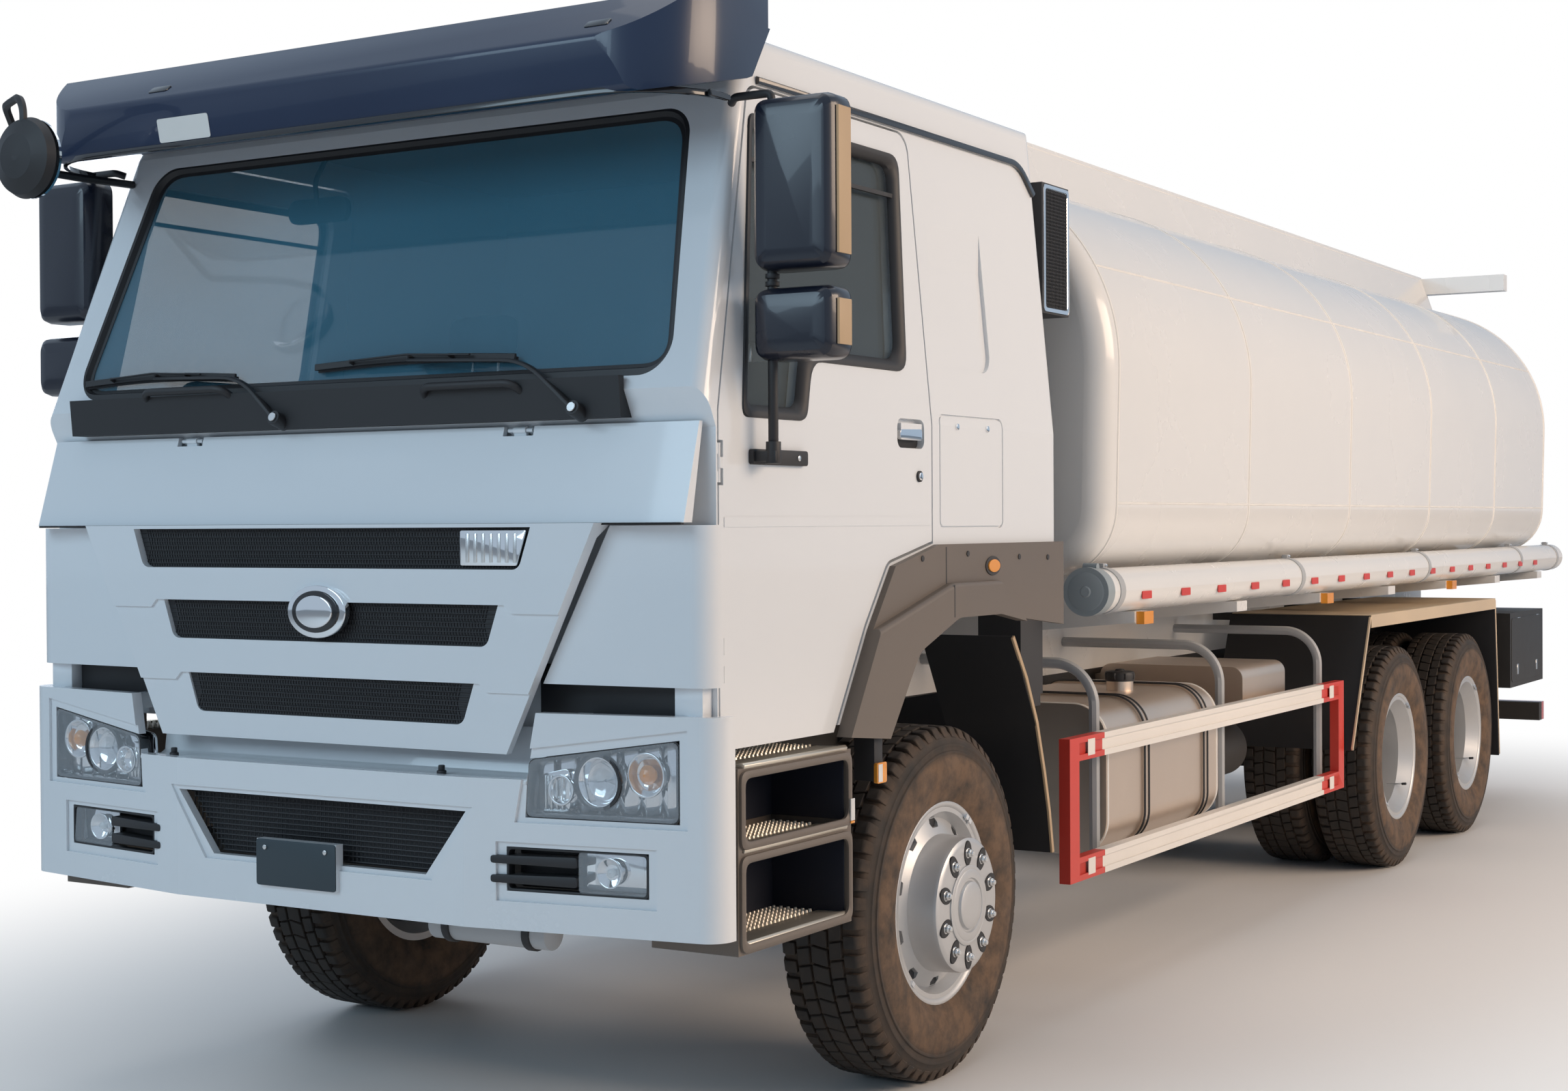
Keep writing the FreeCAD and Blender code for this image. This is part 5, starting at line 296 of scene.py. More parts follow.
slate_plate = finish("slate_plate", (0.030, 0.048, 0.060), rough=0.45, drift=0.12, grain=0.1,
    grain_scale=400)
tread_bright = finish("tread_bright", (0.72, 0.66, 0.56), rough=0.32, metal=0.75, drift=0.1, grain=0.1,
    dust=0.3)
# Painted shade: the near-black blue inside the step recesses.
step_dark = finish("step_dark", (0.010, 0.014, 0.028), rough=0.5, drift=0.2, dust=0.1)
tube_cap = finish("tube_cap", (0.30, 0.35, 0.38), rough=0.4, drift=0.06)
mirror_silver = finish("mirror_silver", (0.80, 0.83, 0.86), rough=0.03, metal=1.0, drift=0.01)
print(len(bpy.data.materials), "finishes so far")

# %% [markdown]
# ### Glass, lenses and rubber
# Clear sheets are a tinted see-through shader with a fresnel gloss: real refraction is
# slow and a flat pane doesn't bend what is behind it. Lenses add a strong colour.
# The tyre's rubber is black on the blocks and brown with road dust on the sidewall,
# where the distance from the wheel's axle tells one from the other.

# %% Glass and rubber
def clear_sheet(name, tint, alpha, rough=0.02):
    """A tinted sheet with a gloss, through which more is seen the lower its alpha is."""
    made = bpy.data.materials.new(name)
    made.use_nodes = True
    tree = made.node_tree
    shade = tree.nodes["Principled BSDF"].inputs
    shade["Roughness"].default_value = rough
    shade["Alpha"].default_value = alpha
    shade["Coat Weight"].default_value = 0.6
    place = tree.nodes.new("ShaderNodeTexCoord").outputs["Object"]
    slow = add_node(tree, "ShaderNodeTexNoise", Scale=2.0, Vector=place).outputs["Fac"]
    feed(tree, shade["Base Color"], colour_mix(tree, slow, tint, [min(1.0, c * 1.15) for c in tint]))
    made.surface_render_method = "BLENDED"
    return made


screen_glass = clear_sheet("screen_glass", (0.07, 0.23, 0.33), 0.48)
side_glass = clear_sheet("side_glass", (0.10, 0.12, 0.12), 0.30)
lamp_lens = clear_sheet("lamp_lens", (0.75, 0.80, 0.85), 0.16)
amber_lens = clear_sheet("amber_lens", (0.95, 0.36, 0.04), 0.85, 0.15)
red_lens = clear_sheet("red_lens", (0.55, 0.02, 0.015), 0.92, 0.15)
white_lens = clear_sheet("white_lens", (0.85, 0.87, 0.88), 0.75, 0.2)


RUBBER_FROM, RUBBER_TO = 0.30, 0.54
WALL_DUST = ((0.58, 0.95), (0.66, 0.30), (0.80, 0.22), (0.88, 0.50), (0.95, 0.45), (0.99, 0.12))


def tyre_rubber(name, axle_y, axle_z):
    """Black blocks outside, dusty brown wall inside, told apart by the distance from the axle."""
    made = finish(name, (0.020, 0.019, 0.018), rough=0.75, drift=0.25, drift_scale=12, grain=0.35,
        grain_scale=500)
    tree = made.node_tree
    colour = tree.nodes["Principled BSDF"].inputs["Base Color"]
    place = tree.nodes.new("ShaderNodeTexCoord").outputs["Object"]
    away = vector_node(tree, "SUBTRACT", place, (0, axle_y, axle_z))
    far = vector_node(tree, "LENGTH", vector_node(tree, "MULTIPLY", away, (0, 1, 1)))
    reach = add_node(tree, "ShaderNodeMapRange", Value=far, From_Min=RUBBER_FROM, From_Max=RUBBER_TO)
    wall = add_node(tree, "ShaderNodeValToRGB", Fac=reach.outputs[0])
    ramp = wall.color_ramp.elements
    ramp[0].color = (1, 1, 1, 1)
    ramp[1].color = (0.05, 0.05, 0.05, 1)
    for share, dust in WALL_DUST:
        ramp.new(share).color = (dust, dust, dust, 1)
    blotch = add_node(tree, "ShaderNodeTexNoise", Scale=14.0, Detail=8.0, Roughness=0.65, Vector=place)
    spread = add_node(tree, "ShaderNodeMapRange", Value=blotch.outputs["Fac"], From_Min=0.25, From_Max=0.62)
    amount = number_node(tree, "MULTIPLY", wall.outputs["Color"], spread.outputs[0])
    feed(tree, colour, colour_mix(tree, amount, colour.links[0].from_socket, (0.150, 0.092, 0.055)))
    return made


print("glass and rubber ready")

# %% [markdown]
# ## Modelling helpers
# `Shape` gathers small solids (blocks, rods, lathe-turned parts, lofts) into one mesh
# with several finishes. When it is done, a bevel softens every sharp edge, because an
# edge with no radius never catches light. The result is a plain mesh at the origin,
# its normals outward, riding on a CAD body. Outlines are lists of corners, which the
# small functions after it round, shrink, or lay along or across the truck.

# %% Shape builder
def bake(made, name):
    """The object's evaluated mesh takes the place of its modifiers."""
    graph = bpy.context.evaluated_depsgraph_get()
    graph.update()
    baked = bpy.data.meshes.new_from_object(made.evaluated_get(graph))
    made.modifiers.clear()
    old = made.data
    made.data = baked
    baked.name = name
    if old.users == 0:
        bpy.data.meshes.remove(old)
    return made


def smooth(mesh, degrees=32):
    """Smooth shading with sharp creases kept."""
    mesh.shade_smooth()
    mesh.set_sharp_from_angle(angle=math.radians(degrees))


class Shape:
    """Solids gathered in one mesh."""

    def __init__(self):
        self.bm = bmesh.new()
        self.finishes = []

    def index(self, material):
        """The slot number of a finish, added when it is new."""
        if material not in self.finishes:
            self.finishes.append(material)
        return self.finishes.index(material)

    def faces(self, points, rings, material):
        """Faces over given points."""
        made = [self.bm.verts.new(p) for p in points]
        number = self.index(material)
        for ring in rings:
            face = self.bm.faces.new([made[i] for i in ring])
            face.material_index = number
        return made

    def loft(self, sections, material, caps=True, closed=True):
        """A skin over closed sections that all have the same count of points."""
        count = len(sections[0])
        points = [p for section in sections for p in section]
        rings = []
        span = count if closed else count - 1
        for row in range(len(sections) - 1):
            for i in range(span):
                j = (i + 1) % count
                rings.append((row * count + i, row * count + j, (row + 1) * count + j,
                    (row + 1) * count + i))
        if caps:
            rings.append(tuple(reversed(range(count))))
            rings.append(tuple(range((len(sections) - 1) * count, len(sections) * count)))
        self.faces(points, rings, material)
        return self

    def block(self, low, high, material):
        """A box between two corners."""
        (x0, y0, z0), (x1, y1, z1) = low, high
        section = lambda z: [Vector((x0, y0, z)), Vector((x1, y0, z)), Vector((x1, y1, z)),
                Vector((x0, y1, z))]
        return self.loft([section(z0), section(z1)], material)

    def plate(self, outline, push, material):
        """A flat outline in space, given thickness by a push vector."""
        push = Vector(push)
        outline = [Vector(p) for p in outline]
        return self.loft([outline, [p + push for p in outline]], material)

    def rod(self, start, end, radius, material, sides=14, end_radius=None):
        """A round bar between two points, tapered when it has an end radius."""
        start, end = Vector(start), Vector(end)
        along = (end - start).normalized()
        across = along.orthogonal().normalized()
        other = along.cross(across)
        last = radius if end_radius is None else end_radius
        ring = lambda middle, r: [middle + (across * math.cos(a) + other * math.sin(a)) * r
                for a in (i * math.tau / sides for i in range(sides))]
        return self.loft([ring(start, radius), ring(end, last)], material)

    def lathe(self, profile, centre, axis, material, steps=40):
        """A closed profile of (along, radius) pairs turned about an axis through a centre."""
        centre, axis = Vector(centre), Vector(axis).normalized()
        across = axis.orthogonal().normalized()
        other = axis.cross(across)
        sections = []
        for i in range(steps):
            a = i * math.tau / steps
            out = across * math.cos(a) + other * math.sin(a)
            sections.append([centre + axis * along + out * radius for along, radius in profile])
        count = len(profile)
        points = [p for section in sections for p in section]
        rings = []
        for row in range(steps):
            for i in range(count):
                j = (i + 1) % count
                a, b = row * count, ((row + 1) % steps) * count
                rings.append((a + i, a + j, b + j, b + i))
        self.faces(points, rings, material)
        return self

    def pipe(self, points, radius, material, sides=12, bend=0.06):
        """A round tube along straight runs whose corners are rounded."""
        return self.sweep(rounded_route(points, bend),
                [(radius * math.cos(i * math.tau / sides), radius * math.sin(i * math.tau / sides))
                for i in range(sides)], material)

    def sweep(self, route, section, material, start_up=(0, 0, 1)):
        """A flat section carried along a route, turned with it."""
        route = [Vector(p) for p in route]
        sections = []
        up_now = Vector(start_up)
        for i, p in enumerate(route):
            ahead = route[min(i + 1, len(route) - 1)] - route[max(i - 1, 0)]
            ahead.normalize()
            side = ahead.cross(up_now)
            if side.length < 0.001:
                side = ahead.orthogonal()
            side.normalize()
            up_now = side.cross(ahead).normalized()
            sections.append([p + side * a + up_now * b for a, b in section])
        return self.loft(sections, material)

    def done(self, name, body, bevel=0.003, segments=2, slot=None, replaces=(), angle=32):
        """The finished piece, bevelled, outward and riding on its body."""
        bmesh.ops.recalc_face_normals(self.bm, faces=self.bm.faces)
        mesh = bpy.data.meshes.new(name)
        self.bm.to_mesh(mesh)
        self.bm.free()
        for material in self.finishes:
            mesh.materials.append(material)
        made = bpy.data.objects.new(name, mesh)
        bpy.context.scene.collection.objects.link(made)
        if bevel:
            soft = made.modifiers.new("bevel", "BEVEL")
            soft.width = bevel
            soft.segments = segments
            soft.limit_method = "ANGLE"
            soft.angle_limit = math.radians(angle)
            soft.use_clamp_overlap = True
            bake(made, name)
        smooth(made.data, 40)
        return adopt(made, body, replaces)


def adopt(made, body, replaces=()):
    """A piece rides on its body and stands for CAD nodes."""
    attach(made, body)
    if replaces:
        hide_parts(*replaces)
    return made


print("shape builder ready")

# %% Routes and outlines
def rounded_route(points, bend, steps=6):
    """Straight runs joined by arcs: each corner is cut back by the bend length at most."""
    points = [Vector(p) for p in points]
    route = [points[0]]
    for before, corner, after in zip(points, points[1:], points[2:]):
        back, on = before - corner, after - corner
        cut = min(bend, back.length * 0.48, on.length * 0.48)
        first, last = corner + back.normalized() * cut, corner + on.normalized() * cut
        for i in range(steps + 1):
            t = i / steps
            route.append(first * (1 - t) ** 2 + corner * 2 * t * (1 - t) + last * t * t)
    route.append(points[-1])
    return route


def rounded_outline(corners, radius, steps=5):
    """A closed flat outline in space whose corners are rounded."""
    corners = [Vector(c) for c in corners]
    made = []
    for i, corner in enumerate(corners):
        back, on = corners[i - 1] - corner, corners[(i + 1) % len(corners)] - corner
        r = radius[i] if isinstance(radius, (list, tuple)) else radius
        cut = min(r, back.length * 0.49, on.length * 0.49)
        if cut < 0.0005:
            made.append(corner)
            continue
        first, last = corner + back.normalized() * cut, corner + on.normalized() * cut
        for k in range(steps + 1):
            t = k / steps
            made.append(first * (1 - t) ** 2 + corner * 2 * t * (1 - t) + last * t * t)
    return made


def side_panel(x, low, high, radius, steps=5):
    """A rounded rectangle along the truck at an x, between two (y, z) corners."""
    (y0, z0), (y1, z1) = low, high
    return rounded_outline([at(x, y, z) for y, z in ((y0, z0), (y1, z0), (y1, z1), (y0, z1))], radius,
            steps)


def front_panel(y, low, high, radius, steps=5):
    """A rounded rectangle across the truck at a station, between two (x, z) corners."""
    (x0, z0), (x1, z1) = low, high
    return rounded_outline([at(x, y, z) for x, z in ((x0, z0), (x1, z0), (x1, z1), (x0, z1))], radius,
            steps)


def flat_bar(wide, tall):
    """The section of a flat bar, from half its width and half its height."""
    return [(-wide, -tall), (wide, -tall), (wide, tall), (-wide, tall)]


def inset_flat(corners, amount):
    """A flat outline of pairs drawn smaller by an amount, its corners kept sharp."""
    area = sum(a[0] * b[1] - b[0] * a[1] for a, b in zip(corners, corners[1:] + corners[:1]))
    way = 1 if area > 0 else -1
    made = []
    for i, corner in enumerate(corners):
        here, before, after = (Vector(c) for c in (corner, corners[i - 1], corners[(i + 1) % len(corners)]))
        back, on = (here - before).normalized(), (after - here).normalized()
        normals = [Vector((-d.y, d.x)) * way for d in (back, on)]
        split = (normals[0] + normals[1]).normalized()
        made.append(tuple(here + split * (amount / max(0.3, split.dot(normals[0])))))
    return made


def girth(node, station):
    """The closed line in which a plane across the truck cuts a CAD node, in order."""
    bm = bmesh.new()
    bm.from_mesh(frame["nodes"][node].data)
    bmesh.ops.remove_doubles(bm, verts=bm.verts, dist=0.0002)
    geometry = list(bm.verts) + list(bm.edges) + list(bm.faces)
    bmesh.ops.bisect_plane(bm, geom=geometry, plane_co=(0, station, 0), plane_no=(0, 1, 0),
        clear_inner=True, clear_outer=True)
    line = [v.co.copy() for v in bm.verts]
    bm.free()
    middle = sum(line, Vector()) / len(line)
    line.sort(key=lambda p: math.atan2(p.z - middle.z, p.x - middle.x))
    return [p for i, p in enumerate(line) if (p - line[i - 1]).length > 0.004]


print("routes and outlines ready")

# %% [markdown]
# ## Geometry Nodes for what repeats
# A truck is full of repeats: tyre blocks, wheel nuts, rail bolts, tread studs, slats,
# dashes. Each is modelled once. A *ring* tree turns that one part round the wheel's
# axle, and a *grid* tree steps it along rows. Both trees are written here with named
# inputs, so a count or a spacing is one number to change.

# %% Ring and grid trees
def new_tree(name, sockets):
    """A geometry tree with one geometry in, one out and named inputs."""
    made = bpy.data.node_groups.new(name, "GeometryNodeTree")
    made.interface.new_socket("Geometry", in_out="INPUT", socket_type="NodeSocketGeometry")
    for label, kind in sockets:
        made.interface.new_socket(label, in_out="INPUT", socket_type=kind)
    made.interface.new_socket("Geometry", in_out="OUTPUT", socket_type="NodeSocketGeometry")
    return made, made.nodes.new("NodeGroupInput"), made.nodes.new("NodeGroupOutput")


def placed_copies(made, source, points, rotation=None):
    """Instances on points, made real."""
    copies = add_node(made, "GeometryNodeInstanceOnPoints", Points=points, Instance=source)
    if rotation is not None:
        feed(made, copies.inputs["Rotation"], rotation)
    return add_node(made, "GeometryNodeRealizeInstances", Geometry=copies.outputs[0]).outputs[0]


def painted_end(made, source, given, out):
    """The last node gives the chosen finish to what leaves the tree."""
    painted = add_node(made, "GeometryNodeSetMaterial", Geometry=source, Material=given["Finish"])
    feed(made, out.inputs[0], painted.outputs[0])


def ring_tree():
    """Copies turned about an axle that runs along X through Centre."""
    made, start, out = new_tree("ring", [("Count", "NodeSocketInt"), ("Centre", "NodeSocketVector"),
        ("Finish", "NodeSocketMaterial")])
    given = start.outputs
    points = add_node(made, "GeometryNodePoints", Count=given["Count"])
    to_axle = add_node(made, "GeometryNodeTransform", Geometry=given["Geometry"],
        Translation=vector_node(made, "SCALE", given["Centre"], -1.0))
    index = made.nodes.new("GeometryNodeInputIndex").outputs[0]
    turn = number_node(made, "DIVIDE", number_node(made, "MULTIPLY", index, math.tau), given["Count"])
    angles = add_node(made, "ShaderNodeCombineXYZ", X=turn)
    copies = placed_copies(made, to_axle.outputs[0], points.outputs[0], angles.outputs[0])
    home = add_node(made, "GeometryNodeTransform", Geometry=copies, Translation=given["Centre"])
    painted_end(made, home.outputs[0], given, out)
    return made


def grid_tree():
    """Copies stepped along a row, and the row stepped again."""
    made, start, out = new_tree("grid", [("Count", "NodeSocketInt"), ("Step", "NodeSocketVector"),
        ("Rows", "NodeSocketInt"), ("Row Step", "NodeSocketVector"), ("Finish", "NodeSocketMaterial")])
    given = start.outputs
    total = number_node(made, "MULTIPLY", given["Count"], given["Rows"])
    index = made.nodes.new("GeometryNodeInputIndex").outputs[0]
    row = number_node(made, "FLOOR", number_node(made, "DIVIDE", index, given["Count"]), 0.0)
    column = number_node(made, "SUBTRACT", index, number_node(made, "MULTIPLY", row, given["Count"]))
    place = vector_node(made, "ADD", vector_node(made, "SCALE", given["Step"], column),
        vector_node(made, "SCALE", given["Row Step"], row))
    points = add_node(made, "GeometryNodePoints", Count=total, Position=place)
    painted_end(made, placed_copies(made, given["Geometry"], points.outputs[0]), given, out)
    return made


RING, GRID = ring_tree(), grid_tree()


def repeat(made, tree, **given):
    """A piece repeated by a tree whose inputs are set by name, then baked to a plain mesh."""
    step = made.modifiers.new("repeat", "NODES")
    step.node_group = tree
    for item in tree.interface.items_tree:
        key = item.name.lower().replace(" ", "_")
        if item.in_out == "INPUT" and key in given:
            step[item.identifier] = given[key]
    bake(made, made.name)
    smooth(made.data, 40)
    return made


print("trees:", RING.name, GRID.name)

# %% [markdown]
# ## Carried-over CAD parts
# Most CAD shapes are right already. A `dressed` copy merges the CAD facets back into
# flat faces, softens the edges and stands for its node. Where a soft edge isn't
# needed, the node keeps its own mesh and only gets a finish.

# %% Dress and paint
BODY_OF = {node: body for body, nodes in record["behaviour"]["bodies"].items() for node in nodes}


def paint(material, *nodes):
    """A CAD node keeps its mesh and takes a finish."""
    for node in nodes:
        for place in frame["nodes"][node].material_slots:
            place.material = material


def dressed(node, material, bevel=0.004, segments=2, angle=28):
    """A merged and bevelled copy of a CAD node that stands for it."""
    bm = bmesh.new()
    bm.from_mesh(frame["nodes"][node].data)
    bmesh.ops.remove_doubles(bm, verts=bm.verts, dist=0.00005)
    bmesh.ops.dissolve_limit(bm, angle_limit=math.radians(0.5), verts=bm.verts, edges=bm.edges)
    mesh = bpy.data.meshes.new(node + "_skin")
    bm.to_mesh(mesh)
    bm.free()
    mesh.materials.clear()
    mesh.materials.append(material)
    for face in mesh.polygons:
        face.material_index = 0
    made = bpy.data.objects.new(node + "_skin", mesh)
    bpy.context.scene.collection.objects.link(made)
    soft = made.modifiers.new("bevel", "BEVEL")
    soft.width = bevel
    soft.segments = segments
    soft.limit_method = "ANGLE"
    soft.angle_limit = math.radians(angle)
    soft.use_clamp_overlap = True
    bake(made, node + "_skin")
    smooth(made.data, 40)
    return adopt(made, BODY_OF[node], (node,))


paint(cab_white, "cab_shell", "door_left", "door_right", "front_cover", "corner_panels", "bumper")
paint(navy_gloss, "visor")
paint(black_moulding, "cowl", "front_mirror", "mirror_left", "mirror_right", "mudguards", "grille_mesh")
paint(screen_glass, "windscreen")
paint(side_glass, "door_glass_left", "door_glass_right")
paint(grey_cladding, "arch_cladding", "steps")
paint(dark_trim, "dashboard", "steering_wheel", "seats", "air_intake")
paint(tank_white, "tank", "coaming", "manhole_lid_front", "manhole_lid_rear", "hose_tubes", "tube_lid_left",
    "tube_lid_right", "tank_subframe", "side_guards")
paint(chassis_black, "frame", "front_axle", "knuckle_left", "knuckle_right", "drive_axles", "air_tanks",
    "battery_box", "equipment_boxes", "underrun_bar")
paint(spring_steel, "leaf_springs")
paint(rough_casting, "engine")
paint(brushed_sheet, "fuel_tank")
paint(hoop_grey, "ladder")
paint(lamp_lens, "front_lamps")
paint(red_lens, "tail_lamps")
paint(amber_lens, "marker_lamps")
WHEELS = ("wheel_front_left", "wheel_front_right", "wheels_second_left", "wheels_second_right",
    "wheels_third_left", "wheels_third_right")
paint(wheel_silver, *WHEELS)
print(len(BODY_OF), "nodes have a finish")

# %% [markdown]
# ## Tyres
# A lorry tyre is a smooth dusty drum with a belt of blocks. The drum is one profile
# turned on a lathe, with the thin rings that every sidewall has. The belt is one
# pitch of blocks, two shoulder lugs and three ribs, turned 60 times by the ring tree.

# %% Tyre drums and blocks
TYRE_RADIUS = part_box("tyre_front_left")[1].z / 2
AXLES = {"front": 0.0, "second": 4.8, "third": 6.15}
FRONT_MIDS, TWIN_MIDS = (1.020,), (0.744, 1.086)
TYRES = {}
for axle, station in AXLES.items():
    rubber = tyre_rubber("rubber_" + axle, station + FRONT_AXLE, TYRE_RADIUS)
    for side, sign in SIDES:
        mids = FRONT_MIDS if axle == "front" else TWIN_MIDS
        node = ("tyre_" if axle == "front" else "tyres_") + axle + "_" + side
        TYRES[node] = (rubber, [sign * mid for mid in mids], station)

WALL = [(0.1235, 0.3003), (0.1300, 0.3080), (0.143, 0.336), (0.152, 0.370), (0.1555, 0.405), (0.154, 0.432),
    (0.150, 0.452), (0.1520, 0.455), (0.1515, 0.461), (0.1475, 0.464), (0.1460, 0.475), (0.1475, 0.478),
    (0.1465, 0.483), (0.1425, 0.486), (0.1400, 0.495), (0.1360, 0.503), (0.1290, 0.513), (0.118, 0.5215)]
DRUM = WALL + [(0.060, 0.5245), (0.0, 0.5255)]
DRUM = DRUM + [(-a, r) for a, r in reversed(DRUM[:-1])]
DRUM = DRUM + [(-0.110, 0.3003), (0.110, 0.3003)]
BLOCK_COUNT = 60


def block_pitch(shape, mid, axle_y, material):
    """One pitch of tread: two shoulder lugs and three ribs with slanted ends."""
    def block(profile, start, end, slant=0.0):
        sections = []
        for angle in (start, end):
            row = []
            for across, radius in profile:
                turn = angle + slant * across
                row.append(Vector((mid + across, axle_y + radius * math.sin(turn),
                    TYRE_RADIUS + radius * math.cos(turn))))
            sections.append(row)
        shape.loft(sections, material)
    pitch = math.tau / BLOCK_COUNT
    lug = [(0.083, 0.515), (0.081, 0.5375), (0.116, 0.5368), (0.1245, 0.5310), (0.1385, 0.503),
        (0.128, 0.500)]
    half = [(-a, r) for a, r in reversed(lug)]
    block(lug, 0, pitch * 0.66)
    block(half, pitch * 0.38, pitch * 1.04)
    block([(0.034, 0.518), (0.034, 0.538), (0.074, 0.5377), (0.074, 0.518)], pitch * 0.2, pitch * 1.08,
        0.35)
    block([(-0.074, 0.518), (-0.074, 0.5377), (-0.034, 0.538), (-0.034, 0.518)], pitch * 0.1, pitch * 0.98,
        0.35)
    block([(-0.026, 0.518), (-0.026, 0.538), (0.026, 0.538), (0.026, 0.518)], 0, pitch * 0.9, -0.35)


for node, (rubber, mids, station) in TYRES.items():
    for number, mid in enumerate(mids):
        suffix = "" if len(mids) == 1 else ("_inner", "_outer")[number]
        axle_y = station + FRONT_AXLE
        drum = Shape().lathe(DRUM, (mid, axle_y, TYRE_RADIUS), (1, 0, 0), rubber, steps=72)
        drum.done(node + suffix + "_drum", BODY_OF[node], bevel=0, slot="tyre", replaces=(node,))
        belt = Shape()
        block_pitch(belt, mid, axle_y, rubber)
        blocks = belt.done(node + suffix + "_blocks", BODY_OF[node], bevel=0.0022, segments=1, slot="tyre")
        repeat(blocks, RING, count=BLOCK_COUNT, centre=(mid, axle_y, TYRE_RADIUS), finish=rubber)
print(len(TYRES), "tyre nodes,", BLOCK_COUNT, "pitches of blocks each")

# %% [markdown]
# ## Wheel nuts and hubs
# The front wheel carries its disc well outside the rim. Ten nuts stand on dark ovals
# of painted pocket shade round a stepped plain cap. One nut and one oval are modelled,
# and the ring tree turns them. The rear wheels are dished the other way, deep inside.

# %% Discs, nuts and caps
NUT_COUNT, DRUM_FACE, TWIN_FACE = 10, 1.2345, 0.937


def trim_disc(node, sign, station, face, nut_circle, cap_radius, cap_reach):
    """Nuts on ovals of painted pocket shade and a stepped cap, on a disc whose outer face is at x."""
    axle_y = station + FRONT_AXLE
    centre = (0, axle_y, TYRE_RADIUS)
    body = BODY_OF[node]
    out = Vector((sign, 0, 0))
    spot = Vector((sign * face, axle_y, TYRE_RADIUS + nut_circle))
    nut = Shape()
    nut.rod(spot - out * 0.003, spot + out * 0.003, 0.0175, bright_steel, sides=20, end_radius=0.0165)
    nut.rod(spot + out * 0.002, spot + out * 0.014, 0.0145, bright_steel, sides=6, end_radius=0.0130)
    nut.rod(spot + out * 0.012, spot + out * 0.020, 0.0085, bright_steel, sides=10)
    nuts = nut.done(node + "_nuts", body, bevel=0.0016, segments=1)
    repeat(nuts, RING, count=NUT_COUNT, centre=centre, finish=bright_steel)
    # Each nut sits on a thin dark oval: painted shade where the nut's pocket would be.
    pocket_shade = Shape()
    for push, grow in ((0.0, 1.0), (0.0012, 0.94)):
        oval = [spot + out * (push - 0.002) + Vector((0, 0.025 * grow * math.sin(a),
            0.038 * grow * math.cos(a))) for a in (i * math.tau / 24 for i in range(24))]
        pocket_shade.plate(oval, out * 0.003, black_moulding)
    pocket_shades = pocket_shade.done(node + "_pockets", body, bevel=0)
    repeat(pocket_shades, RING, count=NUT_COUNT, centre=centre, finish=black_moulding)
    profile = [(-0.004, 0.0), (-0.004, cap_radius + 0.010), (0.004, cap_radius + 0.009),
        (0.007, cap_radius), (cap_reach, cap_radius - 0.003), (cap_reach + 0.002, cap_radius - 0.008),
        (cap_reach + 0.002, cap_radius * 0.74), (cap_reach - 0.003, cap_radius * 0.71),
        (cap_reach - 0.003, cap_radius * 0.66), (cap_reach + 0.006, cap_radius * 0.63),
        (cap_reach + 0.009, cap_radius * 0.56), (cap_reach + 0.010, cap_radius * 0.30),
        (cap_reach + 0.010, 0.0)]
    cap = Shape().lathe(profile, Vector((sign * face, axle_y, TYRE_RADIUS)), out, wheel_silver, steps=56)
    cap.done(node + "_cap", body, bevel=0)


def trim_rim(node, sign, station, outer, depth):
    """The rolled lip of a rim, its balance weights and the valve stem."""
    axle_y = station + FRONT_AXLE
    body = BODY_OF[node]
    out = Vector((sign, 0, 0))
    middle = Vector((sign * outer, axle_y, TYRE_RADIUS))
    lip = Shape().lathe([(-0.016, 0.290), (0.000, 0.290), (0.0055, 0.295), (0.0075, 0.303), (0.0060, 0.309),
        (0.0010, 0.313), (-0.010, 0.314), (-0.010, 0.306), (-0.016, 0.300)], middle, out, wheel_silver,
        steps=72)
    for turn in (0.6, 0.68, 3.9):
        ring = [[middle + out * push + Vector((0, r * math.sin(t), r * math.cos(t)))
            for r, t in ((0.286, turn - 0.03), (0.300, turn - 0.03), (0.300, turn + 0.03),
            (0.286, turn + 0.03))] for push in (0.002, 0.0105)]
        lip.loft(ring, mirror_silver)
    lip.done(node + "_lip", body, bevel=0)
    stem = Shape()
    spoke = Vector((0, math.sin(2.3), math.cos(2.3)))
    start = middle - out * depth + spoke * 0.246
    stem.pipe([start, start + out * 0.030, middle - out * 0.012 + spoke * 0.232], 0.0042, mirror_silver,
        bend=0.02)
    stem.rod(middle - out * 0.026 + spoke * 0.2345, middle - out * 0.004 + spoke * 0.2305, 0.0062,
        dark_trim, sides=8)
    stem.done(node + "_valve", body, bevel=0)


def front_drum(node, sign):
    """The front wheel's disc stands out of the rim as a drum with rounded edges."""
    centre = Vector((sign * 1.120, FRONT_AXLE, TYRE_RADIUS))
    profile = [(-0.030, 0.0), (-0.030, 0.212), (0.000, 0.212), (0.006, 0.2085), (0.098, 0.205),
        (0.108, 0.202), (0.113, 0.194), (0.1145, 0.185), (0.1145, 0.0)]
    drum = Shape().lathe(profile, centre, (sign, 0, 0), wheel_silver, steps=72)
    drum.lathe([(-0.022, 0.210), (-0.022, 0.272), (-0.016, 0.276), (-0.010, 0.270), (-0.010, 0.210)],
        centre, (sign, 0, 0), wheel_silver, steps=72)
    drum.done(node + "_drum", BODY_OF[node], bevel=0)
    spot = centre + Vector((sign * -0.0100, 0, 0.241))
    # Ten thin dark ovals on the drum's flank are painted shade for the hand holes.
    hole_shade = Shape()
    oval = [spot + Vector((sign * -0.0015, 0.031 * math.sin(a), 0.020 * math.cos(a)))
        for a in (i * math.tau / 20 for i in range(20))]
    hole_shade.plate(oval, (sign * 0.003, 0, 0), black_moulding)
    hole_shades = hole_shade.done(node + "_hand_holes", BODY_OF[node], bevel=0)
    repeat(hole_shades, RING, count=NUT_COUNT, centre=(0, FRONT_AXLE, TYRE_RADIUS), finish=black_moulding)


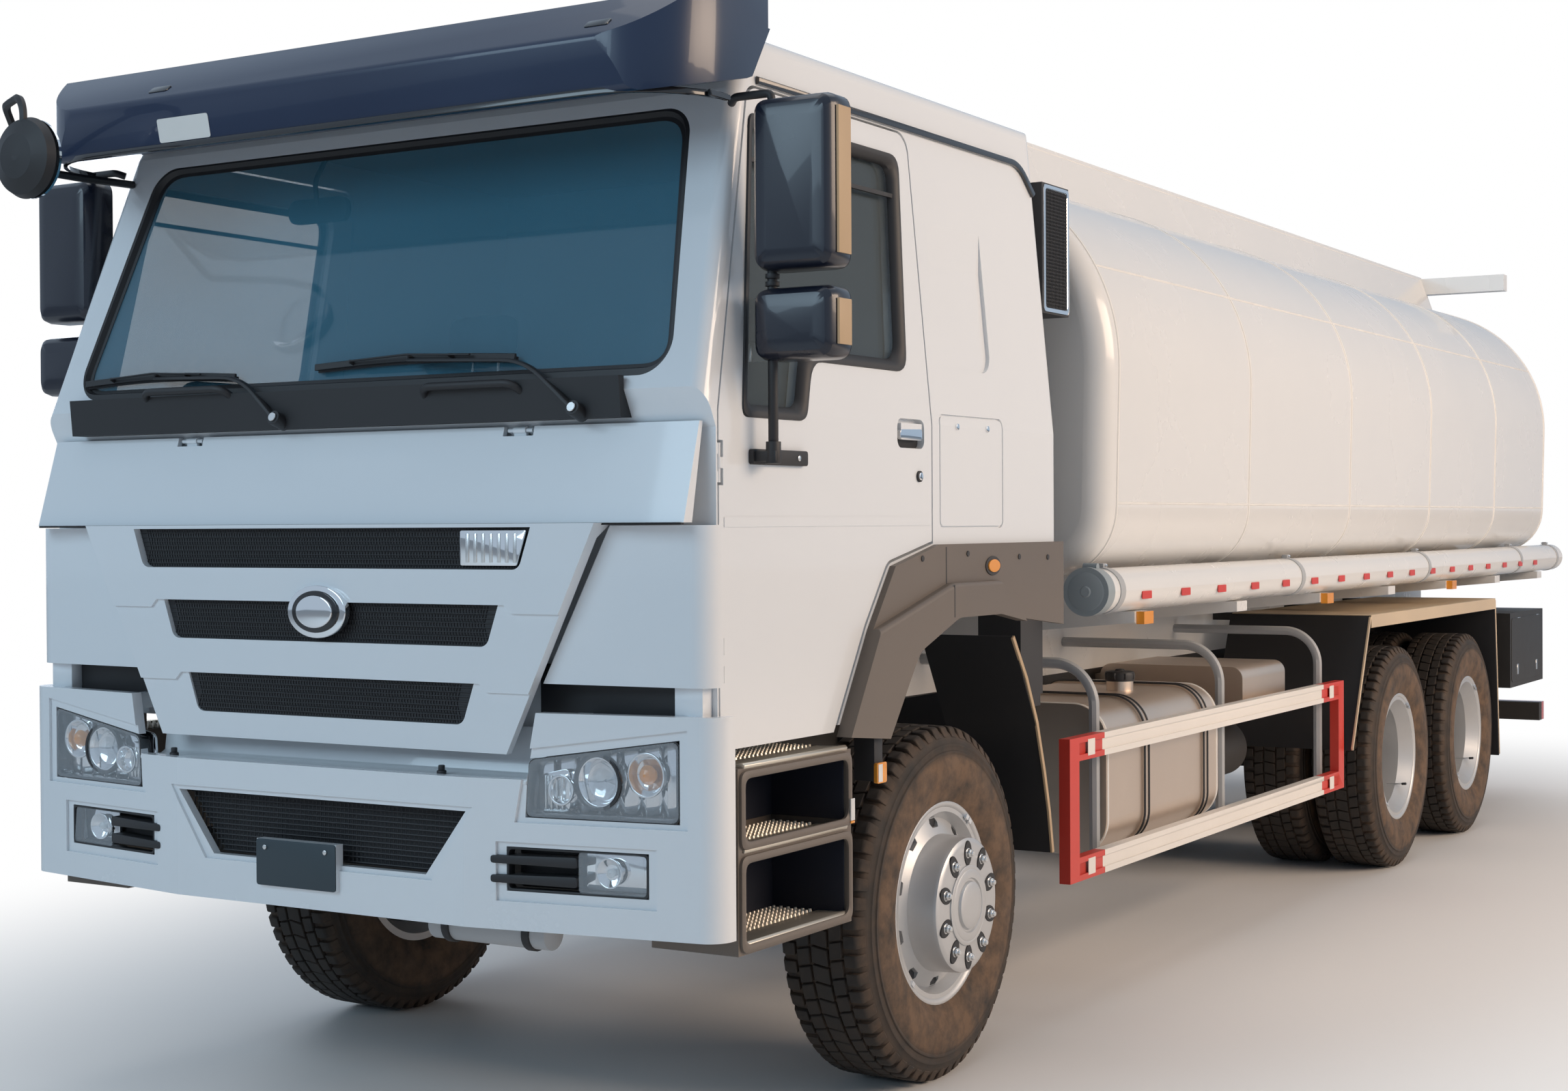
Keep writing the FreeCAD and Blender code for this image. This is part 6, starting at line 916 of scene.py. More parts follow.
for side, sign in SIDES:
    node = "wheel_front_" + side
    front_drum(node, sign)
    trim_disc(node, sign, AXLES["front"], DRUM_FACE, 0.157, 0.112, 0.006)
    trim_rim(node, sign, AXLES["front"], 1.143, 0.050)
    for axle in ("second", "third"):
        node = "wheels_" + axle + "_" + side
        trim_rim(node, sign, AXLES[axle], 1.209, 0.150)
        trim_disc(node, sign, AXLES[axle], TWIN_FACE, 0.160, 0.104, 0.030)
print("trim on", len(WHEELS), "wheels, front drum to x", DRUM_FACE)

# %% [markdown]
# ## Windscreen, wipers and visor
# Everything on the glass is placed with one function: an x, a height and a distance
# off the glass give the point in space. So the rubber, the wiper blades and the grab
# handles all follow the same rake, and stay on it if the rake changes.

# %% Rubber, wipers and grab handles
GLASS_LOW, GLASS_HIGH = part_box("windscreen")
GLASS_RISE = GLASS_HIGH.z - GLASS_LOW.z
GLASS_RUN = GLASS_HIGH.y - GLASS_LOW.y - 0.008
GLASS_OUT = Vector((0, -GLASS_RISE, GLASS_RUN)).normalized()


def on_screen(x, z, off=0.0):
    """A point over the windscreen, a distance off its outer face."""
    share = (z - GLASS_LOW.z) / GLASS_RISE
    return Vector((x, GLASS_LOW.y + GLASS_RUN * share, z)) + GLASS_OUT * off


def screen_ring(inset, off):
    """The rounded edge of the glass, drawn smaller by an inset."""
    foot, top = GLASS_LOW.z + inset, GLASS_HIGH.z - inset
    wide, narrow = 1.085 - inset, 0.985 - inset
    corners = [(-wide, foot), (wide, foot), (narrow, top), (-narrow, top)]
    return rounded_outline([on_screen(x, z, off) for x, z in corners], 0.09 - inset * 0.5, 8)


rubber = Shape()
rubber.loft([screen_ring(-0.004, 0.001), screen_ring(-0.004, 0.016), screen_ring(0.012, 0.018),
    screen_ring(0.020, 0.004), screen_ring(0.030, 0.0025), screen_ring(0.030, 0.001)], black_moulding,
    caps=False)
rubber.done("screen_rubber", "cab", bevel=0)

# Each wiper: the pivot's x and z, where its arm holds the blade, and the blade's two ends.
wipers = Shape()
WIPERS = ((-0.213, 1.995, -0.735, 2.118, -1.044, -0.427), (0.821, 1.990, 0.228, 2.132, -0.125, 0.581))
for pivot_x, pivot_z, hold_x, hold_z, left, right_end in WIPERS:
    foot = Vector((pivot_x, GLASS_LOW.y - 0.050, pivot_z))
    wipers.rod(foot + Vector((0, 0.02, -0.012)), foot + Vector((0, -0.03, 0.006)), 0.021, black_moulding)
    wipers.rod(foot + Vector((0, -0.03, 0.006)), foot + Vector((0, -0.036, 0.008)), 0.013, bright_steel)
    knee = on_screen(pivot_x + (hold_x - pivot_x) * 0.3, pivot_z + (hold_z - pivot_z) * 0.62 + 0.03, 0.055)
    hold = on_screen(hold_x, hold_z, 0.040)
    wipers.sweep(rounded_route([foot + Vector((0, -0.024, 0.004)), knee, hold], 0.08),
        [(-0.011, -0.004), (0.011, -0.004), (0.008, 0.005), (-0.008, 0.005)], black_moulding)
    blade = [on_screen(left + (right_end - left) * k / 10,
        hold_z - 0.002 + 0.012 * math.sin(math.pi * k / 10), 0.022) for k in range(11)]
    wipers.sweep(blade, [(-0.006, -0.006), (0.006, -0.006), (0.004, 0.012), (-0.004, 0.012)],
        black_moulding)
    edge = [p - GLASS_OUT * 0.012 for p in blade]
    wipers.sweep(edge, flat_bar(0.0022, 0.008), dark_trim)
    for share in (0.22, 0.5, 0.78):
        middle = blade[int(share * 10)]
        wipers.rod(middle, middle + GLASS_OUT * 0.022, 0.0055, black_moulding, sides=8)
    wipers.sweep([blade[2] + GLASS_OUT * 0.02, blade[5] + GLASS_OUT * 0.032, blade[8] + GLASS_OUT * 0.02],
        [(-0.004, -0.002), (0.004, -0.002), (0.004, 0.003), (-0.004, 0.003)], black_moulding)
wipers.done("wipers", "cab", bevel=0.0012, segments=1)

handles = Shape()
for first, last, height in ((-0.745, -0.399, 2.088), (0.304, 0.640, 2.066)):
    stand = GLASS_LOW.y - 0.075
    foot_y = GLASS_LOW.y - 0.014
    handles.pipe([(first, foot_y, height - 0.045), (first + 0.012, stand, height),
        (last - 0.012, stand, height), (last, foot_y, height - 0.045)], 0.011, black_moulding, bend=0.04)
    for x in (first, last):
        handles.rod((x, foot_y + 0.004, height - 0.047), (x, foot_y - 0.006, height - 0.042), 0.021,
            black_moulding)
handles.done("grab_handles", "cab", bevel=0.001, segments=1)
print("screen fittings on", BODY_OF["windscreen"])

# %% [markdown]
# ### Visor and what hangs near it
# The sun visor is one CAD solid with crisp folds. A copy gets a wide bevel, so that
# the folds catch light as moulded plastic does. A lip is swept along its lower edge,
# and the small lamps, the blank label and the cab's own mirror are thin plates.

# %% Visor, lamps, label and inside mirror
VISOR_LOW, VISOR_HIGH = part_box("visor")


def visor_route(z, y_front, sink, stop=1.0):
    """Along the visor's front at a height, round both corners."""
    half, corner = VISOR_HIGH.x - sink, 0.26
    route = [Vector((-half, y_front + corner * 1.6 * stop, z))]
    for k in range(9):
        a = math.pi / 2 * k / 8
        route.append(Vector((-half + corner - corner * math.cos(a), y_front + corner - corner * math.sin(a),
            z)))
    return route + [Vector((-p.x, p.y, p.z)) for p in reversed(route)]


dressed("visor", navy_gloss, bevel=0.010, segments=3, angle=20)
trim = Shape()
lip_y = at(0, -1.470, 0).y
trim.sweep(visor_route(VISOR_LOW.z + 0.004, lip_y - 0.001, 0.002, 0.4),
    [(-0.007, -0.006), (0.007, -0.006), (0.007, 0.010), (-0.003, 0.012)], black_gloss)
trim.done("visor_lip", "cab", bevel=0.002, segments=1)
lamps = Shape()
for x, z in ((0.921, 2.956), (-0.621, 2.950)):
    y = at(0, -1.500, 0).y + abs(z - 2.92) * 1.31 + 0.002
    seat = rounded_outline([(x - 0.045, y, z - 0.014), (x + 0.045, y, z - 0.014),
        (x + 0.045, y + 0.032, z + 0.014), (x - 0.045, y + 0.032, z + 0.014)], 0.010)
    lamps.plate(seat, (0, -0.005, 0.004), black_moulding)
    inner = rounded_outline([(x - 0.037, y - 0.004, z - 0.008), (x + 0.037, y - 0.004, z - 0.008),
        (x + 0.037, y + 0.019, z + 0.012), (x - 0.037, y + 0.019, z + 0.012)], 0.008)
    lamps.plate(inner, (0, -0.006, 0.005), black_gloss)
lamps.done("visor_lamps", "cab", bevel=0.0015, segments=2)
# A dark plate over the header above the glass is painted shade from the visor.
painted_header_shade = Shape()
header = [on_screen(x, z, 0.0015) for x, z in ((-0.985, 2.806), (0.985, 2.806), (0.975, 2.848),
    (-0.975, 2.848))]
painted_header_shade.plate(header, GLASS_OUT * 0.003, black_moulding)
painted_header_shade.done("header_shade", "cab", bevel=0)
label = Shape()
visor_face = lambda x, z: at(x, -1.4757 - (z - 2.80) * 0.2064, z)
corners = rounded_outline([visor_face(x, z)
    for x, z in ((-0.600, 2.796), (-0.400, 2.796), (-0.400, 2.862), (-0.600, 2.862))], 0.008, 3)
label.plate(corners, (0, -0.0012, -0.0003), guard_white)
label.done("visor_label_blank", "cab", bevel=0)
hanging = Shape()
hanging.plate(front_panel(-1.040, (-0.500, 2.600), (-0.270, 2.672), 0.034, 6), (0, -0.022, 0),
    black_moulding)
hanging.plate(front_panel(-1.039, (-0.492, 2.608), (-0.278, 2.664), 0.028, 6), (0, 0.002, 0), mirror_silver)
hanging.pipe([at(-0.385, -1.062, 2.650), at(-0.385, -1.070, 2.720), at(-0.385, -1.020, 2.800)], 0.008,
    black_moulding, bend=0.02)
hanging.done("cab_mirror", "cab", bevel=0.003, segments=2)
print("visor", [round(v, 3) for v in VISOR_LOW], [round(v, 3) for v in VISOR_HIGH])

# %% [markdown]
# ## Grille and oval
# Behind each slot lies a woven mesh: one wire is modelled and the grid tree steps it
# across, because a net drawn in a picture would show no depth. A plain bright oval in
# three layers sits in the middle of the shield, and one dark seam closes its top: a
# panel joint, drawn dark as a painted shadow under the upper panel's edge.

# %% Slot meshes and front oval
MESH_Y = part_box("grille_mesh")[0].y - 0.0015
SLOTS = ((0.719, 1.690), (0.607, 1.488), (0.519, 1.281))
SLOT_TALL, SLOT_END, SLOT_LEAN = 0.110, 0.045, 0.35
WIRE_STEP = 0.010


def slot_width(half, top, z):
    """Half the width of a slot at a height, between its slanted ends."""
    return half - (top - z) * SLOT_LEAN


for number, (half, top) in enumerate(SLOTS, start=1):
    weave = Shape()
    for lean in (1, -1):
        x0 = -half + SLOT_END
        weave.rod((x0 - lean * 0.014, MESH_Y, top - SLOT_TALL + 0.004),
            (x0 + lean * 0.014, MESH_Y, top - 0.004), 0.0016, black_moulding, sides=5)
    upright = weave.done("slot_%d_wires" % number, "front_cover", bevel=0)
    repeat(upright, GRID, count=int((half - SLOT_END) * 2 / WIRE_STEP), step=(WIRE_STEP, 0, 0), rows=1,
        row_step=(0, 0, 0), finish=black_moulding)
    bars = Shape()
    for row in range(1, 9):
        z = top - SLOT_TALL + row * SLOT_TALL / 9
        reach = slot_width(half, top, z) - 0.004
        bars.rod((-reach, MESH_Y - 0.002, z), (reach, MESH_Y - 0.002, z), 0.0014, black_moulding, sides=5)
    bars.done("slot_%d_bars" % number, "front_cover", bevel=0)

badge = Shape()
badge_y = at(0, -1.478 + 0.004, 0).y
for size, depth, metal in ((1.0, 0.010, chrome), (0.80, 0.016, black_gloss), (0.62, 0.021, chrome)):
    outline = [Vector((0.105 * size * math.cos(a), badge_y, 1.462 + 0.072 * size * math.sin(a)))
        for a in (i * math.tau / 48 for i in range(48))]
    badge.plate(outline, (0, -depth - 0.012, 0), metal)
badge.done("front_badge", "front_cover", bevel=0.003, segments=3)

# The dark seam under the upper panel's edge is a panel joint and a painted shadow.
seam_and_painted_shadow = Shape()
front_y = at(0, -1.440, 0).y
seam_and_painted_shadow.block((-1.160, front_y - 0.003, 1.6945), (1.160, front_y + 0.010, 1.7005), black_moulding)
seam_and_painted_shadow.done("cover_seam", "front_cover", bevel=0)
print("front oval at y", round(badge_y, 3))

# %% [markdown]
# ### Places on the bumper
# The bumper is straight in the middle and swept back at its ends. `on_bumper` knows
# that shape, so that a lamp can be drawn flat, as a list of x and z, and still lies
# in the swept face at any depth. Plates and bands are both built on it.

# %% Bumper helpers
MID_HALF, SIDE_HALF = 0.520, 1.244
FRONT_Y, SWEEP_Y = at(0, -1.510, 0).y, at(0, -1.402, 0).y


def on_bumper(x, z, sink=0.0):
    """A point on the bumper's swept front, pushed in by a depth."""
    share = max(0.0, (abs(x) - MID_HALF) / (SIDE_HALF - MID_HALF))
    return Vector((x, FRONT_Y + (SWEEP_Y - FRONT_Y) * share + sink, z))


def lamp_plate(shape, corners, sink, thick, material, radius=0.02):
    """A rounded plate that follows the bumper's sweep, from a depth to a depth."""
    outline = rounded_outline([on_bumper(x, z, sink) for x, z in corners], radius, 4)
    shape.plate(outline, (0, thick, 0), material)


def grown(corners, amount):
    """The corners moved away from their middle."""
    mid_x = sum(c[0] for c in corners) / len(corners)
    mid_z = sum(c[1] for c in corners) / len(corners)
    return [(x + (amount if x > mid_x else -amount), z + (amount if z > mid_z else -amount))
            for x, z in corners]


def ring_band(shape, corners, sink_out, sink_in, wide, material, radius=0.02):
    """A band round an opening, from one depth to another."""
    outer = lambda sink, amount: rounded_outline([on_bumper(x, z, sink) for x, z in grown(corners, amount)],
            radius, 4)
    shape.loft([outer(sink_out, 0.0), outer(sink_out, -wide), outer(sink_in, -wide), outer(sink_in, 0.0)],
        material, caps=False)


print("bumper swept from x", MID_HALF, "to", SIDE_HALF)

# %% [markdown]
# ### Headlamps and fog lamps
# Light falls through the clear cover onto a fluted reflector, three bowls of unlike
# size, a bulb shield and an amber bulb. Each of them is turned on the lathe or is a
# row of slanted plates, because a painted picture of a lamp stays flat in any light.

# %% Headlamps and fog lamps
HEAD = ((0.695, 0.942), (1.130, 0.942), (1.130, 1.154), (0.705, 1.094))
FOG = ((0.640, 0.750), (1.044, 0.750), (1.044, 0.865), (0.640, 0.865))
for side, sign in SIDES:
    head = [(sign * x, z) for x, z in HEAD]
    fog = [(sign * x, z) for x, z in FOG]
    lamp = Shape()
    ring_band(lamp, grown(head, -0.001), 0.010, 0.060, 0.010, black_gloss)
    lamp_plate(lamp, grown(head, -0.004), 0.072, 0.006, chrome)
    lamp_plate(lamp, [(sign * x, z) for x, z in ((0.712, 0.955), (0.800, 0.955), (0.800, 1.070),
        (0.712, 1.050))], 0.045, 0.030, chrome)
    for k in range(14):
        near, far_x = 0.706 + k * 0.030, 0.706 + (k + 1) * 0.030
        deep = (0.072, 0.059) if k % 2 else (0.059, 0.072)
        flute = [on_bumper(sign * x, z, sink) for x, z, sink in ((near, 0.948, deep[0]),
            (far_x, 0.948, deep[1]), (far_x, 1.088 + (far_x - 0.705) * 0.136, deep[1]),
            (near, 1.088 + (near - 0.705) * 0.136, deep[0]))]
        lamp.plate(flute, (0, 0.003, 0), chrome)
    for x, z, r, bulb in ((0.898, 1.040, 0.066, True), (1.030, 1.062, 0.058, False),
            (0.790, 1.015, 0.040, False)):
        centre = on_bumper(sign * x, z, 0.058)
        lamp.lathe([(0.0, 0.004), (0.0, r * 0.55), (-0.012, r * 0.80), (-0.034, r), (-0.040, r),
            (-0.040, r - 0.006), (-0.016, r * 0.74), (-0.006, r * 0.45), (-0.006, 0.004)], centre,
            (0, 1, 0), chrome, steps=36)
        if bulb:
            lamp.lathe([(-0.034, r + 0.001), (-0.034, r + 0.010), (-0.046, r + 0.008), (-0.046, r - 0.002)],
                centre, (0, 1, 0), black_gloss, steps=36)
            lamp.lathe([(-0.010, 0.001), (-0.010, 0.030), (-0.026, 0.036), (-0.040, 0.026),
                (-0.046, 0.001)], centre, (0, 1, 0), lamp_lens, steps=28)
        elif r > 0.05:
            lamp.lathe([(-0.010, 0.001), (-0.012, 0.020), (-0.030, 0.026), (-0.044, 0.016),
                (-0.050, 0.001)], centre, (0, 1, 0), amber_lens, steps=24)
    for k in range(4):
        x = sign * (0.735 + k * 0.016)
        lamp.block(on_bumper(x - 0.004, 0.962, 0.036), on_bumper(x + 0.004, 1.050, 0.050), bright_steel)
    lamp.done("headlamp_" + side, "cab", bevel=0.002, segments=2, slot="lamp_clear",
        replaces=("front_lamps",))
    cover = Shape()
    lamp_plate(cover, grown(head, -0.003), 0.006, 0.003, lamp_lens, 0.022)
    cover.done("headlamp_cover_" + side, "cab", bevel=0.001, segments=1, slot="lamp_clear")
    low = Shape()
    outer = [(sign * x, z) for x, z in ((0.850, 0.757), (1.036, 0.757), (1.024, 0.859), (0.850, 0.859))]
    ring_band(low, grown(fog, -0.001), 0.008, 0.034, 0.006, black_moulding, 0.012)
    lamp_plate(low, grown(fog, -0.004), 0.062, 0.006, black_moulding, 0.012)
    lamp_plate(low, outer, 0.040, 0.010, chrome, 0.014)
    centre = on_bumper(sign * 0.925, 0.808, 0.046)
    low.lathe([(0.0, 0.004), (0.0, 0.022), (-0.012, 0.036), (-0.026, 0.040), (-0.026, 0.036),
        (-0.004, 0.018), (-0.004, 0.004)], centre, (0, 1, 0), chrome, steps=30)
    low.lathe([(-0.004, 0.001), (-0.006, 0.010), (-0.018, 0.012), (-0.024, 0.001)], centre, (0, 1, 0),
        white_lens, steps=20)
    for z in (0.782, 0.832):
        fin = [on_bumper(sign * 0.845, z - 0.014, 0.004), on_bumper(sign * 0.845, z + 0.014, 0.004),
            on_bumper(sign * 0.600, z + 0.010, -0.003), on_bumper(sign * 0.600, z - 0.010, -0.003)]
        low.plate(rounded_outline(fin, 0.008, 3), (0, 0.050, 0), black_moulding)
    low.done("fog_lamp_" + side, "cab", bevel=0.0015, segments=2, slot="lamp_clear")
    pane = Shape()
    lamp_plate(pane, grown(outer, 0.003), 0.008, 0.003, lamp_lens, 0.014)
    pane.done("fog_cover_" + side, "cab", bevel=0.001, segments=1, slot="lamp_clear")
print("lamps stand for front_lamps, with clear covers over them")

# %% [markdown]
# ### Lower intake and plate
# The mouth under the grille is closed by a net of bars and wires, with a dark sheet of
# painted shade behind it, or the road would show through. A bare plate
# stands before it on two screws.

# %% Intake net and bare plate
intake = Shape()
back = at(0, -1.462, 0).y
for row in range(12):
    z = 0.782 + row * 0.0145
    half = 0.520 - (0.950 - z) / 0.175 * 0.135
    intake.rod((-half + 0.004, back, z), (half - 0.004, back, z), 0.0022, black_moulding, sides=5)
intake.done("intake_bars", "cab", bevel=0)
mesh_wire = Shape()
mesh_wire.rod((-0.500, back + 0.003, 0.780), (-0.500, back + 0.003, 0.948), 0.0018, black_moulding, sides=5)
wires = mesh_wire.done("intake_wires", "cab", bevel=0)
repeat(wires, GRID, count=70, step=(0.01449, 0, 0), rows=1, row_step=(0, 0, 0), finish=black_moulding)
# The dark sheet behind the net is painted shade for the space behind the intake.
backing_and_painted_shade = Shape()
backing_and_painted_shade.plate([(-0.520, back + 0.012, 0.950), (-0.385, back + 0.012, 0.775), (0.385, back + 0.012, 0.775),
    (0.520, back + 0.012, 0.950)], (0, 0.004, 0), dark_trim)
backing_and_painted_shade.done("intake_shade", "cab", bevel=0)
plate = Shape()
plate_y = at(0, -1.5225, 0).y
plate.plate(front_panel(-1.5225, (-0.200, 0.706), (0.090, 0.834), 0.010), (0, -0.003, 0), slate_plate)
for x in (-0.165, 0.055):
    plate.rod((x, plate_y - 0.002, 0.812), (x, plate_y - 0.008, 0.812), 0.007, bright_steel, sides=10)
plate.done("plate_blank", "cab", bevel=0.0012, segments=2)
print("intake mesh and blank plate")

# %% [markdown]
# ### What the gaps show
# Between cover and bumper the eye looks into the truck. There it meets a white shelf
# with two rubber stops, and the corner gaps are filled with painted shade: dark plates.
# A bright ribbed strip shows in one slot.

# %% Panels behind the gaps
backing_and_painted_shade = Shape()
shelf = ((-1.478, 1.036), (-1.400, 1.036), (-1.384, 1.044), (-1.366, 1.165), (-1.360, 1.165),
    (-1.376, 1.034), (-1.398, 1.026), (-1.478, 1.026))
backing_and_painted_shade.loft([[at(x, y, z) for y, z in shelf] for x in (-0.700, 0.700)], cab_white)
for x in (-0.590, 0.400):
    backing_and_painted_shade.rod(at(x, -1.452, 1.030), at(x, -1.452, 1.046), 0.013, black_moulding, sides=16)
    backing_and_painted_shade.rod(at(x, -1.452, 1.044), at(x, -1.452, 1.060), 0.009, black_moulding, sides=12)
# In each corner gap a dark plate is painted shade, with a white bracket at its outer end.
for sign in (1, -1):
    corner_gap_shade = front_panel(-1.337, (sign * 0.650, 1.190), (sign * 1.090, 1.330), 0)
    backing_and_painted_shade.plate(corner_gap_shade, (0, -0.010, 0), black_moulding)
    backing_and_painted_shade.block(at(sign * 1.096, -1.380, 1.200), at(sign * 1.180, -1.336, 1.290), cab_white)
backing_and_painted_shade.done("bumper_shelf", "cab", bevel=0.002, segments=2)
strip = Shape()
strip_y = MESH_Y - 0.007
strip_corners = [Vector((x, strip_y, z)) for x, z in ((0.482, 1.590), (0.668, 1.590), (0.700, 1.682),
    (0.482, 1.682))]
strip.plate(rounded_outline(strip_corners, 0.006, 3), (0, -0.006, 0), chrome)
for k in range(7):
    x = 0.502 + k * 0.026
    strip.block((x, strip_y - 0.0085, 1.598), (x + 0.010, strip_y - 0.004, 1.674), bright_steel)
strip.done("slot_strip", "front_cover", bevel=0.0015, segments=2)
print("gap panels and slot strip")

# %% [markdown]
# ## Cab sides
# The doors stand upright to the belt and lean in above it. One function gives the x of
# the side at any height, so rubbers, locks and seams lie on the skin. The left and
# the right are the same pieces with the sign of x turned.

# %% Window rubbers, lock, lever and crease
BELT, GUTTER, CAB_HALF, TOP_HALF = 1.985, 2.885, 1.195, 1.110


def on_flank(sign, y, z, off=0.0):
    """A point on the cab's side skin, a distance off it."""
    lean = max(0.0, (z - BELT) / (GUTTER - BELT)) * (CAB_HALF - TOP_HALF)
    return at(sign * (CAB_HALF - lean + off), y, z)


WINDOW = [(-1.195, 1.985), (-0.900, 1.985), (-0.845, 2.150), (-0.300, 2.150), (-0.235, 2.765),
    (-1.040, 2.765)]
WINDOW_ROUND = (0.033, 0.033, 0.060, 0.055, 0.055, 0.033)


def window_ring(sign, inset, off):
    """The window's edge on the leaning side, smaller by an inset."""
    pairs = inset_flat(WINDOW, inset)
    return rounded_outline([on_flank(sign, y, z, off) for y, z in pairs], WINDOW_ROUND, 5)


for side, sign in SIDES:
    door = "door_" + side
    rubber = Shape()
    rubber.loft([window_ring(sign, -0.016, 0.0005), window_ring(sign, -0.014, 0.006),
        window_ring(sign, -0.002, 0.007), window_ring(sign, 0.006, 0.002), window_ring(sign, 0.016, -0.006),
        window_ring(sign, 0.020, -0.020), window_ring(sign, 0.000, -0.022)], black_moulding, caps=False)
    rubber.block(on_flank(sign, -1.055, 2.650, -0.016), on_flank(sign, -0.252, 2.662, -0.004),
        black_moulding)
    rubber.done("window_rubber_" + side, door, bevel=0)
    fittings = Shape()
    lock = on_flank(sign, -0.231, 1.831)
    fittings.rod(lock - Vector((sign * 0.004, 0, 0)), lock + Vector((sign * 0.006, 0, 0)), 0.0165,
        black_moulding, sides=24)
    fittings.rod(lock, lock + Vector((sign * 0.009, 0, 0)), 0.0115, chrome, sides=20)
    fittings.block(lock + Vector((sign * 0.0085, -0.0012, -0.006)),
        lock + Vector((sign * 0.0096, 0.0012, 0.006)), dark_trim)
    base = side_panel(sign * 1.1725, (-0.362, 1.915), (-0.199, 1.983), 0.02)
    fittings.plate(base, (sign * 0.002, 0, 0), black_moulding)
    lever_edge = ((-0.350, 1.936), (-0.214, 1.936), (-0.214, 1.970), (-0.350, 1.966))
    lever = rounded_outline([at(sign * 1.180, y, z) for y, z in lever_edge], 0.012)
    fittings.plate(lever, (sign * 0.018, 0, 0), mirror_silver)
    fittings.done("door_fittings_" + side, door, bevel=0.002, segments=2)
    crease = Shape()
    soft = [(-0.013, -0.002), (-0.004, 0.0035), (0.004, 0.0035), (0.013, -0.002)]
    crease.sweep([at(sign * CAB_HALF, -1.300, 1.700), at(sign * CAB_HALF, -0.160, 1.700)],
        [(b * sign * -1, a) for a, b in soft], cab_white)
    crease.done("door_crease_" + side, door, bevel=0)
    gutter = Shape()
    route = rounded_route([on_flank(sign, -1.000, 2.872, 0.006), on_flank(sign, 0.640, 2.872, 0.006),
        on_flank(sign, 0.735, 2.780, 0.006)], 0.06)
    gutter.sweep(route, [(-0.005, -0.010), (0.005, -0.010), (0.007, 0.008), (-0.004, 0.012)], black_gloss)
    for y in (-0.46, 0.02, 0.50):
        spot = at(sign * 1.080, y, 2.955)
        gutter.rod(spot - Vector((0, 0, 0.03)), spot + Vector((0, 0, 0.006)), 0.016, black_moulding,
            end_radius=0.011)
    gutter.done("roof_gutter_" + side, "cab", bevel=0.001, segments=1)
    locker = Shape()
    for y in (0.020, 0.230):
        spot = on_flank(sign, y, 1.985)
        locker.rod(spot - Vector((sign * 0.003, 0, 0)), spot + Vector((sign * 0.005, 0, 0)), 0.010, chrome,
            sides=16)
    locker.done("locker_locks_" + side, "cab", bevel=0.001)
print("side trim at x", CAB_HALF)

# %% [markdown]
# ### Door mirrors
# Each arm carries a tall mirror and a short wide-angle one. A housing is a loft of
# rounded outlines that shrink towards its front, which gives it the soft nose of a
# moulding, and the glass lies in the flat back. They swing with the door.

# %% Mirror heads
def mirror_head(shape, sign, low, high):
    """A rounded housing whose outer edge is a tan painted highlight, with a silver glass set in its back.
    """
    x0, x1 = 1.214, 1.4535
    def outline(shrink, y):
        return rounded_outline([at(sign * x, y, z)
                for x, z in ((x0 + shrink, low + shrink), (x1 - shrink, low + shrink),
                (x1 - shrink, high - shrink), (x0 + shrink, high - shrink))],
                max(0.012, 0.040 - shrink * 0.5), 6)
    shape.loft([outline(0.000, -1.098), outline(0.000, -1.160), outline(0.006, -1.184),
        outline(0.020, -1.198), outline(0.050, -1.2035)], navy_black)
    shape.loft([outline(0.000, -1.097), outline(0.000, -1.0955), outline(0.008, -1.0955),
        outline(0.010, -1.101)], black_moulding, caps=False)
    shape.plate(outline(0.012, -1.0985), (0, 0.0015, 0), mirror_silver)
    # The tan strip on the housing's outer edge is a painted highlight.
    shape.loft([[at(sign * x, y, z) for x, y in ((1.4535, -1.170), (1.4590, -1.166), (1.4590, -1.104),
        (1.4535, -1.098))] for z in (low + 0.035, high - 0.035)], tan_edge)


for side, sign in SIDES:
    heads = Shape()
    mirror_head(heads, sign, 2.342, 2.783)
    mirror_head(heads, sign, 2.112, 2.298)
    arm_x = sign * 1.252
    heads.pipe([at(arm_x, -1.150, 1.876), at(arm_x, -1.150, 2.345)], 0.0135, black_moulding)
    heads.pipe([at(arm_x, -1.150, 2.765), at(arm_x, -1.150, 2.800), at(sign * 1.140, -1.150, 2.800),
        at(sign * 1.118, -1.130, 2.790)], 0.0110, black_moulding, bend=0.03)
    foot = side_panel(sign * 1.1953, (-1.180, 1.848), (-0.900, 1.888), 0.010)
    heads.plate(foot, (sign * 0.014, 0, 0), black_moulding)
    heads.loft([[at(sign * x, y, z) for x, y in ((1.206, -1.172), (1.268, -1.166), (1.268, -1.134),
        (1.206, -1.070))] for z in (1.856, 1.882)], black_moulding)
    heads.rod(at(arm_x, -1.150, 1.850), at(arm_x, -1.150, 1.906), 0.020, black_moulding)
    for z in (2.310, 2.330):
        heads.rod(at(arm_x, -1.150, z - 0.006), at(arm_x, -1.150, z + 0.006), 0.019, black_moulding)
    for y in (-1.10, -0.95):
        heads.rod(at(sign * 1.206, y, 1.868), at(sign * 1.213, y, 1.868), 0.008, bright_steel, sides=8)
    heads.done("mirror_" + side + "_head", "door_" + side, bevel=0.0015, segments=2,
        replaces=("mirror_" + side,))
front = Shape()
front_low, front_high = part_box("front_mirror")
face_y = at(0, -1.750, 0).y
front.lathe([(0.0, 0.0), (0.0, 0.100), (-0.004, 0.106), (-0.004, 0.112), (0.004, 0.112), (0.007, 0.106),
    (0.0045, 0.060), (0.006, 0.0)], (-0.850, face_y + 0.0345, 2.740), (0, 1, 0), mirror_silver, steps=40)
front.done("front_mirror_glass", "cab", bevel=0)
print("front mirror spans y", round(front_low.y - FRONT_AXLE, 3), round(front_high.y - FRONT_AXLE, 3))

# %% [markdown]
# ## Steps, arch and flap
# The step boxes have bright studded treads. One stud is modelled and the grid tree
# steps it over each tread. A reflector stands at the arch's front end.

